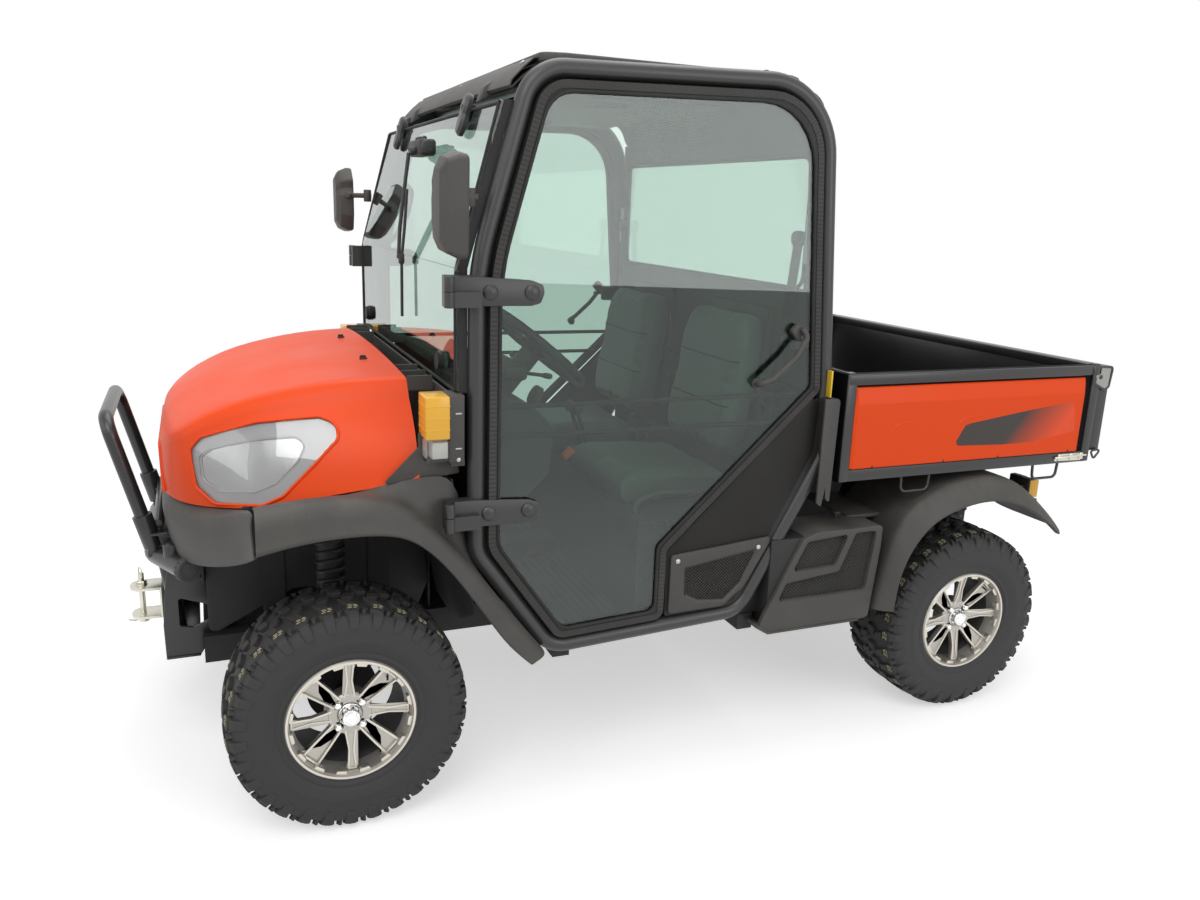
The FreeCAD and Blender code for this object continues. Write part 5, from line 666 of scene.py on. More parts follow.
def fade_stripe(paint):
    """Dark print that fades into the body paint towards the tail."""
    material = surface("faded_stripe", paint, 0.46, coat=0.10, grain=700.0, bump=0.05, tone=0.03)
    tree = material.node_tree
    shader = tree.nodes["Principled BSDF"]
    place = add(tree, "SeparateXYZ", {"Vector": add(tree, "TexCoord").outputs["Object"]})
    lean = add(tree, "Math", {0: place.outputs["Z"], 1: 0.9, 2: 0.0}, operation='MULTIPLY_ADD')
    along = add(tree, "Math", {0: place.outputs["Y"], 1: lean.outputs[0]}, operation='SUBTRACT')
    fade = add(tree, "MapRange", {"Value": along.outputs[0], "From Min": 0.235,
                                  "From Max": 0.44, "To Min": 0.0, "To Max": 1.0}, clamp=True)
    old = shader.inputs["Base Color"].links[0].from_socket
    tree.links.new(mixed_colour(tree, fade.outputs[0], (0.020, 0.013, 0.009, 1.0), old),
                   shader.inputs["Base Color"])


def build_materials(look):
    """Every finish of the vehicle, each under a plain name."""
    build_effects()
    dirt = look.dirt
    paint, plastic, steel = tuple(look.paint), tuple(look.plastic), tuple(look.steel)
    wet = (0.004, 0.004, 0.004, 1.0)
    surface("body_paint", paint, 0.48, coat=0.05, coat_rough=0.25, grain=700.0, bump=0.05,
            depth=0.0002, tone=0.03, specular=0.25, specks=0.10 * dirt, speck_scale=42.0,
            speck_size=0.07, speck_colour=(0.10, 0.02, 0.008, 1.0), dust=0.05 * dirt)
    # The high dust amount lightens the plastic's upward faces past real dust: painted top light.
    surface("moulded_plastic", plastic, 0.60, grain=1500.0, bump=0.35, depth=0.0004, tone=0.10,
            specks=0.55 * dirt, speck_scale=62.0, speck_size=0.13, speck_colour=wet,
            dust=0.95 * dirt)
    surface("cab_plastic", shaded(plastic, 1.25), 0.62, grain=1300.0, bump=0.3, tone=0.08,
            dust=0.2 * dirt)
    surface("frame_paint", steel, 0.36, coat=0.25, coat_rough=0.2, grain=500.0, bump=0.10,
            tone=0.12, specks=0.40 * dirt, speck_scale=66.0, speck_size=0.10, speck_colour=wet,
            dust=0.10 * dirt)
    surface("tube_paint", shaded(steel, 1.9), 0.42, coat=0.15, coat_rough=0.3, grain=900.0,
            bump=0.14, tone=0.10, specks=0.5 * dirt, speck_scale=64.0, speck_size=0.12,
            speck_colour=wet, dust=0.16 * dirt)
    # Bed lining: its own black, darkened further to near zero as painted shade inside the bed.
    surface("bed_lining", shaded(steel, 0.16), 0.75, specular=0.10, grain=320.0, bump=0.25,
            tone=0.25, dust=0.08 * dirt, dust_colour=(0.05, 0.045, 0.04, 1.0))
    surface("underbody_black", shaded(steel, 0.62), 0.66, grain=240.0, bump=0.2, tone=0.3,
            dust=0.22 * dirt)
    surface("seal_rubber", (0.010, 0.010, 0.010, 1.0), 0.72, grain=900.0, bump=0.1, tone=0.12)
    surface("door_rubber", (0.030, 0.029, 0.027, 1.0), 0.7, grain=700.0, bump=0.2, tone=0.15)
    surface("dark_panel", (0.009, 0.008, 0.0075, 1.0), 0.6, specular=0.3, grain=1200.0, bump=0.3,
            tone=0.1, dust=0.12 * dirt)
    surface("tyre_rubber", tuple(look.rubber), 0.74, grain=700.0, bump=0.3, depth=0.0005,
            tone=0.22, dust=0.9 * dirt, dust_colour=(0.085, 0.080, 0.070, 1.0), specular=0.35)
    surface("tread_rubber", (0.034, 0.033, 0.030, 1.0), 0.7, grain=600.0, bump=0.3, tone=0.25,
            dust=0.7 * dirt, dust_colour=(0.11, 0.10, 0.085, 1.0), specular=0.4)
    surface("tread_marks", (0.60, 0.54, 0.34, 1.0), 0.8, grain=500.0, bump=0.2, tone=0.3,
            dust=0.5)
    surface("alloy_machined", (0.61, 0.575, 0.51, 1.0), 0.38, metallic=1.0, grain=520.0,
            bump=0.06, tone=0.05, brushed=True)
    surface("alloy_painted", (0.46, 0.44, 0.40, 1.0), 0.44, metallic=0.8, coat=0.2, grain=1800.0,
            bump=0.10, tone=0.05)
    surface("chrome", (0.82, 0.82, 0.83, 1.0), 0.07, metallic=1.0, grain=80.0, bump=0.02,
            tone=0.03)
    surface("zinc_plate", (0.66, 0.64, 0.56, 1.0), 0.30, metallic=1.0, grain=160.0, bump=0.06,
            tone=0.16)
    surface("bare_steel", (0.42, 0.42, 0.42, 1.0), 0.35, metallic=1.0, grain=300.0, bump=0.08,
            tone=0.12)
    # Near-black metal: the springs' own colour, and painted shade on the rims' inner barrels.
    surface("cast_metal", (0.06, 0.06, 0.062, 1.0), 0.6, metallic=0.3, grain=260.0, bump=0.4,
            tone=0.25, dust=0.3 * dirt)
    surface("seat_vinyl", tuple(look.seat), 0.52, grain=1000.0, bump=0.45, depth=0.0005,
            tone=0.06)
    surface("floor_mat", (0.020, 0.021, 0.020, 1.0), 0.75, grain=500.0, bump=0.3, tone=0.15,
            dust=0.5 * dirt)
    surface("dash_plastic", (0.030, 0.031, 0.032, 1.0), 0.58, grain=1600.0, bump=0.3, tone=0.08)
    surface("lamp_bezel", (0.30, 0.29, 0.30, 1.0), 0.30, coat=0.6, coat_rough=0.08, grain=200.0,
            bump=0.02, tone=0.03)
    surface("lamp_silver", (0.30, 0.30, 0.295, 1.0), 0.26, metallic=0.9, grain=60.0, bump=0.02,
            tone=0.03)
    surface("lamp_dark", (0.03, 0.03, 0.032, 1.0), 0.3, grain=300.0, bump=0.05, tone=0.1)
    surface("lamp_red", (0.45, 0.03, 0.025, 1.0), 0.25, coat=0.6, grain=200.0, bump=0.03,
            tone=0.1)
    surface("amber_lens", tuple(look.amber), 0.16, coat=0.8, coat_rough=0.05, grain=120.0,
            bump=0.06, tone=0.10)
    surface("yellow_strip", (0.80, 0.52, 0.03, 1.0), 0.4, coat=0.3, grain=300.0, bump=0.04,
            tone=0.05)
    surface("white_print", (0.66, 0.66, 0.64, 1.0), 0.5, grain=300.0, bump=0.04, tone=0.05)
    surface("bail_plate", (0.42, 0.42, 0.38, 1.0), 0.5, grain=300.0, bump=0.05, tone=0.1)
    fade_stripe(paint)
    surface("cap_rubber", (0.055, 0.055, 0.057, 1.0), 0.62, grain=900.0, bump=0.15, tone=0.1)
    surface("belt_web", (0.018, 0.018, 0.020, 1.0), 0.8, grain=900.0, bump=0.4, tone=0.1)
    surface("mirror_face", (0.80, 0.82, 0.82, 1.0), 0.03, metallic=1.0, grain=40.0, bump=0.01,
            tone=0.02)
    surface("safety_orange", (0.80, 0.10, 0.01, 1.0), 0.45, grain=300.0, bump=0.05, tone=0.08)
    glass("cab_glass", tuple(look.glass), ior=1.52)
    glass("lamp_lens", (0.96, 0.97, 0.97, 1.0))
    glass("signal_clear", (0.90, 0.90, 0.88, 1.0), rough=0.12)


def finish_of(name):
    return bpy.data.materials[name]


# Wheels

WHEELS = [("front_left", 1, FRONT_AXLE), ("front_right", -1, FRONT_AXLE),
          ("rear_left", 1, REAR_AXLE), ("rear_right", -1, REAR_AXLE)]


def crown(x, look):
    """Radius of the tyre's bare crown at a place across it."""
    share_out = abs(x) / (look.tyre_width / 2)
    return look.tyre_radius - look.tread_height - 0.002 - 0.0135 * share_out ** 3.2


def tyre_carcass(look):
    """Casing with bead, rim guard, sidewall rings and a rounded crown."""
    half = look.tyre_width / 2 - 0.001
    bead = look.rim_radius
    wall = [(0.845, -0.010), (0.875, 0.001), (0.885, 0.006), (0.925, 0.011), (0.935, 0.017),
            (0.925, 0.021), (0.975, 0.035), (0.992, 0.050), (0.997, 0.053), (0.997, 0.056),
            (0.992, 0.058), (1.0, 0.080), (0.985, 0.098), (0.94, 0.112), (0.86, 0.1225)]
    outer = [(half * s, bead + rise) for s, rise in wall]
    outer += [(half * s, crown(half * s, look)) for s in (0.72, 0.55, 0.35, 0.15, 0)]
    line = outer + [(-x, r) for x, r in reversed(outer[:-1])]
    inner = [(-half * 0.70, bead - 0.008), (-half * 0.86, bead + 0.06),
             (-half * 0.60, bead + 0.112), (half * 0.60, bead + 0.112),
             (half * 0.86, bead + 0.06), (half * 0.70, bead - 0.008)]
    return lathe(line + inner, steps=96)


TREAD_BLOCKS = [
    [(2.5, 0.06), (17, 0.20), (18, 0.10), (34, 0.26), (34, 0.64), (19, 0.50), (18, 0.60),
     (2.5, 0.44)],
    [(39, 0.46), (53, 0.30), (54, 0.38), (71, 0.20), (72, 0.56), (56, 0.74), (54, 0.66),
     (39, 0.82)],
    [(77, 0.16), (92, 0.02), (103, 0.10), (109, 0.26), (109, 0.50), (103, 0.66), (92, 0.60),
     (77, 0.58)],
    [(97, 0.74), (104, 0.80), (110, 0.86), (110, 0.94), (104, 0.98), (96, 0.90)],
]


def wrapped(points, look, lift, foot):
    """A tread block: its outline across the tyre and along one pitch, bent round the crown."""
    pitch = math.tau / look.pitches
    obj = plate([(x / 1000, s * pitch * look.tyre_radius) for x, s in points], "Z",
                -foot, lift, edge=0.0014, segments=1)
    for vertex in obj.data.vertices:
        x, along, high = vertex.co
        radius = crown(x, look) + high
        turn = along / look.tyre_radius
        vertex.co = (x, radius * math.cos(turn), radius * math.sin(turn))
    return obj


def tyre_tread(look):
    """All blocks of one pitch on both halves, copied round the tyre."""
    pitch = math.tau / look.pitches
    rows = []
    for flip in (1, -1):
        blocks = [wrapped(points, look, look.tread_height, 0.004) for points in TREAD_BLOCKS]
        half = look.tyre_width / 2
        for start, width, low, high in ((0.10, 0.42, -0.034, 0.0105), (0.20, 0.10, -0.046, 0.006)):
            long = width * pitch * look.tyre_radius
            lug = block((half * 0.84, 0, low), (half * 1.004, long, high), 0.0018, 1)
            for vertex in lug.data.vertices:
                x, along, h = vertex.co
                radius = crown(half * 0.86, look) + h
                if h > 0:
                    radius -= (x - half * 0.84) * 0.55
                    x -= 0.004 if x > half * 0.95 else 0
                elif x > half * 0.95:
                    x -= 0.0006
                turn = start * pitch + along / look.tyre_radius
                vertex.co = (x, radius * math.cos(turn), radius * math.sin(turn))
            blocks.append(lug)
        piece = joined(blocks)
        if flip < 0:
            for vertex in piece.data.vertices:
                vertex.co.x = -vertex.co.x
            piece.data.transform(Matrix.Rotation(pitch / 2, 4, 'X'))
        edit(piece, lambda: bpy.ops.mesh.normals_make_consistent(inside=False))
        rows.append(piece)
    one = joined(rows)
    copies = [copied(one, Matrix.Rotation(i * pitch, 4, 'X')) for i in range(1, look.pitches)]
    return joined([one] + copies)


def tread_marks(look):
    """Short painted lines on the outer shoulder blocks."""
    pitch = math.tau / look.pitches
    marks = []
    for x, start, end in ((0.0815, 0.14, 0.28), (0.0815, 0.34, 0.50), (0.0875, 0.10, 0.26),
                          (0.0875, 0.32, 0.48), (0.0945, 0.16, 0.30), (0.0945, 0.36, 0.52)):
        long = (end - start) * pitch * look.tyre_radius
        mark = block((x - 0.0013, 0, 0), (x + 0.0013, long, 0.0006), 0.0002, 1)
        for vertex in mark.data.vertices:
            u, along, high = vertex.co
            radius = crown(u, look) + look.tread_height - 0.0002 + high
            turn = start * pitch + along / look.tyre_radius
            vertex.co = (u, radius * math.cos(turn), radius * math.sin(turn))
        marks.append(mark)
    one = joined(marks)
    copies = [copied(one, Matrix.Rotation(i * pitch, 4, 'X')) for i in range(1, look.pitches)]
    return joined([one] + copies)


def dished(obj, rim, slope):
    """Leans flat spokes inwards towards the hub."""
    for vertex in obj.data.vertices:
        radius = math.hypot(vertex.co.y, vertex.co.z)
        vertex.co.x -= max(0.0, rim - radius) * slope
    return obj


def recessed(obj, border, depth, axis=0, least=0.95):
    """Insets the faces that look along an axis and sinks them."""
    pick(obj)
    bpy.ops.object.mode_set(mode='EDIT')
    mesh = bmesh.from_edit_mesh(obj.data)
    top = max(v.co[axis] for v in mesh.verts)
    for face in mesh.faces:
        face.select_set(face.normal[axis] > least and face.calc_center_median()[axis] > top - 1e-4)
    mesh.select_flush_mode()
    bmesh.update_edit_mesh(obj.data)
    bpy.ops.mesh.inset(thickness=border, depth=0)
    way = [0, 0, 0]
    way[axis] = -depth
    bpy.ops.mesh.inset(thickness=depth * 0.4, depth=0)
    bpy.ops.transform.translate(value=way)
    bpy.ops.object.mode_set(mode='OBJECT')
    return obj


def rim_barrel(look):
    """Rolled barrel with a machined outer lip."""
    r = look.rim_radius
    line = [(0.1085, r + 0.001), (0.1135, r - 0.003), (0.1135, r - 0.009), (0.106, r - 0.0125),
            (0.093, r - 0.0145), (0.060, r - 0.024), (0.020, r - 0.027), (-0.090, r - 0.026),
            (-0.104, r - 0.012), (-0.116, r - 0.005), (-0.116, r), (-0.1092, r),
            (-0.108, r - 0.0145),
            (-0.096, r - 0.020), (0.020, r - 0.021), (0.060, r - 0.0185), (0.1000, r - 0.0145),
            (0.1075, r - 0.0125)]
    return lathe(line, steps=96)


def rim_spokes(look):
    """Narrow grooved spokes and wide recessed spokes in turn, and the ring they end in."""
    front, back = 0.092, 0.074
    tip = look.rim_radius - 0.017
    narrow, wide = [], []
    for i in range(look.spokes):
        turn = Matrix.Rotation(math.tau * i / look.spokes, 4, 'X')
        if i % 2 == 0:
            outline = [(-0.017, 0.040), (0.017, 0.040), (0.0085, 0.100), (0.013, tip),
                       (-0.013, tip), (-0.0085, 0.100)]
            spoke = plate(outline, "X", back, front, corner=0.002, edge=0.0015, steps=2)
            recessed(spoke, 0.0035, 0.003)
            narrow.append(spoke)
        else:
            outline = [(-0.016, 0.040), (0.016, 0.040), (0.0235, 0.110), (0.0275, tip),
                       (-0.0275, tip), (-0.0235, 0.110)]
            spoke = plate(outline, "X", back, front, corner=0.003, edge=0.0015, steps=2)
            recessed(spoke, 0.0045, 0.006)
            wide.append(spoke)
        dished(spoke, tip, 0.16)
        spoke.data.transform(turn)
    teeth = []
    for i in range(look.spokes * 2):
        turn = math.tau * (i + 0.5) / (look.spokes * 2)
        tooth = plate([(-0.012, tip - 0.004), (0.012, tip - 0.004), (0.017, tip + 0.010),
                       (-0.017, tip + 0.010)], "X", 0.086, 0.1065, edge=0.001)
        tooth.data.transform(Matrix.Rotation(turn, 4, 'X'))
        teeth.append(tooth)
    return joined(narrow + wide + teeth)


def rim_hub():
    """Hub plate with four nut pockets."""
    line = [(0.030, 0), (0.030, 0.062), (0.070, 0.060), (0.0755, 0.055), (0.0755, 0.034),
            (0.072, 0.031), (0.072, 0)]
    hub = lathe(line, steps=64)
    for i in range(4):
        turn = math.tau * (i + 0.5) / 4
        tool = rod((0.066, math.sin(turn) * 0.045, math.cos(turn) * 0.045),
                   (0.1, math.sin(turn) * 0.045, math.cos(turn) * 0.045), 0.0145, steps=24)
        cut(hub, tool)
    return hub


def wheel_nuts():
    """Hub cap with stepped sides, and four domed nuts."""
    cap = lathe([(0.060, 0), (0.060, 0.031), (0.078, 0.031), (0.080, 0.029), (0.082, 0.0285),
                 (0.096, 0.026), (0.101, 0.022), (0.103, 0.0165), (0.1035, 0.0155),
                 (0.1025, 0.0145), (0.1025, 0)], steps=32)
    pieces = [cap]
    for i in range(4):
        turn = math.tau * (i + 0.5) / 4
        y, z = math.sin(turn) * 0.045, math.cos(turn) * 0.045
        nut = lathe([(0, 0), (0, 0.0118), (0.004, 0.0112), (0.017, 0.0105), (0.021, 0.0085),
                     (0.023, 0.004), (0.0232, 0)], (0.066, y, z), (1, 0, 0), 6)
        pieces.append(bevelled(nut, 0.0008, 1))
    return joined(pieces)


def valve():
    """Rubber valve stem in the rim's well."""
    return lathe([(0, 0), (0, 0.005), (0.006, 0.0045), (0.008, 0.0035), (0.026, 0.0032),
                  (0.028, 0.0028), (0.036, 0.0028), (0.037, 0)],
                 (0.064, 0.101, 0.101), (0.9, -0.15, -0.15), 12)


class UTV_OT_wheels(bpy.types.Operator):
    """Tyres with tread blocks, alloy rims, nuts and valves"""
    bl_idname = "utv.wheels"
    bl_label = "Wheels"

    def execute(self, context):
        look = context.scene.utv_wheels
        parts = {
            "tyre": (joined([tyre_carcass(look), tyre_tread(look)]), "tyre_rubber"),
            "tread_marks": (tread_marks(look), "tread_marks"),
            "rim": (joined([rim_barrel(look), rim_spokes(look), rim_hub()]), "alloy_painted"),
            "nuts": (wheel_nuts(), "chrome"),
            "valve": (valve(), "seal_rubber"),
        }
        for name, side, centre in WHEELS:
            spin = Matrix.Rotation(math.radians(0 if side > 0 else 17), 4, 'X')
            place = Matrix.Translation((side * centre[0], centre[1], centre[2]))
            for part, (model, dress) in parts.items():
                piece = copied(model, spin)
                if side < 0:
                    reflected(piece)
                piece.data.transform(place)
                node = {"tyre": "tyre_" + name, "rim": "rim_" + name}.get(part)
                finish(piece, "wheel_%s_%s" % (name, part), "wheel_" + name, dress,
                       *([node] if node else []), angle=30)
                if part == "tyre":
                    piece.data.materials.append(finish_of("tread_rubber"))
                    for face in piece.data.polygons:
                        y, z = face.center.y - centre[1], face.center.z - centre[2]
                        across = face.center.x - side * centre[0]
                        if math.hypot(y, z) > crown(across, look) + 0.007:
                            face.material_index = 1
                if part == "rim":
                    piece.data.materials.append(finish_of("alloy_machined"))
                    piece.data.materials.append(finish_of("cast_metal"))
                    x_face = side * (centre[0] + 0.066)
                    for face in piece.data.polygons:
                        out = face.normal.x * side
                        far = (face.center.x - x_face) * side
                        ring = math.hypot(face.center.y - centre[1], face.center.z - centre[2])
                        top = far > 0.024 - max(0.0, look.rim_radius - 0.017 - ring) * 0.16
                        if out > 0.9 and top and ring > 0.05:
                            face.material_index = 1
                        # Barrel faces behind the spokes take the near-black metal: painted shade inside the wheel.
                        elif far < 0.006 and ring > 0.115:
                            face.material_index = 2
        for model, _ in parts.values():
            bpy.data.objects.remove(model)
        return {'FINISHED'}


# Stage

PHOTO_WIDTH = 1200
PHOTO_SHIFT = (0.76, -3.85)
FLOOR_SIZE = 24
FLOOR_FADE = (2.0, 4.2)
LIGHTS = [
    ("key_light", (3.6, -2.2, 4.6), (0, 0, 0.8), (3.0, 3.0), 100),
    ("top_light", (-0.6, 0.4, 5.2), (0, 0, 0.8), (4.0, 4.0), 120),
    ("front_light", (1.2, -5.4, 2.6), (0, -0.4, 0.8), (3.5, 2.4), 30),
    ("side_light", (5.0, 2.2, 2.2), (0.3, 0.4, 0.8), (3.0, 2.4), 62),
]


def camera_matrix(stage):
    """The photograph's viewpoint: yaw, pitch and roll round a measured place."""
    back = Vector((math.sin(stage.yaw) * math.cos(stage.pitch),
                   -math.cos(stage.yaw) * math.cos(stage.pitch), math.sin(stage.pitch)))
    right = (-back).cross(Vector((0, 0, 1))).normalized()
    up = right.cross(-back).normalized()
    c, s = math.cos(stage.roll), math.sin(stage.roll)
    right, up = c * right + s * up, -s * right + c * up
    matrix = Matrix((right, up, back)).transposed().to_4x4()
    matrix.translation = Vector(stage.camera_place)
    return matrix


def floor_material():
    """Pale floor that keeps the shadow and turns into the white backdrop further out."""
    material = bpy.data.materials.new("studio_floor")
    material.use_nodes = True
    tree = material.node_tree
    tree.nodes.clear()
    rays = add(tree, "LightPath").outputs
    tone = mixed_colour(tree, rays["Is Diffuse Ray"], (0.78, 0.78, 0.78, 1), (0.24, 0.24, 0.23, 1))
    paint = add(tree, "BsdfDiffuse", {"Color": tone})
    lift = add(tree, "Math", {0: 1.0, 1: rays["Is Diffuse Ray"]}, operation='SUBTRACT')
    level = add(tree, "Math", {0: lift.outputs[0], 1: 0.52}, operation='MULTIPLY')
    glow = add(tree, "Emission", {"Color": (1, 1, 1, 1), "Strength": level.outputs[0]})
    near = add(tree, "AddShader", {0: paint.outputs[0], 1: glow.outputs[0]})
    far = add(tree, "Emission", {"Color": (1, 1, 1, 1), "Strength": lift.outputs[0]})
    place = add(tree, "VectorMath", {0: add(tree, "TexCoord").outputs["Object"]},
                operation='LENGTH')
    reach = add(tree, "MapRange", {"Value": place.outputs["Value"],
                                   "From Min": FLOOR_FADE[0],
                                   "From Max": FLOOR_FADE[1]}, interpolation_type='SMOOTHSTEP')
    both = add(tree, "MixShader", {0: reach.outputs[0], 1: near.outputs[0], 2: far.outputs[0]})
    out = add(tree, "OutputMaterial")
    tree.links.new(both.outputs[0], out.inputs["Surface"])
    return material


def white_world():
    """White to the camera and in reflections, softer as a light."""
    world = bpy.data.worlds.new("white_room")
    bpy.context.scene.world = world
    world.use_nodes = True
    tree = world.node_tree
    tree.nodes.clear()
    rays = add(tree, "LightPath")
    seen = add(tree, "Math", {0: rays.outputs["Is Camera Ray"], 1: rays.outputs["Is Glossy Ray"]},
               operation='MAXIMUM')
    seen = add(tree, "Math", {0: seen.outputs[0], 1: rays.outputs["Is Transmission Ray"]},
               operation='MAXIMUM')
    level = add(tree, "MapRange", {"Value": seen.outputs[0], "To Min": 0.40, "To Max": 1.0})
    back = add(tree, "Background", {"Color": (1, 1, 1, 1), "Strength": level.outputs[0]})
    out = add(tree, "OutputWorld")
    tree.links.new(back.outputs[0], out.inputs["Surface"])


def soft_light(name, place, aim, size, power):
    """Large area light looking at a point."""
    bpy.ops.object.light_add(type='AREA', location=place)
    light = bpy.context.object
    light.name = name
    light.rotation_euler = (Vector(aim) - Vector(place)).to_track_quat('-Z', 'Y').to_euler()
    light.data.shape = 'RECTANGLE'
    light.data.size, light.data.size_y = size
    light.data.energy = power
    return light


class UTV_OT_stage(bpy.types.Operator):
    """Camera at the photograph's viewpoint, pale floor, white backdrop and soft lights"""
    bl_idname = "utv.stage"
    bl_label = "Stage"

    def execute(self, context):
        stage = context.scene.utv_stage
        clear()
        bpy.ops.object.camera_add()
        camera = context.object
        camera.name = "photo_camera"
        camera.matrix_world = camera_matrix(stage)
        camera.data.lens = camera.data.sensor_width * stage.focal_share
        camera.data.shift_x, camera.data.shift_y = (p / PHOTO_WIDTH for p in PHOTO_SHIFT)
        camera.data.clip_end = 60
        context.scene.camera = camera
        bpy.ops.mesh.primitive_plane_add(size=FLOOR_SIZE, location=(0, 0, -0.0005))
        floor = context.object
        floor.name = "studio_floor"
        settle(floor)
        floor.data.materials.append(floor_material())
        white_world()
        lights = [soft_light(*row) for row in LIGHTS]
        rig.stage(camera, floor, *lights)
        context.scene.view_settings.view_transform = 'Standard'
        return {'FINISHED'}


# Painted hood and its lamps

HOOD_FRONT = -1.386
HOOD_REAR = -0.772
HOOD_TOP = [(-1.386, 0.985), (-1.380, 1.018), (-1.362, 1.047), (-1.335, 1.068), (-1.28, 1.095),
            (-1.18, 1.129), (-1.05, 1.158), (-0.92, 1.180), (-0.772, 1.196)]
HOOD_CREASE = [(-1.386, 0.250, 0.985), (-1.380, 0.285, 1.003), (-1.362, 0.352, 1.022),
               (-1.335, 0.409, 1.042), (-1.28, 0.440, 1.078), (-1.18, 0.468, 1.122),
               (-1.05, 0.490, 1.155), (-0.92, 0.509, 1.174), (-0.772, 0.531, 1.182)]
HOOD_LOW = [(-1.386, 0.262, 0.850), (-1.380, 0.300, 0.850), (-1.362, 0.362, 0.851),
            (-1.335, 0.420, 0.853), (-1.28, 0.486, 0.856), (-1.18, 0.580, 0.872),
            (-1.05, 0.634, 0.898), (-0.92, 0.668, 0.922), (-0.772, 0.690, 0.945)]
LAMP_OUTLINE = [(-1.302, 0.905), (-1.312, 1.000), (-1.285, 1.034), (-1.150, 1.078),
                (-1.000, 1.094), (-0.962, 1.080), (-0.958, 1.046), (-1.020, 0.985),
                (-1.100, 0.905), (-1.150, 0.880), (-1.260, 0.868)]
LAMP_MOUTH = [(-1.287, 0.925), (-1.290, 0.985), (-1.262, 1.008), (-1.140, 1.040),
              (-1.060, 1.048), (-1.040, 1.030), (-1.062, 0.990), (-1.118, 0.935),
              (-1.165, 0.912), (-1.250, 0.902)]


def curve_at(stations, y, index):
    """Smooth value of a column of hood stations at a place along the hood."""
    rows = [(s[0], s[index]) for s in stations]
    if y <= rows[0][0]:
        return rows[0][1]
    for i in range(len(rows) - 1):
        (y0, v0), (y1, v1) = rows[i], rows[i + 1]
        if y <= y1:
            before = rows[max(i - 1, 0)]
            after = rows[min(i + 2, len(rows) - 1)]
            span = y1 - y0
            m0 = (v1 - before[1]) / (y1 - before[0]) * span
            m1 = (after[1] - v0) / (after[0] - y0) * span
            t = (y - y0) / span
            return ((2 * t ** 3 - 3 * t ** 2 + 1) * v0 + (t ** 3 - 2 * t ** 2 + t) * m0
                    + (3 * t ** 2 - 2 * t ** 3) * v1 + (t ** 3 - t ** 2) * m1)
    return rows[-1][1]


def hood_row(y):
    """Half section from the middle over the crease band down to the lower edge."""
    top = curve_at(HOOD_TOP, y, 1)
    cx, cz = curve_at(HOOD_CREASE, y, 1), curve_at(HOOD_CREASE, y, 2)
    lx, lz = curve_at(HOOD_LOW, y, 1), curve_at(HOOD_LOW, y, 2)
    along = (y - HOOD_FRONT) / (HOOD_REAR - HOOD_FRONT)
    row = []
    for i in range(11):
        t = i / 10
        row.append((cx * t, y, top + (cz - top) * t ** 2.2))
    band = 0.016 + 0.020 * along
    bx, bz = cx + (lx - cx) * 0.12 + 0.010, cz - band
    row += [(cx + 0.004, y, cz - 0.0035), (bx, y, bz), (bx + 0.002, y, bz - 0.006)]
    for i in range(1, 13):
        t = i / 12
        bulge = math.sin(t * math.pi) * (0.012 + 0.012 * along)
        row.append((bx + (lx - bx) * t + bulge * 0.9, y, bz - 0.006 + (lz - bz + 0.006) * t
                    + bulge * 0.25))
    return row


def hood_shell():
    """Half of the painted shell as a smooth skin with a rolled front lip."""
    places = [HOOD_FRONT, -1.385, -1.382, -1.377, -1.370, -1.360, -1.347, -1.33, -1.31, -1.28,
              -1.24, -1.20, -1.15, -1.10, -1.05, -1.0, -0.95, -0.90, -0.85, -0.81, -0.79,
              HOOD_REAR]
    return sheet([hood_row(y) for y in places])


class UTV_OT_hood(bpy.types.Operator):
    """Painted hood shell with its crease band, lamp openings, nose lip and washer jets"""
    bl_idname = "utv.hood"
    bl_label = "Hood"

    def execute(self, context):
        skin = hood_shell()
        guide = copied(skin, Matrix.Identity(4))
        guide.name = "hood_guide"
        corner = block((-0.1, -0.900, 0.7), (0.9, -0.6, 0.926))
        thick(skin, 0.005)
        modify(skin, 'TRIANGULATE')
        cut(skin, corner)
        opening = plate([(-0.30, 0.80), (0.300, 0.80), (0.262, 0.973), (-0.262, 0.973)], "Y",
                        -1.5, -1.30, corner=0.02)
        cut(skin, opening)
        lamp = plate(LAMP_OUTLINE, "X", 0.30, 0.85, corner=0.028)
        cut(skin, lamp)
        outward(skin)
        skin = mirror(skin)
        pieces = [skin]
        lip_line = rounded([Vector((0, y, z)) for y, z in LAMP_OUTLINE], 0.028, 5)
        lip = [on_skin(guide, p.y, p.z, 0.001) for p in lip_line]
        rim = tube(lip, 0.0042, 0, True, 4, 1)
        pieces += [rim, flipped(rim)]
        nose = [(-0.300, -1.383, 0.852), (-0.262, -1.386, 0.976), (0.262, -1.386, 0.976),
                (0.300, -1.383, 0.852)]
        pieces.append(tube(nose, 0.006, 0.02, False, 4, 5))
        finish(joined(pieces), "hood_shell", "hood", "body_paint", "hood", angle=40)
        jets = []
        for side in (-1, 1):
            base = (side * 0.23, -0.835, 1.186)
            jets.append(dome(base, (0, 0.1, 1), 0.012, 0.008))
            jets.append(block((side * 0.23 - 0.005, -0.845, 1.188),
                              (side * 0.23 + 0.005, -0.828, 1.1985), 0.002))
        finish(joined(jets), "washer_jets", "hood", "seal_rubber")
        return {'FINISHED'}


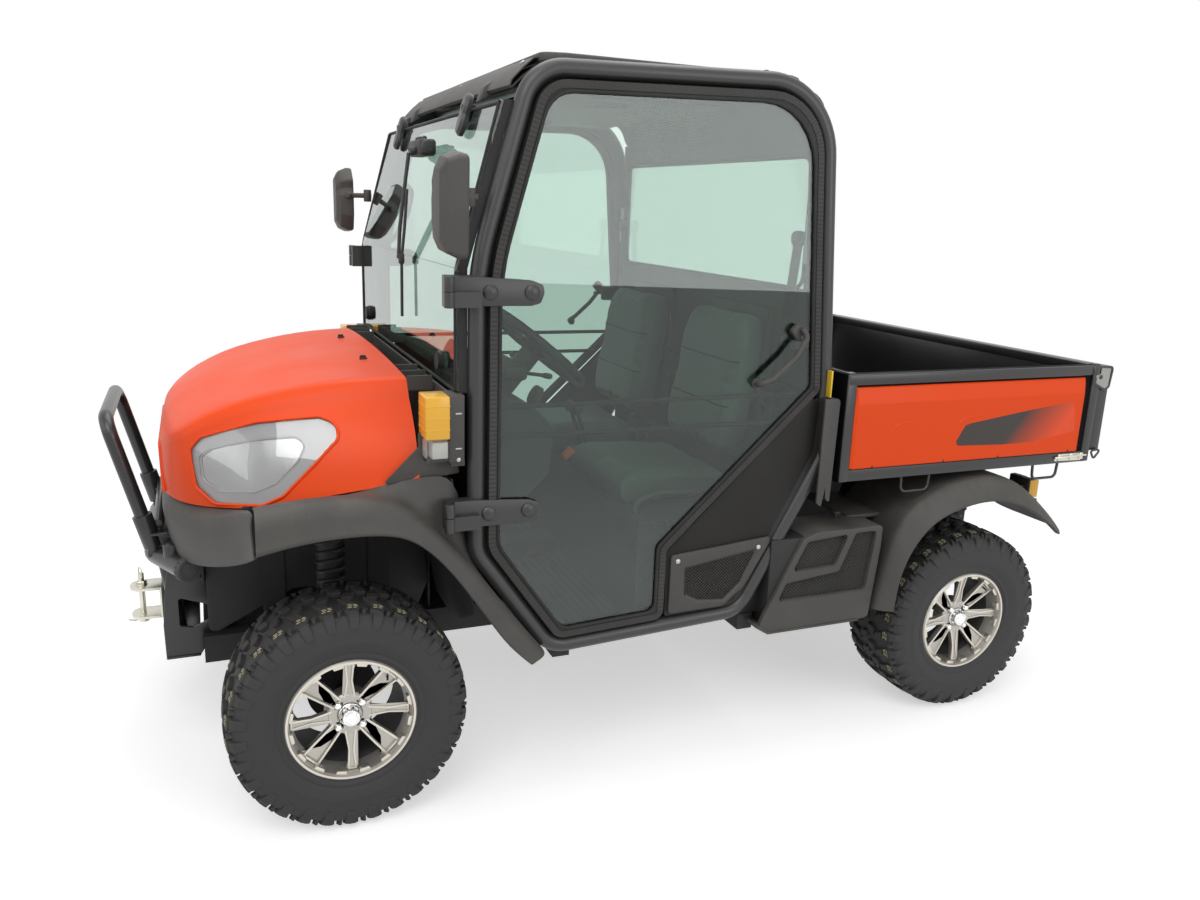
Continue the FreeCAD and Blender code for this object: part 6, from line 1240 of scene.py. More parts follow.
def lamp_patch(guide, points, lift, steps=5, corner=0.028, dense=0.02):
    """A patch that follows the hood's skin inside an outline in side view."""
    line = rounded([Vector(p).to_3d() for p in points], corner, steps) if corner else [
        Vector(p).to_3d() for p in points]
    clear()
    bpy.ops.mesh.primitive_circle_add(vertices=len(line), fill_type='NGON')
    obj = bpy.context.object
    for vertex, p in zip(obj.data.vertices, line):
        vertex.co = (0, p.x, p.y)
    low = Vector((min(p.x for p in line), min(p.y for p in line)))
    high = Vector((max(p.x for p in line), max(p.y for p in line)))
    pick(obj)
    bpy.ops.object.mode_set(mode='EDIT')
    for axis, start, end in ((1, low.x, high.x), (2, low.y, high.y)):
        count = max(2, round((end - start) / dense))
        for i in range(1, count):
            place = [0, 0, 0]
            place[axis] = start + (end - start) * i / count
            way = [0, 0, 0]
            way[axis] = 1
            bpy.ops.mesh.select_all(action='SELECT')
            bpy.ops.mesh.bisect(plane_co=place, plane_no=way)
    bpy.ops.object.mode_set(mode='OBJECT')
    for vertex in obj.data.vertices:
        vertex.co = on_skin(guide, vertex.co.y, vertex.co.z, lift)
    edit(obj, lambda: bpy.ops.mesh.normals_make_consistent(inside=False))
    if obj.data.polygons[0].normal.x < 0:
        edit(obj, lambda: bpy.ops.mesh.flip_normals())
    return obj


class UTV_OT_headlamps(bpy.types.Operator):
    """Headlamps: clear lens, wide bezel, reflector bowl with its projector, trim bar"""
    bl_idname = "utv.headlamps"
    bl_label = "Headlamps"

    def execute(self, context):
        guide = bpy.data.objects["hood_guide"]
        lens = lamp_patch(guide, LAMP_OUTLINE, -0.0005)
        thick(lens, 0.0025)
        finish(lens, "headlamp_lens_left", "hood", "lamp_lens", "headlamps")
        twin = flipped(lens)
        finish(twin, "headlamp_lens_right", "hood", "lamp_lens")
        floor = lamp_patch(guide, LAMP_OUTLINE, -0.006)
        wall = thick(floor, 0.004)
        hole = plate(LAMP_MOUTH, "X", 0.2, 0.9, corner=0.02)
        cut(wall, hole)
        tub = lamp_patch(guide, LAMP_MOUTH, -0.007, corner=0.02)
        pick(tub)
        bpy.ops.object.mode_set(mode='EDIT')
        bpy.ops.mesh.select_all(action='SELECT')
        bpy.ops.mesh.extrude_region_move(TRANSFORM_OT_translate={"value": (-0.055, 0.0, -0.004)})
        bpy.ops.transform.resize(value=(1, 0.86, 0.86))
        bpy.ops.object.mode_set(mode='OBJECT')
        bezel = [wall]
        edge = [on_skin(guide, p.y, p.z, -0.006) for p in rounded(
            [Vector((0, y, z)) for y, z in LAMP_MOUTH], 0.02, 4)]
        bezel.append(tube(edge, 0.003, 0, True, 3, 1))
        centre = on_skin(guide, -1.226, 0.958, -0.048)
        way = Vector((0.62, -0.78, -0.02)).normalized()
        bowl = lathe([(-0.030, 0.0), (-0.028, 0.014), (-0.020, 0.026), (-0.004, 0.037),
                      (0.014, 0.0445), (0.020, 0.0470), (0.0215, 0.0485), (0.018, 0.0490),
                      (-0.006, 0.0400), (-0.026, 0.0270), (-0.034, 0.0)], centre, way, 40)
        ring = lathe([(0.006, 0.0285), (0.014, 0.0300), (0.018, 0.0285), (0.016, 0.0255),
                      (0.004, 0.0255)], centre, way, 40)
        lens_ball = lathe([(-0.004, 0), (-0.004, 0.0265), (0.006, 0.0262), (0.014, 0.0215),
                           (0.0195, 0.0125), (0.0215, 0.0)], centre, way, 40)
        silver = [tub, bowl, ring]
        bar_line = [(-1.150, 1.026), (-1.060, 1.034), (-1.066, 0.998), (-1.100, 0.964),
                    (-1.150, 0.972)]
        bar = plate(bar_line, "X", 0.0, 0.006, corner=0.008, edge=0.0012)
        for vertex in bar.data.vertices:
            skin_at = on_skin(guide, vertex.co.y, vertex.co.z, -0.022)
            vertex.co.x += skin_at.x
        slots = [plate([(-1.140, z), (-1.078, z), (-1.078, z + 0.008), (-1.140, z + 0.008)], "X",
                       0.3, 0.9, corner=0.002) for z in (0.985, 1.000, 1.014)]
        for tool in slots:
            cut(bar, tool)
        red = plate([(-1.146, 0.966), (-1.104, 0.960), (-1.120, 0.940), (-1.150, 0.946)], "X",
                    0, 0.004, corner=0.004)
        for vertex in red.data.vertices:
            vertex.co.x += on_skin(guide, vertex.co.y, vertex.co.z, -0.034).x
        sets = [("bezel", joined(bezel), "lamp_bezel"),
                ("reflector", joined(silver), "lamp_silver"),
                ("projector", lens_ball, "lamp_lens"), ("trim", bar, "lamp_dark"),
                ("marker", red, "lamp_red")]
        for name, piece, dress in sets:
            finish(pair(piece), "headlamp_" + name, "hood", dress, angle=30)
        bpy.data.objects.remove(guide)
        return {'FINISHED'}


def wire_net(points, axis, level, pitch, wire, lean=0.62, corner=0.0):
    """Expanded mesh: crossed strands inside an outline, with diamond openings."""
    line = rounded([Vector(p).to_3d() for p in points], corner, 4) if corner else [
        Vector(p).to_3d() for p in points]
    clear()
    bpy.ops.mesh.primitive_circle_add(vertices=len(line), fill_type='NGON')
    obj = bpy.context.object
    for vertex, p in zip(obj.data.vertices, line):
        vertex.co = (p.x, p.y, 0)
    centre = sum((Vector((p.x, p.y, 0)) for p in line), Vector()) / len(line)
    reach = max((Vector((p.x, p.y, 0)) - centre).length for p in line)
    pick(obj)
    bpy.ops.object.mode_set(mode='EDIT')
    for side in (-1, 1):
        way = Vector((lean * side, 1, 0)).normalized()
        step = pitch * way.y
        count = int(reach / step) + 1
        for i in range(-count, count + 1):
            bpy.ops.mesh.select_all(action='SELECT')
            bpy.ops.mesh.bisect(plane_co=centre + way * (i * step), plane_no=way)
    bpy.ops.object.mode_set(mode='OBJECT')
    modify(obj, 'WIREFRAME', thickness=wire, use_even_offset=False, use_boundary=True)
    for vertex in obj.data.vertices:
        vertex.co = spot(axis, vertex.co.x, vertex.co.y, level + vertex.co.z)
    return outward(obj)


class UTV_OT_hood_grille(bpy.types.Operator):
    """Dark nose grille of expanded mesh in a moulded frame"""
    bl_idname = "utv.hood_grille"
    bl_label = "Nose Grille"

    def execute(self, context):
        outline = [(-0.305, 0.838), (0.305, 0.838), (0.264, 0.978), (-0.264, 0.978)]
        inner = [(-0.284, 0.856), (0.284, 0.856), (0.250, 0.964), (-0.250, 0.964)]
        frame_plate = plate(outline, "Y", -1.376, -1.360, corner=0.018, edge=0.002)
        cut(frame_plate, plate(inner, "Y", -1.5, -1.3, corner=0.012))
        bars = [block((-0.278, -1.372, z - 0.0025), (0.278, -1.362, z + 0.0025), 0.001)
                for z in (0.892, 0.928)]
        finish(joined([frame_plate] + bars), "grille_frame", "hood", "moulded_plastic",
               "hood_grille")
        net = wire_net(inner, "Y", -1.367, 0.0125, 0.0022, 0.55)
        finish(net, "grille_mesh", "hood", "moulded_plastic", angle=0)
        back = block((-0.262, -1.352, 0.842), (0.262, -1.348, 0.975))
        finish(back, "grille_back", "hood", "underbody_black")
        return {'FINISHED'}


# Dark mouldings at the front

APRON_TOP = [(0, -1.380, 0.842), (0.15, -1.380, 0.842), (0.26, -1.378, 0.843),
             (0.32, -1.366, 0.845), (0.37, -1.348, 0.847), (0.43, -1.318, 0.849),
             (0.49, -1.270, 0.853),
             (0.535, -1.232, 0.859), (0.57, -1.202, 0.866), (0.60, -1.184, 0.873)]
APRON_CREASE = [(0, -1.392, 0.822), (0.15, -1.392, 0.822), (0.28, -1.389, 0.820),
                (0.365, -1.372, 0.819), (0.435, -1.343, 0.822), (0.50, -1.311, 0.830),
                (0.575, -1.272, 0.850), (0.645, -1.234, 0.876), (0.705, -1.205, 0.900),
                (0.764, -1.184, 0.916)]
APRON_LOW = [(0, -1.378, 0.664), (0.15, -1.378, 0.664), (0.27, -1.374, 0.665),
             (0.35, -1.352, 0.668),
             (0.43, -1.322, 0.680), (0.51, -1.291, 0.700), (0.60, -1.255, 0.728),
             (0.68, -1.222, 0.758), (0.742, -1.198, 0.785), (0.797, -1.186, 0.812)]
FENDER_OUTER = [(-1.178, 0.916), (-1.12, 0.924), (-1.06, 0.929), (-0.994, 0.931), (-0.92, 0.928),
                (-0.86, 0.915), (-0.815, 0.891), (-0.775, 0.860), (-0.727, 0.810),
                (-0.674, 0.746), (-0.622, 0.682), (-0.566, 0.605), (-0.510, 0.530),
                (-0.448, 0.452)]
FENDER_INNER = [(-1.180, 0.814), (-1.12, 0.828), (-1.06, 0.837), (-0.994, 0.842), (-0.93, 0.843),
                (-0.87, 0.838), (-0.828, 0.826), (-0.795, 0.806), (-0.757, 0.773),
                (-0.712, 0.720), (-0.665, 0.653), (-0.612, 0.573), (-0.560, 0.495),
                (-0.500, 0.438)]
FENDER_SHELF = [(0.600, -1.178, 0.870), (0.622, -1.12, 0.882), (0.640, -1.06, 0.893),
                (0.656, -0.994, 0.905), (0.668, -0.93, 0.917), (0.676, -0.88, 0.930),
                (0.684, -0.835, 0.941), (0.690, -0.79, 0.949), (0.694, -0.735, 0.955),
                (0.696, -0.672, 0.948), (0.672, -0.634, 0.700), (0.672, -0.580, 0.625),
                (0.672, -0.524, 0.548), (0.672, -0.460, 0.468)]


def between(a, b, t):
    return tuple(p + (q - p) * t for p, q in zip(a, b))


class UTV_OT_apron(bpy.types.Operator):
    """Dark front apron that wraps round the nose under the hood"""
    bl_idname = "utv.apron"
    bl_label = "Front Apron"

    def execute(self, context):
        columns = []
        for top, crease, low in zip(APRON_TOP, APRON_CREASE, APRON_LOW):
            out = 0.010 + 0.012 * min(1, crease[0] / 0.6)
            bulge = (crease[0] + 0.4 * out, crease[1] - 0.006, crease[2] - 0.024)
            columns.append([top, between(top, crease, 0.55), between(top, crease, 0.9), crease,
                            bulge, between(bulge, low, 0.33), between(bulge, low, 0.66),
                            between(bulge, low, 0.95), low,
                            (low[0] - 0.010, low[1] + 0.010, low[2] - 0.003),
                            (low[0] - 0.020, low[1] + 0.022, low[2] + 0.010)])
        skin = sheet(columns)
        smoothed(skin, 2)
        thick(skin, 0.004)
        outward(skin)
        skin = mirror(skin)
        finish(skin, "front_apron_skin", "vehicle", "moulded_plastic", "front_apron",
               angle=40)
        lip = []
        for side in (-1, 1):
            lip.append(tube([(side * p[0] * 0.985, p[1] + 0.006, p[2] + 0.001)
                             for p in APRON_TOP], 0.005, 0, False, 4, 1))
        finish(joined(lip), "apron_edge", "vehicle", "seal_rubber")
        return {'FINISHED'}


class UTV_OT_front_fenders(bpy.types.Operator):
    """Front fenders with rolled flares, shelves under the hood and inner liners"""
    bl_idname = "utv.front_fenders"
    bl_label = "Front Fenders"

    def execute(self, context):
        rows = []
        for outer, inner, shelf in zip(FENDER_OUTER, FENDER_INNER, FENDER_SHELF):
            down = (inner[0] - outer[0], inner[1] - outer[1])

            def at(x, t, outer=outer, down=down):
                return (x, outer[0] + down[0] * t, outer[1] + down[1] * t)
            brow = at(0.722, -0.02)
            row = [shelf, between(shelf, brow, 0.5), brow, at(0.750, -0.012), at(0.766, 0.02),
                   at(0.780, 0.13), at(0.789, 0.32), at(0.794, 0.55), at(0.799, 0.78),
                   at(0.803, 0.90), at(0.801, 0.97), at(0.794, 1.0), at(0.782, 0.99),
                   at(0.774, 0.93), at(0.770, 0.80)]
            rows.append(row)
        skin = sheet(rows)
        smoothed(skin, 2)
        thick(skin, 0.0035)
        outward(skin)
        liner = sheet([[(0.26, -0.634, 0.46), (0.50, -0.634, 0.46), (0.70, -0.628, 0.56)],
                       [(0.26, -0.676, 0.70), (0.50, -0.676, 0.70), (0.705, -0.668, 0.73)],
                       [(0.26, -0.690, 0.93), (0.50, -0.690, 0.93), (0.69, -0.690, 0.94)]])
        thick(liner, 0.004)
        under = sheet([[(0.30, y, z - 0.022) for y, z in ((-1.17, 0.855), (-1.0, 0.885),
                                                          (-0.82, 0.90), (-0.69, 0.90))],
                       [(0.66, y, z) for y, z in ((-1.17, 0.855), (-1.0, 0.885),
                                                  (-0.82, 0.90), (-0.69, 0.90))]])
        thick(under, 0.004)
        outward(liner)
        outward(under)
        for piece, name, dress in ((skin, "front_fender", "moulded_plastic"),
                                   (joined([liner, under]), "front_liner", "underbody_black")):
            nodes = ["front_fenders"] if name == "front_fender" else []
            finish(pair(piece), name, "vehicle", dress, *nodes, angle=40)
        return {'FINISHED'}


class UTV_OT_cowl(bpy.types.Operator):
    """Cowl between hood and windshield with air slots, ribs and sloped sides"""
    bl_idname = "utv.cowl"
    bl_label = "Cowl"

    def execute(self, context):
        half = [(0.0, 1.176), (0.15, 1.1755), (0.30, 1.173), (0.42, 1.169), (0.50, 1.163),
                (0.545, 1.155), (0.58, 1.140), (0.625, 1.105), (0.665, 1.060), (0.684, 1.020),
                (0.690, 0.98), (0.690, 0.93)]
        rows = []
        for y, rise, shrink in ((-0.790, -0.014, 0.994), (-0.782, -0.002, 0.998), (-0.776, 0, 1),
                                (-0.745, 0.002, 1), (-0.715, 0.010, 1.0), (-0.700, 0.016, 1.0),
                                (-0.688, 0.018, 1.0)):
            rows.append([(x * shrink, y, z + rise * (1 if x < 0.56 else 0.4)) for x, z in half])
        skin = sheet(rows)
        smoothed(skin, 1)
        thick(skin, 0.004)
        outward(skin)
        skin = mirror(skin)
        tools = []
        for side in (-1, 1):
            for i in range(10):
                x = side * (0.07 + 0.026 * i)
                tools.append(block((x - 0.006, -0.768, 1.14), (x + 0.006, -0.722, 1.22), 0.003, 1))
        for tool in tools:
            cut(skin, tool)
        pieces = [skin]
        for side in (-1, 1):
            for x in (0.36, 0.46, 0.545):
                pieces.append(block((side * x - 0.003, -0.772, 1.150),
                                    (side * x + 0.003, -0.705, 1.190), 0.001, 1))
            side_line = [(-0.868, 0.936), (-0.774, 1.030), (-0.774, 1.070), (-0.690, 1.060),
                         (-0.666, 0.955)]
            x0 = 0.682 if side > 0 else -0.686
            pieces.append(plate(side_line, "X", x0, x0 + 0.004, corner=0.006, edge=0.001))
        back = block((-0.655, -0.697, 0.94), (0.655, -0.690, 1.168))
        pieces.append(back)
        finish(joined(pieces), "cowl_skin", "vehicle", "moulded_plastic", "cowl",
               angle=35)
        return {'FINISHED'}


class UTV_OT_turn_signals(bpy.types.Operator):
    """Signal lamps: amber over clear in a dark housing with two small bolts"""
    bl_idname = "utv.turn_signals"
    bl_label = "Turn Signals"

    def execute(self, context):
        sets = {"amber": [], "clear": [], "base": [], "bolts": [], "core": []}
        for side in (-1, 1):
            x0, x1 = (0.664, 0.748) if side > 0 else (-0.748, -0.664)
            sets["amber"].append(block((x0, -0.768, 1.060), (x1, -0.706, 1.170), 0.004, 3))
            sets["clear"].append(block((x0 + 0.001, -0.767, 1.002), (x1 - 0.001, -0.707, 1.0585),
                                       0.004, 3))
            for z in (1.085, 1.115, 1.145):
                sets["amber"].append(block((x0 - 0.0006, -0.7686, z - 0.0012),
                                           (x1 + 0.0006, -0.7055, z + 0.0012), 0.0005, 1))
            sets["core"].append(block((x0 + 0.01, -0.750, 1.010), (x1 - 0.01, -0.710, 1.052),
                                      0.003))
            outer = 0.742 if side > 0 else -0.742
            sets["base"].append(block((x0 + 0.004, -0.708, 0.998), (x1 - 0.004, -0.668, 1.172),
                                      0.004))
            tab = side * 0.70
            sets["base"].append(block((tab - 0.03, -0.700, 0.985), (tab + 0.03, -0.664, 1.000),
                                      0.002))
            for z in (1.035, 1.125):
                sets["bolts"].append(block((min(outer, outer + side * 0.004), -0.692, z - 0.002),
                                           (max(outer, outer + side * 0.004), -0.676, z + 0.002),
                                           0.0006, 1))
            sets["bolts"].append(dome((outer - side * 0.002, -0.684, 1.006), (side, 0, 0),
                                      0.0065, 0.006))
        finish(joined(sets["amber"]), "signal_amber", "vehicle", "amber_lens",
               "turn_signals")
        finish(joined(sets["clear"]), "signal_clear", "vehicle", "signal_clear")
        finish(joined(sets["core"]), "signal_core", "vehicle", "white_print")
        finish(joined(sets["base"]), "signal_base", "vehicle", "moulded_plastic")
        finish(joined(sets["bolts"]), "signal_bolts", "vehicle", "bare_steel")
        return {'FINISHED'}


# Cab

DOOR = [(-0.4054, 0.4743), (-0.603, 0.7541), (-0.603, 1.4762), (-0.4747, 1.9321),
        (0.3243, 1.9557), (0.3915, 1.141), (-0.081, 0.699), (-0.081, 0.4904)]
DOOR_BENDS = [0.045, 0.090, 0.70, 0.0825, 0.17, 0.03, 0.03, 0.03]
PANE = [(-0.3922, 0.5012), (-0.5767, 0.7624), (-0.5767, 1.4726), (-0.4547, 1.9064),
        (0.3001, 1.9287), (0.3642, 1.1515), (-0.1073, 0.7104), (-0.1073, 0.5155)]


def dress(material, *names):
    """Gives carried pieces their finish."""
    for name in names:
        mesh = NODES[name].data
        mesh.materials.clear()
        mesh.materials.append(finish_of(material))
        for polygon in mesh.polygons:
            polygon.material_index = 0


def band(line, low, high, wide, rib, lift):
    """A ribbed strip round a closed YZ outline, between two X levels."""
    path = rounded(line, DOOR_BENDS, 8)
    dense = []
    for a, b in zip(path, path[1:] + path[:1]):
        count = max(1, round((b - a).length / rib))
        dense += [a.lerp(b, k / count) for k in range(count)]
    rows = []
    size = len(dense)
    for i in range(size + 1):
        here, ahead = dense[i % size], dense[(i + 1) % size]
        back = dense[i - 1]
        way = ahead - back
        side = Vector((-way.y, way.x)).normalized()
        rise = high + (lift if i % 2 and i < size else 0)
        near, far = here, here + side * wide
        rows.append([(low, near.x, near.y), (rise, near.x, near.y), (rise, far.x, far.y),
                     (low, far.x, far.y)])
    return outward(sheet(rows))


class UTV_OT_frames(bpy.types.Operator):
    """Chassis, cab tubes and the other carried metalwork: finishes and small hardware"""
    bl_idname = "utv.frames"
    bl_label = "Frames and Running Gear"

    def execute(self, context):
        dress("underbody_black", "chassis_frame", "floor_tub", "powertrain", "rear_suspension",
              "knuckle_left", "knuckle_right", "front_suspension")
        dress("tube_paint", "cab_frame", "door_hinges")
        dress("cab_plastic", "rear_panel", "steering_column")
        dress("zinc_plate", "lift_rod")
        dress("frame_paint", "lift_cylinder")
        strip = pair(block((0.742, 0.412, 1.124), (0.7645, 0.4175, 1.202), 0.001))
        finish(strip, "pillar_strip", "vehicle", "yellow_strip")
        lip = pair(plate([(0.397, 1.120), (0.437, 1.119), (0.440, 0.954), (0.414, 0.792),
                          (0.397, 0.805)], "X", 0.7600, 0.7685, 0.004, 0.002))
        finish(lip, "pillar_plate_edge", "vehicle", "moulded_plastic")
        path = rounded(HOOP, HOOP_BENDS, 8)
        rows = []
        for i, here in enumerate(path + path[:1]):
            here = path[i % len(path)]
            way = path[(i + 1) % len(path)] - path[i - 1]
            side = Vector((-way.y, way.x)).normalized()
            inner = here + side * (-0.048)
            rows.append([(0.692, here.x, here.y), (0.692, inner.x, inner.y),
                         (0.698, inner.x, inner.y), (0.698, here.x, here.y)])
        stop = pair(outward(sheet(rows)))
        finish(stop, "door_stops", "vehicle", "seal_rubber")
        coils = []
        for side in (-1, 1):
            for top, foot in (((0.352, -0.9625, 0.744), (0.388, -0.9625, 0.530)),
                              ((0.400, 1.280, 0.608), (0.400, 1.158, 0.408))):
                top, foot = Vector(top), Vector(foot)
                way = foot - top
                across = way.cross((0, 1, 0) if abs(way.y) < 0.01 else (1, 0, 0)).normalized()
                other = way.normalized().cross(across)
                turns, parts = 8, 20
                line = []
                for k in range(turns * parts + 1):
                    t = k / parts * math.tau
                    p = top + way * (k / (turns * parts)) + (across * math.cos(t)
                                                            + other * math.sin(t)) * 0.0375
                    line.append((p.x * side, p.y, p.z))
                coils.append(tube(line, 0.0052, sides=2))
        finish(joined(coils), "springs", "vehicle", "cast_metal")
        return {'FINISHED'}


class UTV_OT_doors(bpy.types.Operator):
    """Glass doors with rubber strips, hinge straps, domed bolts and pull handles"""
    bl_idname = "utv.doors"
    bl_label = "Doors"

    def strap(self, z):
        height = 0.036
        outline = [(-0.697, z - height), (-0.705, z + 0.036), (-0.640, z + height),
                   (-0.497, z + 0.027), (-0.468, z + 0.016), (-0.464, z - 0.004),
                   (-0.474, z - 0.030), (-0.500, z - height)]
        body = plate(outline, "X", 0.7405, 0.7478, [0.004, 0.004, 0.03, 0.012, 0.012, 0.012,
                                                    0.014, 0.006], 0.0014, steps=4)
        bolts = []
        for y in (-0.605, -0.497):
            bolts.append(lathe([(0, 0), (0, 0.019), (0.003, 0.0192), (0.0062, 0.0165),
                                (0.0088, 0.0095), (0.0095, 0)], (0.7476, y, z - 0.002)))
            bolts.append(rod((0.7570, y, z - 0.002), (0.7578, y, z - 0.002), 0.003, 0.0004, 8))
        knuckle = rod((0.764, -0.712, z + 0.001), (0.764, -0.712, z + 0.0375), 0.013, 0.0015)
        ear = plate([(-0.712, z + 0.0015), (-0.697, z + 0.0015), (-0.697, z + 0.037),
                     (-0.712, z + 0.037)], "X", 0.7405, 0.7620, edge=0.001)
        return joined([body, knuckle, ear] + bolts)

    def handle(self):
        line = [(0.741, 0.176, 1.170), (0.770, 0.172, 1.172), (0.783, 0.205, 1.186),
                (0.784, 0.275, 1.248), (0.775, 0.312, 1.300), (0.770, 0.303, 1.322),
                (0.741, 0.302, 1.322)]
        bar = tube(line, 0.0085, bend=0.022, sides=5, steps=6)
        for vertex in bar.data.vertices:
            vertex.co.x = 0.741 + (vertex.co.x - 0.741) * 0.94
        head = plate([(0.268, 1.318), (0.290, 1.340), (0.303, 1.333), (0.322, 1.304),
                      (0.314, 1.284), (0.292, 1.292)], "X", 0.7395, 0.7560, 0.008, 0.003)
        foot = rod((0.7355, 0.176, 1.171), (0.744, 0.176, 1.171), 0.014, 0.002)
        button = rod((0.755, 0.309, 1.302), (0.761, 0.309, 1.302), 0.007, 0.0015)
        return joined([bar, head, foot]), button

    def execute(self, context):
        dress("seal_rubber", "door_left", "door_right")
        dress("cab_glass", "door_left_glass", "door_right_glass")
        for side in ("left", "right"):
            body = "door_" + side
            straps = joined([self.strap(1.428), self.strap(0.860)])
            handle, button = self.handle()
            trim = tube([(0.7395, y, z) for y, z in rounded(PANE, DOOR_BENDS, 6)], 0.0048,
                        closed=True, sides=2)
            ribs = band(DOOR, 0.7385, 0.7412, -0.019, 0.0058, 0.0014)
            latch = block((0.700, 0.300, 1.262), (0.728, 0.356, 1.318), 0.004)
            arm = rod((0.712, 0.262, 1.292), (0.712, 0.310, 1.292), 0.006, 0.001)
            inside = joined([latch, arm])
            pieces = [(straps, "straps", "tube_paint"), (handle, "handle", "moulded_plastic"),
                      (button, "lock", "zinc_plate"), (trim, "glass_trim", "seal_rubber"),
                      (ribs, "rubber", "door_rubber"), (inside, "latch", "dash_plastic")]
            for piece, label, material in pieces:
                if side == "right":
                    reflected(piece)
                nodes = ("door_%s_fittings" % side,) if label == "straps" else ()
                finish(piece, "%s_%s" % (body, label), body, material, *nodes,
                       angle=0 if label == "rubber" else 35)
        return {'FINISHED'}


class UTV_OT_windows(bpy.types.Operator):
    """Windshield and rear window with seals and clamps, wiper and its motor"""
    bl_idname = "utv.windows"
    bl_label = "Windows and Wiper"

    def oval(self, x, y, z, wide, tall, thick_, way):
        disc = lathe([(0, 0), (0, 1.0), (thick_ * 0.4, 1.04), (thick_ * 0.8, 0.93),
                      (thick_, 0.7), (thick_ * 1.06, 0)], steps=28)
        for vertex in disc.data.vertices:
            vertex.co.y *= wide
            vertex.co.z *= tall
        turn = Vector((1, 0, 0)).rotation_difference(Vector(way)).to_matrix().to_4x4()
        disc.data.transform(Matrix.Translation((x, y, z)) @ turn)
        return disc

    def execute(self, context):
        dress("cab_glass", "windshield", "rear_window")
        dress("seal_rubber", "windshield_frame")
        lean = Vector((0, -0.963, 0.269))
        pads = []
        for side in (-1, 1):
            x = side * 0.565
            pads.append(self.oval(x, -0.6835, 1.232, 0.020, 0.026, 0.012, (0, -1, 0)))
            x = side * 0.435
            knob = lathe([(0, 0), (0, 0.024), (0.012, 0.025), (0.020, 0.020), (0.022, 0)],
                         (0, 0, 0), (0, 0, 1), 24)
            for vertex in knob.data.vertices:
                vertex.co.y *= 1.55
            turn = Vector((0, 0, 1)).rotation_difference(lean).to_matrix().to_4x4()
            knob.data.transform(Matrix.Translation((x, -0.586, 1.842)) @ turn)
            lower = copied(knob, Matrix.Translation((0, 0.010, 0.036)))
            neck = block((x - 0.008, -0.600, 1.842), (x + 0.008, -0.560, 1.888), 0.003)
            pads += [knob, lower, neck]
        finish(joined(pads), "window_clamps", "vehicle", "tube_paint")
        hole = rounded([(-0.64, 1.425), (0.64, 1.425), (0.64, 1.800), (-0.64, 1.800)], 0.045, 6)
        seal = tube([(x, 0.3700, z) for x, z in hole], 0.007, closed=True, sides=3)
        finish(seal, "rear_window_seal", "vehicle", "seal_rubber")
        rim = []
        for x in (-0.706, 0.706):
            rim.append(tube([(x, -0.6828, 1.178), (x, -0.6832, 1.470), (x, -0.5760, 1.872)],
                            0.0045, bend=0.25, sides=2))
        for y, z in ((-0.6822, 1.176), (-0.5745, 1.874)):
            rim.append(tube([(-0.706, y, z), (0.706, y, z)], 0.0045, sides=2))
        finish(joined(rim), "windshield_edge", "vehicle", "seal_rubber")
        pieces = [block((0.020, -0.655, 1.765), (0.185, -0.606, 1.812), 0.010, 3),
                  rod((0.010, -0.634, 1.790), (0.024, -0.634, 1.790), 0.021, 0.003),
                  rod((0.185, -0.634, 1.790), (0.205, -0.634, 1.790), 0.018, 0.004),
                  rod((0.130, -0.655, 1.780), (0.130, -0.672, 1.776), 0.012, 0.002)]
        for x in (0.050, 0.080, 0.110, 0.150):
            pieces.append(rod((x, -0.6345, 1.812), (x, -0.6315, 1.820), 0.006, 0.001, 10))
        arm = [Vector((0.130, -0.676, 1.772)), Vector((0.136, -0.706, 1.560)),
               Vector((0.140, -0.712, 1.470))]
        pieces.append(tube(arm, 0.0055, bend=0.1, sides=3))
        blade = [Vector((0.148, -0.686, 1.670)), Vector((0.146, -0.694, 1.560)),
                 Vector((0.144, -0.7035, 1.470)), Vector((0.142, -0.704, 1.300))]
        pieces.append(tube(blade, 0.0045, bend=0.15, sides=2))
        pieces.append(block((0.134, -0.712, 1.455), (0.152, -0.696, 1.485), 0.003))
        finish(joined(pieces), "wiper_and_motor", "vehicle", "dash_plastic", "wiper")
        return {'FINISHED'}


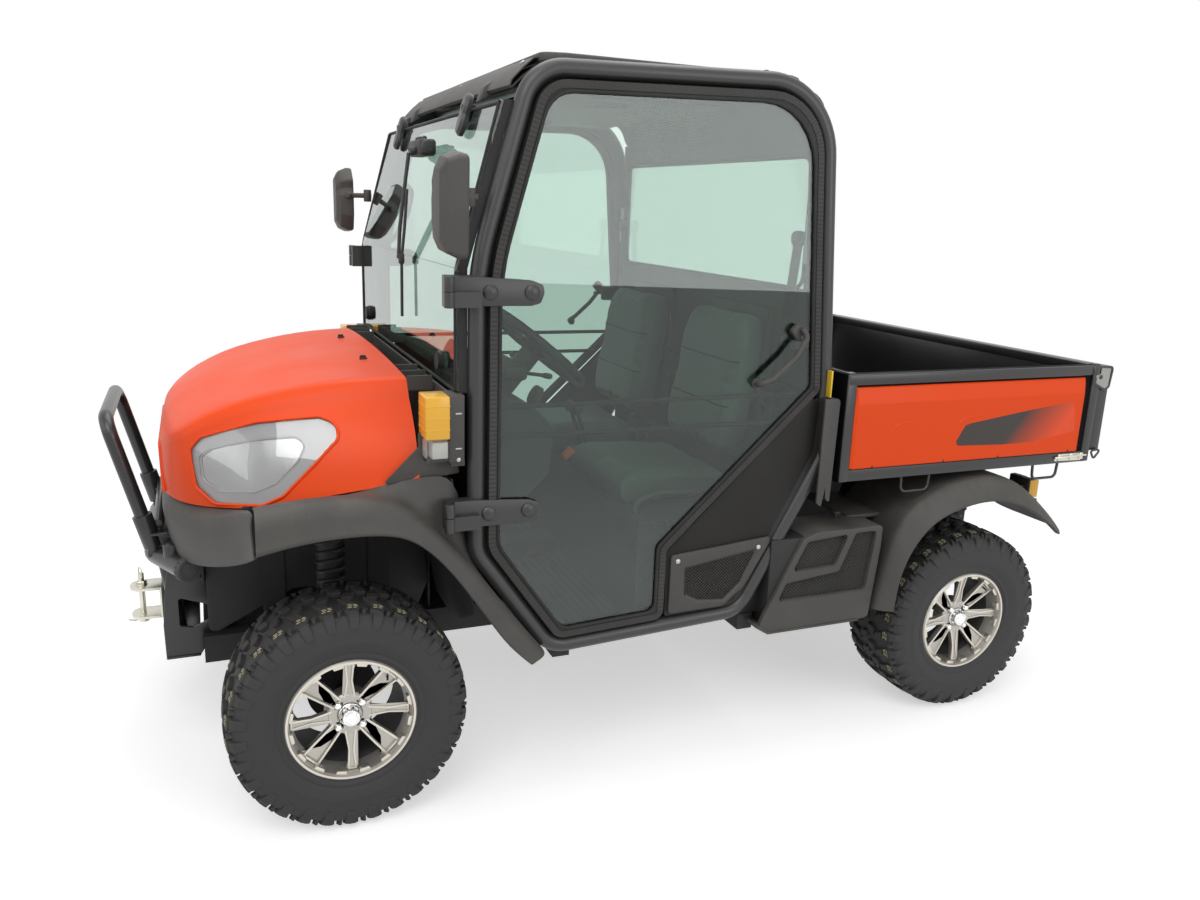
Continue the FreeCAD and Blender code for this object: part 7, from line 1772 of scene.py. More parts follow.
class UTV_OT_roof(bpy.types.Operator):
    """Roof skin with ribs, header and the sloped visor over the windshield"""
    bl_idname = "utv.roof"
    bl_label = "Roof"

    def execute(self, context):
        top = plate([(-0.672, -0.462), (0.672, -0.462), (0.690, -0.400), (0.690, 0.250),
                     (0.650, 0.300), (-0.650, 0.300), (-0.690, 0.250), (-0.690, -0.400)],
                    "Z", 1.978, 2.002, 0.03, 0.006, 3)
        parts = [top]
        for x in (-0.48, -0.24, 0.0, 0.24, 0.48):
            rib = block((x - 0.045, -0.390, 1.996), (x + 0.045, 0.240, 2.0095), 0.0055, 3)
            parts.append(rib)
        rows = []
        for x in (-0.655, -0.60, -0.30, 0.0, 0.30, 0.60, 0.655):
            drop = 0.006 * (abs(x) / 0.655) ** 2
            rows.append([(x, -0.446, 2.001 - drop), (x, -0.474, 1.995 - drop),
                         (x, -0.500, 1.972 - drop), (x, -0.530, 1.940 - drop),
                         (x, -0.535, 1.926 - drop), (x, -0.528, 1.920 - drop),
                         (x, -0.498, 1.950 - drop), (x, -0.462, 1.976 - drop)])
        visor = sheet(rows)
        edit(visor, lambda: bpy.ops.mesh.normals_make_consistent(inside=False))
        thick(visor, 0.003)
        parts.append(outward(visor))
        for x in (-0.43, 0.43):
            parts.append(plate([(-0.552, 1.898), (-0.500, 1.930), (-0.470, 1.972),
                                (-0.480, 1.976), (-0.540, 1.936)], "X", x - 0.022, x + 0.022,
                               edge=0.002))
        lining = plate([(-0.630, -0.440), (0.630, -0.440), (0.630, 0.250), (-0.630, 0.250)],
                       "Z", 1.9700, 1.9785, 0.04, 0.003)
        parts.append(lining)
        rows = [[(x, y, z) for x in (-0.690, 0.0, 0.690)] for y, z in
                ((0.240, 1.974), (0.290, 1.972), (0.330, 1.962), (0.356, 1.940), (0.372, 1.900),
                 (0.379, 1.865))]
        parts.append(outward(thick(smoothed(sheet(rows), 1), 0.004)))
        finish(joined(parts), "roof_skin", "vehicle", "cab_plastic", "roof")
        bolts = []
        for x in (-0.60, 0.0, 0.60):
            bolts.append(dome((x, -0.485, 1.981), (0, -0.6, 0.8), 0.007, 0.004, 12))
        finish(joined(bolts), "roof_bolts", "vehicle", "bare_steel")
        return {'FINISHED'}


class UTV_OT_mirrors(bpy.types.Operator):
    """Faceted side mirrors on short arms with a clamp knob"""
    bl_idname = "utv.mirrors"
    bl_label = "Mirrors"

    def execute(self, context):
        back = [(0.768, 1.575), (0.790, 1.520), (0.905, 1.512), (0.912, 1.740), (0.820, 1.750),
                (0.772, 1.706), (0.778, 1.676), (0.766, 1.650)]
        rows = []
        for shrink, y in ((0.55, -0.762), (0.86, -0.748), (1.0, -0.722), (1.0, -0.706),
                          (0.95, -0.701)):
            tall = 0.3 + 0.7 * shrink
            line = rounded([(0.84 + (x - 0.84) * shrink, 1.632 + (z - 1.632) * tall)
                            for x, z in back], 0.014 * shrink, 4)
            rows.append([(p.x, y, p.y) for p in line + line[:1]])
        shell = outward(sheet(rows))
        edit(shell, lambda: bpy.ops.mesh.fill_holes(sides=0),
             lambda: bpy.ops.mesh.select_all(action='SELECT'),
             lambda: bpy.ops.mesh.normals_make_consistent(inside=False))
        arm = tube([(0.742, -0.640, 1.650), (0.752, -0.690, 1.650), (0.784, -0.722, 1.648)],
                   0.009, bend=0.02, sides=4)
        clamp = rod((0.7405, -0.655, 1.628), (0.7405, -0.655, 1.672), 0.014, 0.003)
        knob = rod((0.752, -0.728, 1.652), (0.768, -0.718, 1.650), 0.012, 0.003, 16)
        stalk = rod((0.766, -0.716, 1.650), (0.790, -0.716, 1.648), 0.007, 0.001, 12)
        housing = joined([shell, arm, clamp, knob, stalk])
        housing = pair(housing)
        finish(housing, "mirror_housings", "vehicle", "moulded_plastic", "mirrors",
               angle=28)
        face = pair(plate([(0.780, 1.582), (0.800, 1.532), (0.896, 1.524), (0.902, 1.730),
                           (0.826, 1.738), (0.784, 1.700)], "Y", -0.7015, -0.6995,
                          0.012))
        finish(face, "mirror_faces", "vehicle", "mirror_face")
        return {'FINISHED'}


class UTV_OT_side_panels(bpy.types.Operator):
    """Closing panels behind the doors, meshed vents and the hollow side boxes"""
    bl_idname = "utv.side_panels"
    bl_label = "Side Panels and Boxes"

    def vent(self):
        outer = [(-0.062, 0.500), (0.118, 0.502), (0.186, 0.556), (0.266, 0.688), (0.262, 0.704),
                 (-0.062, 0.678)]
        frame = plate(outer, "X", 0.7285, 0.7378, [0.01, 0.03, 0.03, 0.012, 0.006, 0.012],
                      0.0018)
        inner = [(-0.006, 0.552), (0.036, 0.530), (0.120, 0.522), (0.172, 0.568), (0.222, 0.666),
                 (-0.012, 0.632)]
        hole = [(-0.014, 0.548), (0.034, 0.522), (0.124, 0.514), (0.180, 0.564), (0.234, 0.676),
                (-0.020, 0.638)]
        cut(frame, plate(hole, "X", 0.72, 0.75, 0.008))
        rows = []
        for line, x in ((hole, 0.7376), (inner, 0.7305)):
            path = rounded(line, 0.008, 4)
            rows.append([(x, p.x, p.y) for p in path + path[:1]])
        slope = sheet(rows)
        thick(slope, 0.0015)
        net = wire_net(inner, "X", 0.7315, 0.0098, 0.0021, 0.9)
        bolts = [dome((0.7376, y, z), (1, 0, 0), 0.0075, 0.005) for y, z in
                 ((-0.040, 0.660), (0.226, 0.676))]
        return joined([frame, outward(slope)]), net, joined(bolts)

    def box(self):
        outer = [(0.232, 0.418), (0.268, 0.402), (0.640, 0.402), (0.663, 0.640), (0.663, 0.708),
                 (0.424, 0.708), (0.372, 0.690)]
        wide = 0.16
        body = plate(outer, "X", 0.760 - wide, 0.7585, [0.02, 0.02, 0.02, 0.01, 0.012, 0.03,
                                                        0.02], 0.004, 3)
        upper = [(0.340, 0.590), (0.389, 0.682), (0.536, 0.692), (0.494, 0.596)]
        lower = [(0.296, 0.500), (0.322, 0.556), (0.512, 0.574), (0.562, 0.693), (0.640, 0.694),
                 (0.616, 0.500)]
        for line in (upper, lower):
            cut(body, plate(line, "X", 0.735, 0.80, 0.010))
        cut(body, block((0.50, 0.20, 0.414), (0.742, 0.650, 0.694)))
        rims = []
        for line in (upper, lower):
            wider = rounded(line, 0.014, 4)
            centre = sum((Vector(p) for p in wider), Vector((0, 0))) / len(wider)
            rows = []
            for grow, x in ((1.0, 0.7585), (1.0, 0.7600), (0.985, 0.7545), (0.985, 0.7480)):
                rows.append([(x, centre.x + (p.x - centre.x) * grow,
                              centre.y + (p.y - centre.y) * grow) for p in wider + wider[:1]])
            rims.append(outward(sheet(rows)))
        nets = [wire_net(line, "X", 0.7500, 0.0108, 0.0022, 0.9) for line in (upper, lower)]
        knob = joined([rod((0.650, 0.560, 0.706), (0.650, 0.560, 0.720), 0.006, 0.001, 12),
                       lathe([(0, 0), (0, 0.014), (0.008, 0.016), (0.012, 0.013), (0.013, 0)],
                             (0.650, 0.560, 0.720), (0, 0, 1), 24)])
        lid = plate([(0.395, 0.604), (0.655, 0.604), (0.655, 0.752), (0.395, 0.752)], "Z", 0.700,
                    0.7125, 0.012, 0.003)
        foot = plate([(0.226, 0.424), (0.268, 0.398), (0.60, 0.398), (0.60, 0.404),
                      (0.270, 0.404), (0.238, 0.430)], "X", 0.600, 0.7610, edge=0.001)
        return joined([body, lid, foot] + rims), joined(nets), knob

    def execute(self, context):
        dress("seal_rubber", "side_panels")
        skin = pair(plate([(0.375, 1.118), (0.404, 1.106), (0.396, 0.955), (0.160, 0.512),
                           (0.060, 0.500), (-0.066, 0.500), (-0.072, 0.690)], "X",
                          0.7262, 0.7292, 0.010, 0.001))
        finish(skin, "side_skin", "vehicle", "dark_panel")
        frame, net, bolts = self.vent()
        finish_pairs("vehicle", (
                (frame, "vent_frames", "moulded_plastic", ("vent_covers",)),
                (net, "vent_mesh", "moulded_plastic", ()),
                (bolts, "vent_bolts", "bare_steel", ())))
        body, nets, knob = self.box()
        finish_pairs("vehicle", (
                (body, "side_box_shells", "moulded_plastic", ("side_boxes",)),
                (nets, "side_box_mesh", "moulded_plastic", ()),
                (knob, "side_box_knobs", "dash_plastic", ())))
        lining = pair(block((0.596, 0.268, 0.412), (0.7440, 0.640, 0.692), 0.002))
        finish(lining, "side_box_lining", "vehicle", "underbody_black")
        return {'FINISHED'}


# Load bed and rear

REAR_UPPER = [(0.655, 0.430), (0.680, 0.560), (0.700, 0.650), (0.735, 0.730), (0.800, 0.782),
              (0.890, 0.826), (1.002, 0.842), (1.110, 0.838), (1.200, 0.806), (1.290, 0.738),
              (1.365, 0.672), (1.398, 0.634)]
REAR_LOWER = [(0.708, 0.430), (0.712, 0.505), (0.726, 0.565), (0.756, 0.632), (0.815, 0.702),
              (0.890, 0.738), (1.000, 0.764), (1.100, 0.762), (1.190, 0.738), (1.272, 0.694),
              (1.336, 0.648), (1.368, 0.622)]
STRIPE = [(0.897, 0.966), (0.928, 1.016), (0.950, 1.022), (1.159, 1.049), (1.372, 1.074),
          (1.385, 1.040), (1.395, 0.972), (1.216, 0.946), (1.082, 0.945), (0.905, 0.952)]


def arch(section, upper, lower):
    """A skin along an arch: each section point is a distance out and a share from top to lip."""
    return sheet([[(x, *between(top, lip, t)) for x, t in section]
                  for top, lip in zip(upper, lower)])


class UTV_OT_rear_fenders(bpy.types.Operator):
    """Rear fenders with rolled lips and the liners behind them"""
    bl_idname = "utv.rear_fenders"
    bl_label = "Rear Fenders"

    def execute(self, context):
        skin = arch([(0.470, -0.04), (0.600, -0.04), (0.722, -0.03), (0.752, -0.02),
                     (0.766, 0.06), (0.778, 0.26), (0.788, 0.52), (0.796, 0.78), (0.800, 0.90),
                     (0.799, 0.97), (0.792, 1.0), (0.782, 0.99), (0.776, 0.92), (0.774, 0.84)],
                    REAR_UPPER, REAR_LOWER)
        smoothed(skin, 2)
        outward(thick(skin, 0.0035))
        ledge = plate([(0.985, 0.742), (1.030, 0.786), (1.118, 0.792), (1.060, 0.778),
                       (1.012, 0.752)], "X", 0.596, 0.606, edge=0.002)
        shelf = sheet([[(0.470, 0.664, 0.44), (0.640, 0.664, 0.44)],
                       [(0.470, 0.690, 0.60), (0.700, 0.690, 0.60)],
                       [(0.440, 0.720, 0.70), (0.745, 0.720, 0.70)],
                       [(0.330, 0.830, 0.775), (0.745, 0.830, 0.775)],
                       [(0.330, 1.000, 0.815), (0.745, 1.000, 0.815)],
                       [(0.330, 1.200, 0.770), (0.745, 1.200, 0.770)],
                       [(0.420, 1.350, 0.660), (0.745, 1.350, 0.660)]])
        outward(thick(smoothed(shelf, 2), 0.004))
        finish(pair(skin), "rear_fender", "vehicle",
               "moulded_plastic", "rear_fenders", angle=40)
        liner = joined([shelf, ledge])
        finish(pair(liner), "rear_liner", "vehicle",
               "underbody_black")
        return {'FINISHED'}


class UTV_OT_bed(bpy.types.Operator):
    """Load bed with rails and posts, pressed side panels, stripe, hooks, latches and tailgate"""
    bl_idname = "utv.bed"
    bl_label = "Load Bed"

    def side(self):
        low, crease, top = 0.902, 1.103, 1.150
        ys = [0.500, 0.512, 0.60, 0.75, 0.90, 1.05, 1.20, 1.35, 1.418, 1.4305]
        rows = []
        for y in ys:
            ends = 0.012 if y in (ys[0], ys[-1]) else 0.0
            rows.append([(0.7585, y, low - 0.001), (0.7700 - ends, y, low),
                         (0.7716 - ends, y, low + 0.004),
                         (0.7716 - ends, y, crease - 0.06), (0.7716 - ends, y, crease - 0.003),
                         (0.7708 - ends, y, crease + 0.002), (0.7640 - ends * 0.6, y, top - 0.003),
                         (0.7600, y, top)])
        skin = sheet(rows)
        thick(skin, 0.002, 1.0)
        outward(skin)
        return bevelled(skin, 0.0012, 2, 25)

    def emboss(self):
        """Low raised line that frames the stripe and the field ahead of it."""
        lines = [[(0.860, 0.948), (0.905, 1.030), (0.926, 1.040), (1.150, 1.070)],
                 [(0.600, 0.948), (0.655, 1.026), (0.676, 1.034), (0.800, 1.050)]]
        pieces = []
        for line in lines:
            path = rounded(line, 0.03, 5, closed=False)
            rows = []
            for k, p in enumerate(path):
                fade = math.sin(math.pi * min(1.0, (k + 0.6) / len(path))) * 0.0012
                rows.append([(0.7714, p.x, p.y - 0.010), (0.7716 + fade * 0.6, p.x, p.y - 0.004),
                             (0.7716 + fade, p.x, p.y), (0.7714, p.x, p.y + 0.004)])
            pieces.append(smoothed(sheet(rows), 1))
        return joined(pieces)

    def hook(self, start):
        top, low = 0.861, 0.8095
        line = [(0.745, start, top), (0.745, start + 0.004, low), (0.745, start + 0.106, low),
                (0.745, start + 0.110, top)]
        return tube(line, 0.0046, bend=0.018, sides=4)

    def bail(self):
        x = 0.7663
        low, high = 1.106, 1.186
        wire = tube([(x, 1.4505, high), (x, 1.530, high - 0.004), (x, 1.5325, high - 0.014),
                     (x, 1.5265, low + 0.01), (x, 1.510, low), (x, 1.452, low + 0.026)], 0.0042,
                    bend=0.008, closed=True, sides=4)
        window = plate([(1.462, high - 0.004), (1.526, high - 0.008), (1.522, low + 0.012),
                        (1.508, low + 0.004), (1.464, low + 0.026)], "X", x - 0.0012, x + 0.0012)
        clip = joined([block((0.757, 1.446, high - 0.030), (0.7695, 1.476, high + 0.001), 0.003),
                       block((0.757, 1.448, high - 0.064), (0.7685, 1.468, high - 0.036), 0.003),
                       rod((0.762, 1.484, 1.150), (0.770, 1.484, 1.150), 0.007, 0.001, 16)])
        return wire, window, clip

    def latch(self):
        body = plate([(1.326, 0.871), (1.448, 0.868), (1.474, 0.884), (1.476, 0.893),
                      (1.352, 0.894)], "X", 0.7625, 0.7665, 0.004, 0.001)
        bar = rod((0.7685, 1.330, 0.883), (0.7685, 1.470, 0.886), 0.004, 0.001, 12)
        lugs = [block((0.762, y, 0.872), (0.7705, y + 0.016, 0.895), 0.002)
                for y in (1.344, 1.396, 1.440)]
        ring = tube([(0.766, 1.492, 0.897), (0.766, 1.5385, 0.900), (0.766, 1.510, 0.868)],
                    0.0036, bend=0.006, closed=True, sides=3)
        return joined([body, bar] + lugs), ring

    def execute(self, context):
        dress("bed_lining", "bed_box")
        finish(pair(self.side()), "bed_panels", "bed", "body_paint",
               "bed_side_panels", angle=8)
        relief = self.emboss()
        finish(pair(relief), "bed_panel_relief", "bed",
               "body_paint", angle=60)
        stripe = plate(STRIPE, "X", 0.7714, 0.7719, 0.006)
        finish(pair(stripe), "bed_stripe", "bed", "faded_stripe")
        ticks = joined([plate([(y, 0.9025), (y + 0.007, 0.9025), (y + 0.0035, 0.912)], "X",
                              0.7714, 0.7719) for y in (0.580, 0.852, 1.074, 1.376)])
        rails = []
        for y in (0.4715, 1.4515):
            rails.append(block((0.7345, y, 0.862), (0.7665, y + 0.034, 1.1885), 0.004, 3))
            rails.append(block((0.7375, y + 0.003, 1.186), (0.7635, y + 0.031, 1.194), 0.0055, 3))
        rails.append(block((0.7325, 0.474, 1.1565), (0.7675, 1.486, 1.1895), 0.004, 3))
        rails.append(block((0.7325, 0.474, 0.8625), (0.7645, 1.486, 0.899), 0.003, 3))
        rails += [self.hook(0.720), self.hook(1.262)]
        wire, window, clip = self.bail()
        latch, ring = self.latch()
        rails += [wire, clip, ring]
        rails = joined(rails)
        finish_pairs("bed", (
                (rails, "bed_rails", "frame_paint", ("bed_fittings",)),
                (ticks, "bed_panel_ticks", "seal_rubber", ()),
                (window, "bed_bail_plates", "bail_plate", ()),
                (latch, "bed_latches", "zinc_plate", ())))
        ends = joined([block((-0.757, 0.4725, 1.1565), (0.757, 0.505, 1.1895), 0.004, 3)])
        finish(ends, "bed_front_rail", "bed", "frame_paint")
        skin = joined([block((-0.757, 1.4925, 0.896), (0.757, 1.4985, 1.180), 0.002)]
                      + [block((x - 0.015, 1.495, 0.900), (x + 0.015, 1.530, 1.170), 0.004)
                         for x in (-0.38, 0.0, 0.38)])
        finish(skin, "tailgate_panel", "tailgate", "frame_paint", "tailgate")
        ribs = joined([block((x - 0.020, 0.512, 0.890), (x + 0.020, 1.470, 0.8985), 0.004)
                       for x in [0.2 * k for k in range(-3, 4)]])
        finish(ribs, "bed_ribs", "bed", "bed_lining")
        edge = joined([block((-0.759, 1.491, 1.152), (0.759, 1.536, 1.1855), 0.005, 3)]
                      + [block((s * 0.742 - 0.017, 1.491, 0.896), (s * 0.742 + 0.017, 1.536, 1.17),
                               0.004, 3) for s in (-1, 1)]
                      + [rod((s * 0.50 - 0.037, 1.497, 0.878), (s * 0.50 + 0.037, 1.497, 0.878),
                             0.0115, 0.002) for s in (-1, 1)])
        finish(edge, "tailgate_frame", "tailgate", "frame_paint")
        return {'FINISHED'}


class UTV_OT_tail_lamps(bpy.types.Operator):
    """Rear lamps with red and amber lenses on black housings"""
    bl_idname = "utv.tail_lamps"
    bl_label = "Tail Lamps"

    def execute(self, context):
        shell = block((0.553, 1.368, 0.702), (0.647, 1.396, 0.772), 0.006, 3)
        arm = block((0.575, 1.300, 0.730), (0.625, 1.370, 0.745), 0.002)
        stop = block((0.557, 1.392, 0.706), (0.598, 1.4115, 0.768), 0.005, 3)
        turn = joined([block((0.602, 1.392, 0.706), (0.6465, 1.4115, 0.768), 0.005, 3),
                       block((0.6440, 1.372, 0.706), (0.6478, 1.4105, 0.768), 0.0015)])
        ribs = joined([block((0.560, 1.4085, z), (0.643, 1.4125, z + 0.002), 0.0005, 1)
                       for z in (0.718, 0.730, 0.742, 0.754)])
        finish_pairs("vehicle", (
                (joined([shell, arm]), "tail_lamp_shells", "moulded_plastic", ("tail_lamps",)),
                (stop, "stop_lenses", "lamp_red", ()),
                (turn, "tail_turn_lenses", "amber_lens", ()),
                (ribs, "tail_lamp_ribs", "amber_lens", ())))
        return {'FINISHED'}


# Guard, tow clevis and underbody

class UTV_OT_guard(bpy.types.Operator):
    """Front guard with its hoop, bumper tube, ribbed end caps, stays and side plates"""
    bl_idname = "utv.guard"
    bl_label = "Front Guard"

    def cap(self):
        """Round rubber end with notches round its edge and a raised disc."""
        way = Vector((0.167, 0.084, 0)).normalized()
        end = Vector((0.372, -1.336, 0.648)) - way * 0.012
        body = lathe([(0, 0), (0, 0.034), (0.004, 0.0362), (0.018, 0.0362), (0.0225, 0.0335),
                      (0.0235, 0.0265), (0.0215, 0.0255), (0.0215, 0.0205), (0.0240, 0.0195),
                      (0.0245, 0)], (0, 0, 0), (1, 0, 0), 64)
        for k in range(16):
            turn = math.tau * k / 16
            y, z = math.cos(turn) * 0.0368, math.sin(turn) * 0.0368
            cut(body, rod((0.006, y, z), (0.05, y, z), 0.0024, steps=8))
        turn = Vector((1, 0, 0)).rotation_difference(way).to_matrix().to_4x4()
        body.data.transform(Matrix.Translation(end) @ turn)
        return body

    def execute(self, context):
        foot, head = (0.233, -1.418, 0.655), (0.233, -1.518, 1.042)
        right = [(-p[0], p[1], p[2]) for p in (foot, head)]
        pieces = [tube([foot, head, right[1], right[0]], 0.0188, bend=0.055, sides=8)]
        pieces.append(tube([(-0.372, -1.336, 0.648), (-0.205, -1.420, 0.648),
                            (0.205, -1.420, 0.648), (0.372, -1.336, 0.648)], 0.031, bend=0.075,
                           sides=10))
        pieces.append(rod((-0.233, -1.408, 0.740), (0.233, -1.408, 0.740), 0.013, 0.002))
        pieces.append(block((-0.250, -1.412, 0.334), (0.250, -1.320, 0.342), 0.003))
        pieces.append(block((-0.10, -1.420, 0.342), (0.10, -1.408, 0.500), 0.002))
        plate_line = [(-1.414, 0.440), (-1.412, 0.338), (-1.321, 0.336), (-1.262, 0.434),
                      (-1.205, 0.430), (-1.202, 0.512), (-1.270, 0.530), (-1.300, 0.570),
                      (-1.388, 0.640), (-1.402, 0.560)]
        for side in (-1, 1):
            x = 0.238 * side
            low, high = sorted((x, x + 0.009 * side))
            web = plate(plate_line, "X", low, high, 0.006, 0.0015)
            hole = plate([(-1.372, 0.432), (-1.336, 0.424), (-1.274, 0.450), (-1.271, 0.482),
                          (-1.372, 0.520)], "X", low - 0.01, high + 0.01, 0.008)
            upper = plate([(-1.440, 0.650), (-1.432, 0.716), (-1.342, 0.714), (-1.305, 0.640),
                           (-1.330, 0.600)], "X", low, high, 0.006, 0.0015)
            tab = block((min(0.205 * side, 0.262 * side), -1.430, 0.714),
                        (max(0.205 * side, 0.262 * side), -1.338, 0.721), 0.002)
            pieces += [cut(web, hole), upper, tab]
            pieces.append(rod((0.150 * side, -1.408, 0.640), (0.150 * side, -1.366, 0.345), 0.0185,
                              0.002))
            pieces.append(rod((0.232 * side, -1.423, 0.676), (0.232 * side, -1.4475, 0.770),
                              0.0262, 0.003))
            pieces.append(rod((0.300 * side, -1.374, 0.650), (0.300 * side, -1.374, 0.704), 0.0245,
                              0.004))
            pieces.append(bevelled(plate([(-1.395, 0.716), (-1.380, 0.835), (-1.366, 0.835),
                                          (-1.350, 0.716)], "X", min(x, x - 0.03 * side),
                                         max(x, x - 0.03 * side)), 0.003))
        cap = self.cap()
        finish(joined(pieces), "front_guard", "vehicle", "frame_paint", "bull_bar")
        finish(pair(cap), "guard_caps", "vehicle", "cap_rubber")
        return {'FINISHED'}


class UTV_OT_clevis(bpy.types.Operator):
    """Zinc plated clevis with its pin, nut and spring clip"""
    bl_idname = "utv.clevis"
    bl_label = "Tow Clevis"

    def execute(self, context):
        leaf = [(-0.042, -1.416), (-0.042, -1.486), (-0.026, -1.506), (0.0, -1.511),
                (0.026, -1.506), (0.042, -1.486), (0.042, -1.416)]
        pieces = [plate(leaf, "Z", z, z + 0.0085, 0.012, 0.0012) for z in (0.380, 0.470)]
        pieces.append(block((-0.042, -1.428, 0.380), (0.042, -1.418, 0.478), 0.0015))
        pieces.append(block((-0.03, -1.420, 0.395), (0.03, -1.410, 0.465), 0.002))
        pieces.append(rod((0, -1.478, 0.364), (0, -1.478, 0.515), 0.0085, 0.002))
        pieces.append(lathe([(0, 0), (0, 0.015), (0.0022, 0.0155), (0.011, 0.0155),
                             (0.013, 0.0135), (0.013, 0)], (0, -1.478, 0.4785), (0, 0, 1), 6))
        pieces.append(rod((0, -1.478, 0.4785), (0, -1.478, 0.481), 0.0175, 0.0006))
        pieces.append(rod((0, -1.478, 0.360), (0, -1.478, 0.372), 0.0155, 0.003))
        ring = rounded([(-0.004, 0.500), (-0.022, 0.506), (-0.022, 0.530), (0.016, 0.530),
                        (0.018, 0.503)], 0.012, 5)
        pieces.append(tube([(p.x, -1.478 + 0.3 * p.x, p.y) for p in ring], 0.0016, closed=True,
                           sides=3))
        pieces.append(tube([(0, -1.478, 0.374), (0.006, -1.500, 0.366), (0.010, -1.520, 0.372)],
                           0.0022, bend=0.01, sides=3))
        finish(joined(pieces), "clevis", "vehicle", "zinc_plate", "tow_clevis")
        return {'FINISHED'}


class UTV_OT_underbody(bpy.types.Operator):
    """Rear shock absorbers with brackets, splash plates and brake hoses"""
    bl_idname = "utv.underbody"
    bl_label = "Underbody"

    def execute(self, context):
        shocks = []
        for side in (-1, 1):
            top = Vector((0.400 * side, 1.300, 0.640))
            foot = Vector((0.400 * side, 1.120, 0.345))
            middle = top.lerp(foot, 0.45)
            shocks += [rod(top, foot, 0.011, 0.002), rod(middle, foot, 0.021, 0.003),
                       rod(top.lerp(foot, 0.06), top.lerp(foot, 0.09), 0.043, 0.002),
                       rod(top.lerp(foot, 0.80), top.lerp(foot, 0.83), 0.043, 0.002),
                       rod(top - Vector((0.024, 0, 0)), top + Vector((0.024, 0, 0)), 0.020, 0.002),
                       rod(foot - Vector((0.024, 0, 0)), foot + Vector((0.024, 0, 0)), 0.020,
                           0.002)]
            low, high = sorted((0.300 * side, 0.372 * side))
            shocks.append(block((low, 1.275, 0.600), (high, 1.330, 0.770), 0.004))
        finish(joined(shocks), "rear_shocks", "vehicle", "underbody_black")
        plates = [block((-0.30, -1.305, 0.575), (0.30, -1.298, 0.800), 0.002),
                  block((-0.26, -0.66, 0.40), (0.26, -0.652, 0.86), 0.002),
                  block((-0.235, -1.29, 0.780), (0.235, -0.70, 0.792), 0.002)]
        for side in (-1, 1):
            low, high = sorted((0.262 * side, 0.270 * side))
            plates.append(plate([(-1.295, 0.40), (-1.295, 0.84), (-0.70, 0.88), (-0.66, 0.50),
                                 (-0.70, 0.40), (-0.86, 0.52), (-1.06, 0.52)], "X", low, high,
                                0.02, 0.002))
            low, high = sorted((0.46 * side, 0.60 * side))
            plates.append(rod((low, -0.634, 0.60), (high, -0.634, 0.60), 0.008, 0.001))
        finish(joined(plates), "splash_plates", "vehicle", "underbody_black")
        line = tube([(0.20, -0.98, 0.42), (0.32, -0.99, 0.46), (0.44, -0.96, 0.40),
                     (0.50, -0.955, 0.34)], 0.006, bend=0.04, sides=3)
        finish(pair(line), "brake_hoses", "vehicle",
               "seal_rubber")
        return {'FINISHED'}


# Interior

CLOTH_FRAMES = 20
CLOTH_PRESSURE = 4.0
PAD_VOXEL = 0.0075


def padded_cover(slab, name, node, crown):
    """A stuffed pad: a rounded slab swelled by cloth pressure up to a crown, then eased smooth."""
    shape = modify(slab, 'REMESH', mode='VOXEL', voxel_size=PAD_VOXEL)
    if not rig.quick():
        pick(shape)
        start = [v.co.copy() for v in shape.data.vertices]
        swell = shape.modifiers.new("Cloth", 'CLOTH')
        swell.settings.use_pressure = True
        swell.settings.uniform_pressure_force = CLOTH_PRESSURE
        swell.settings.effector_weights.gravity = 0.0
        swell.settings.quality = 4
        swell.point_cache.frame_start, swell.point_cache.frame_end = 1, CLOTH_FRAMES
        for number in range(1, CLOTH_FRAMES + 1):
            bpy.context.scene.frame_set(number)
        bpy.ops.object.modifier_apply(modifier=swell.name)
        bpy.context.scene.frame_set(1)
        for vertex, was in zip(shape.data.vertices, start):
            move = vertex.co - was
            if move.length > crown:
                vertex.co = was + move.normalized() * crown
    modify(shape, 'SMOOTH', factor=0.5, iterations=6)
    smoothed(shape, 1)
    finish(shape, name, "vehicle", "seat_vinyl", node, angle=80)
    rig.padded(shape, fill=0.6)
    return shape


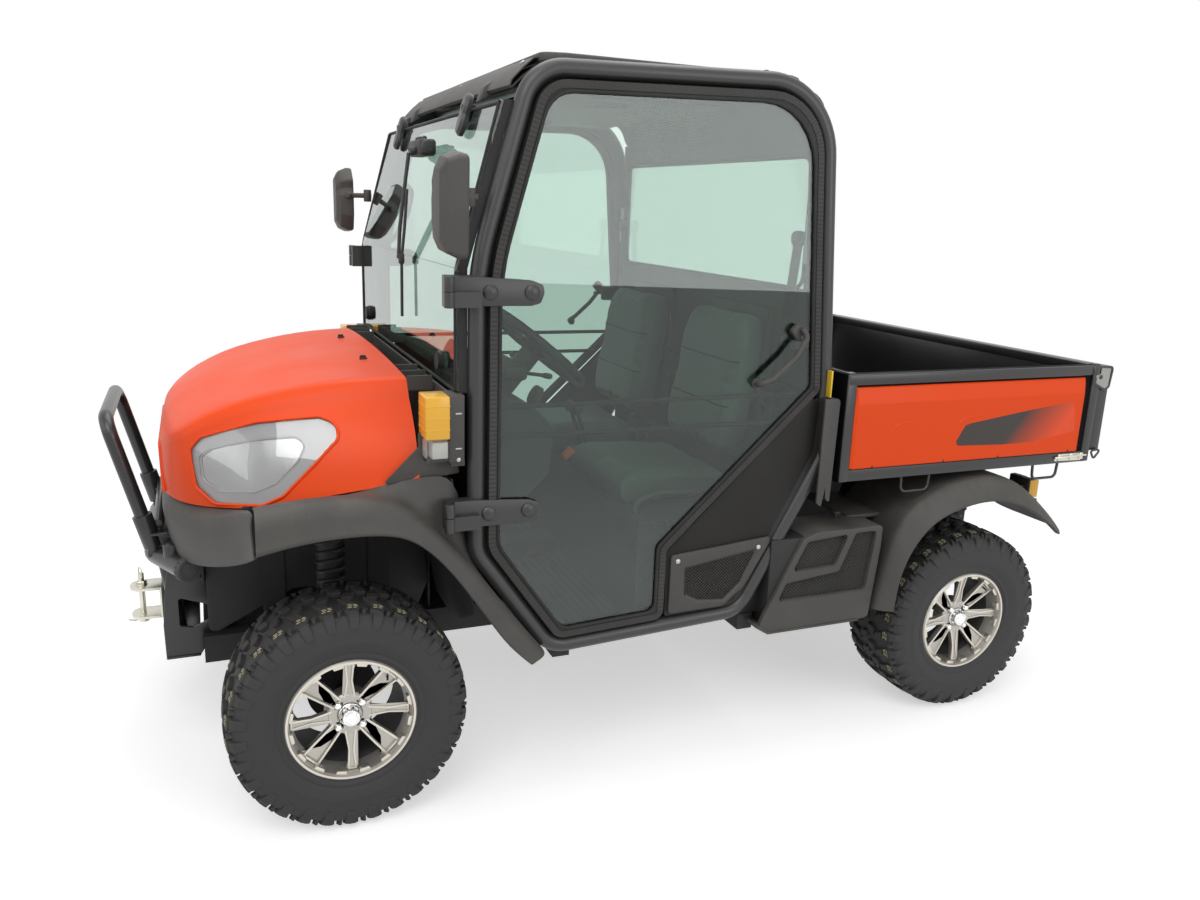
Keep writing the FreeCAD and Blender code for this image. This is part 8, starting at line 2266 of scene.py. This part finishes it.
class UTV_OT_seats(bpy.types.Operator):
    """Two padded seats with sewn seams"""
    bl_idname = "utv.seats"
    bl_label = "Seats"

    def execute(self, context):
        lean = math.radians(9)
        for side, who in ((1, "driver"), (-1, "passenger")):
            x = 0.330 * side
            cushion = [(-0.150, 0.792), (-0.158, 0.846), (-0.120, 0.866), (0.060, 0.860),
                       (0.236, 0.842), (0.250, 0.800), (0.240, 0.786), (-0.130, 0.782)]
            padded_cover(plate(cushion, "X", x - 0.218, x + 0.218, 0.02, 0.016, 3),
                         who + "_seat_cushion", who + "_cushion", 0.014)
            outline = [(x - 0.205, 0.0), (x - 0.222, 0.12), (x - 0.214, 0.36),
                       (x - 0.176, 0.462), (x + 0.176, 0.462), (x + 0.214, 0.36),
                       (x + 0.222, 0.12), (x + 0.205, 0.0)]
            slab = plate(outline, "Y", 0.0, 0.076, 0.06, 0.02, 3)
            slab.data.transform(Matrix.Translation((0, 0.196, 0.895))
                                @ Matrix.Rotation(-lean, 4, 'X'))
            back = padded_cover(slab, who + "_seat_back", who + "_back", 0.016)
            seams = []
            for z in (0.16, 0.30):
                place = (Matrix.Translation((x, 0.196, 0.895)) @ Matrix.Rotation(-lean, 4, 'X'))
                path = [place @ Vector((u, -0.009 - 0.004 * (1 - (u / 0.2) ** 2), z))
                        for u in (-0.19, -0.10, 0.0, 0.10, 0.19)]
                seams.append(path)
            self.sew(seams, who + "_seat_seams", back)
        return {'FINISHED'}

    def sew(self, paths, name, pad):
        """Fine piping laid on the pad's front."""
        pieces = []
        for path in paths:
            line = []
            for k in range(33):
                t = k / 32 * (len(path) - 1)
                i = min(int(t), len(path) - 2)
                p = path[i].lerp(path[i + 1], t - i)
                hit, place, _, _ = pad.ray_cast(Vector((p.x, -0.2, p.z)), Vector((0, 1, 0)))
                if hit:
                    line.append(place + Vector((0, 0.0004, 0)))
            pieces.append(tube(line, 0.0022, sides=2))
        finish(joined(pieces), name, "vehicle", "seal_rubber")


class UTV_OT_cabin(bpy.types.Operator):
    """Steering wheel, dash controls, seat base, levers, mats, belts, console and grab handles"""
    bl_idname = "utv.cabin"
    bl_label = "Cabin"

    def execute(self, context):
        dress("dash_plastic", "dashboard")
        centre = Vector((0.310, -0.336, 1.226))
        tilt = math.radians(40)
        axis = Vector((0, math.sin(tilt), math.cos(tilt)))
        turn = Vector((0, 0, 1)).rotation_difference(axis).to_matrix().to_4x4()
        clear()
        bpy.ops.mesh.primitive_torus_add(major_radius=0.1705, minor_radius=0.0138,
                                         major_segments=64, minor_segments=12)
        ring = bpy.context.object
        for vertex in ring.data.vertices:
            a = math.atan2(vertex.co.y, vertex.co.x)
            grip = 1.0 + 0.05 * max(0.0, math.cos(a * 24))
            r = math.hypot(vertex.co.x, vertex.co.y)
            vertex.co.z *= grip
            scale = (0.1705 + (r - 0.1705) * grip) / r
            vertex.co.x *= scale
            vertex.co.y *= scale
        parts = [ring, lathe([(-0.022, 0), (-0.022, 0.040), (-0.012, 0.046), (0.006, 0.045),
                              (0.016, 0.036), (0.019, 0.02), (0.0195, 0)], (0, 0, 0), (0, 0, 1))]
        for angle in (0, 105, -105):
            spoke = plate([(-0.018, 0.030), (-0.012, 0.090), (-0.020, 0.166), (0.020, 0.166),
                           (0.012, 0.090), (0.018, 0.030)], "Z", -0.012, -0.002, 0.01, 0.003)
            spoke.data.transform(Matrix.Rotation(math.radians(angle), 4, 'Z')
                                 @ Matrix.Rotation(math.pi, 4, 'Z'))
            parts.append(spoke)
        wheel = joined(parts)
        wheel.data.transform(Matrix.Translation(centre) @ turn)
        finish(wheel, "steering_wheel_rim", "steering_wheel", "dash_plastic",
               "steering_wheel")
        stalks = []
        for side, z in ((-1, 0.0), (1, -0.01)):
            start = centre - axis * 0.085 + Vector((0.02 * side, 0, z))
            end = start + Vector((0.13 * side, 0.03, 0.012))
            stalks += [rod(start, end, 0.0055, 0.002, 12),
                       rod(end, end + Vector((0.035 * side, 0.006, 0.003)), 0.0085, 0.003, 12)]
        pods = [block((0.19, -0.470, 1.142), (0.43, -0.398, 1.188), 0.014, 3),
                block((-0.56, -0.400, 1.050), (-0.16, -0.387, 1.112), 0.008, 2),
                block((-0.10, -0.402, 0.92), (0.14, -0.386, 1.100), 0.010, 2)]
        for x in (-0.07, -0.025, 0.02, 0.065, 0.11):
            pods.append(block((x - 0.014, -0.388, 1.035), (x + 0.014, -0.381, 1.075), 0.003))
        for x in (-0.48, -0.24, 0.22, 0.50):
            pods.append(rod((x, -0.410, 1.118), (x, -0.392, 1.108), 0.030, 0.003, 32))
        finish(joined(stalks + pods), "dash_controls", "vehicle", "cab_plastic")
        dial = [rod((x, -0.402, 1.166), (x, -0.3965, 1.166), 0.019, 0.001) for x in (0.27, 0.35)]
        finish(joined(dial), "dash_dials", "vehicle", "lamp_dark")
        knobs = [rod((-0.075, -0.386, 1.005), (-0.075, -0.374, 1.003), 0.012, 0.002),
                 rod((0.52, -0.32, 0.93), (0.52, -0.29, 0.955), 0.013, 0.004)]
        finish(joined(knobs), "dash_knobs", "vehicle", "safety_orange")
        base = [block((-0.560, -0.120, 0.470), (0.560, 0.330, 0.742), 0.012, 3),
                plate([(-0.118, 0.742), (-0.150, 0.768), (0.320, 0.768), (0.330, 0.742)], "X",
                      -0.575, 0.575, edge=0.003),
                block((-0.070, -0.100, 0.768), (0.070, 0.300, 0.815), 0.012, 3)]
        for x in (-0.035, 0.03):
            base.append(rod((x, -0.04, 0.81), (x - 0.004, -0.085, 0.955), 0.0065, 0.001, 12))
            base.append(dome((x - 0.004, -0.083, 0.950), (0, -0.3, 0.95), 0.019, 0.034))
        base.append(tube([(0.605, -0.10, 0.74), (0.610, -0.14, 0.80), (0.610, -0.06, 0.83),
                          (0.606, 0.10, 0.82)], 0.010, bend=0.03, sides=4))
        for side in (-1, 1):
            low, high = sorted((side * 0.16, side * 0.50))
            base.append(plate([(0.322, 0.85), (0.352, 0.86), (0.368, 1.36), (0.350, 1.36)], "X",
                              low, high, 0.01, 0.003))
        finish(joined(base), "seat_frame", "vehicle", "cab_plastic")
        mats = []
        for side in (-1, 1):
            low, high = sorted((side * 0.035, side * 0.665))
            mats.append(block((low, -0.440, 0.4535), (high, -0.135, 0.4580), 0.002))
            for k in range(12):
                y = -0.425 + 0.0245 * k
                mats.append(block((low + 0.03, y, 0.457), (high - 0.03, y + 0.010, 0.4625),
                                  0.0015, 1))
        for x in (0.22, 0.34):
            mats.append(block((x, -0.500, 0.60), (x + 0.065, -0.488, 0.665), 0.004))
            mats.append(rod((x + 0.032, -0.490, 0.64), (x + 0.032, -0.54, 0.80), 0.006, 0.001, 10))
        finish(joined(mats), "floor_mats", "vehicle", "floor_mat")
        belts, buckles = [], []
        for side in (-1, 1):
            x = side * 0.600
            path = [(x + 0.030 * side, 0.350, 1.56), (x + 0.012 * side, 0.338, 1.30),
                    (x, 0.300, 0.92), (x, 0.250, 0.80)]
            rows = []
            for p in path:
                rows.append([(p[0] - 0.023, p[1], p[2]), (p[0] + 0.023, p[1], p[2])])
            belt = sheet(rows)
            belts.append(thick(belt, 0.0016))
            buckles.append(block((side * 0.075 - 0.013, 0.160, 0.815),
                                 (side * 0.075 + 0.013, 0.185, 0.915), 0.004))
            buckles.append(rod((x + 0.030 * side, 0.362, 1.57), (x + 0.030 * side, 0.335, 1.57),
                               0.022, 0.004))
        finish(joined(belts), "belts", "vehicle", "belt_web")
        finish(joined(buckles), "buckles", "vehicle", "dash_plastic")
        guides = pair(block((0.655, 0.352, 1.50), (0.672, 0.362, 1.64), 0.003))
        finish(guides, "belt_guides", "vehicle", "white_print")
        roof_parts = [block((-0.50, -0.30, 1.925), (0.50, 0.20, 1.971), 0.018, 3),
                      block((-0.14, -0.44, 1.880), (0.14, -0.415, 1.925), 0.008, 2)]
        for x in (-0.34, 0.34):
            roof_parts.append(rod((x, -0.14, 1.930), (x, -0.14, 1.912), 0.062, 0.006, 40))
        finish(joined(roof_parts), "roof_console", "vehicle", "cab_plastic")
        grabs = []
        for side in (-1, 1):
            grabs.append(tube([(0.660 * side, -0.530, 1.700), (0.618 * side, -0.508, 1.668),
                               (0.610 * side, -0.528, 1.590), (0.618 * side, -0.566, 1.512),
                               (0.660 * side, -0.592, 1.480)], 0.0105, bend=0.03, sides=5))
        rail = [tube([(-0.69, 0.355, z), (0.69, 0.355, z)], 0.008, sides=4) for z in (1.05, 1.13)]
        finish(joined(grabs + rail), "grab_handles", "vehicle", "tube_paint")
        return {'FINISHED'}


# Panel and start

class UTV_PT_vehicle(bpy.types.Panel):
    """Buttons for each group of pieces"""
    bl_label = "Utility Vehicle"
    bl_idname = "UTV_PT_vehicle"
    bl_space_type = 'VIEW_3D'
    bl_region_type = 'UI'
    bl_category = "Utility Vehicle"

    def draw(self, context):
        scene = context.scene
        for group in (scene.utv_finish, scene.utv_wheels, scene.utv_stage):
            box = self.layout.box()
            for key in group.bl_rna.properties.keys():
                if key not in ("rna_type", "name"):
                    box.prop(group, key)
        for operator in OPERATORS:
            self.layout.operator(operator.bl_idname)


GROUPS = [("utv_finish", UTV_PG_finish), ("utv_wheels", UTV_PG_wheels),
          ("utv_stage", UTV_PG_stage)]
OPERATORS = [cls for cls in list(globals().values())
             if isinstance(cls, type) and issubclass(cls, bpy.types.Operator)]


def register():
    for key, group in GROUPS:
        bpy.utils.register_class(group)
        setattr(bpy.types.Scene, key, bpy.props.PointerProperty(type=group))
    for cls in OPERATORS + [UTV_PT_vehicle]:
        bpy.utils.register_class(cls)


def unregister():
    for cls in [UTV_PT_vehicle] + OPERATORS[::-1]:
        bpy.utils.unregister_class(cls)
    for key, group in GROUPS[::-1]:
        delattr(bpy.types.Scene, key)
        bpy.utils.unregister_class(group)


def main():
    register()
    build_materials(bpy.context.scene.utv_finish)
    for operator in OPERATORS:
        getattr(bpy.ops.utv, operator.bl_idname.split(".")[1])()
    sizes = {"before": [list(map(float, p)) for p in cad_box],
             "after": [list(map(float, p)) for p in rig.bounds()]}
    with open("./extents.json", "w") as file:
        json.dump(sizes, file)


if __name__ == "__main__":
    main()
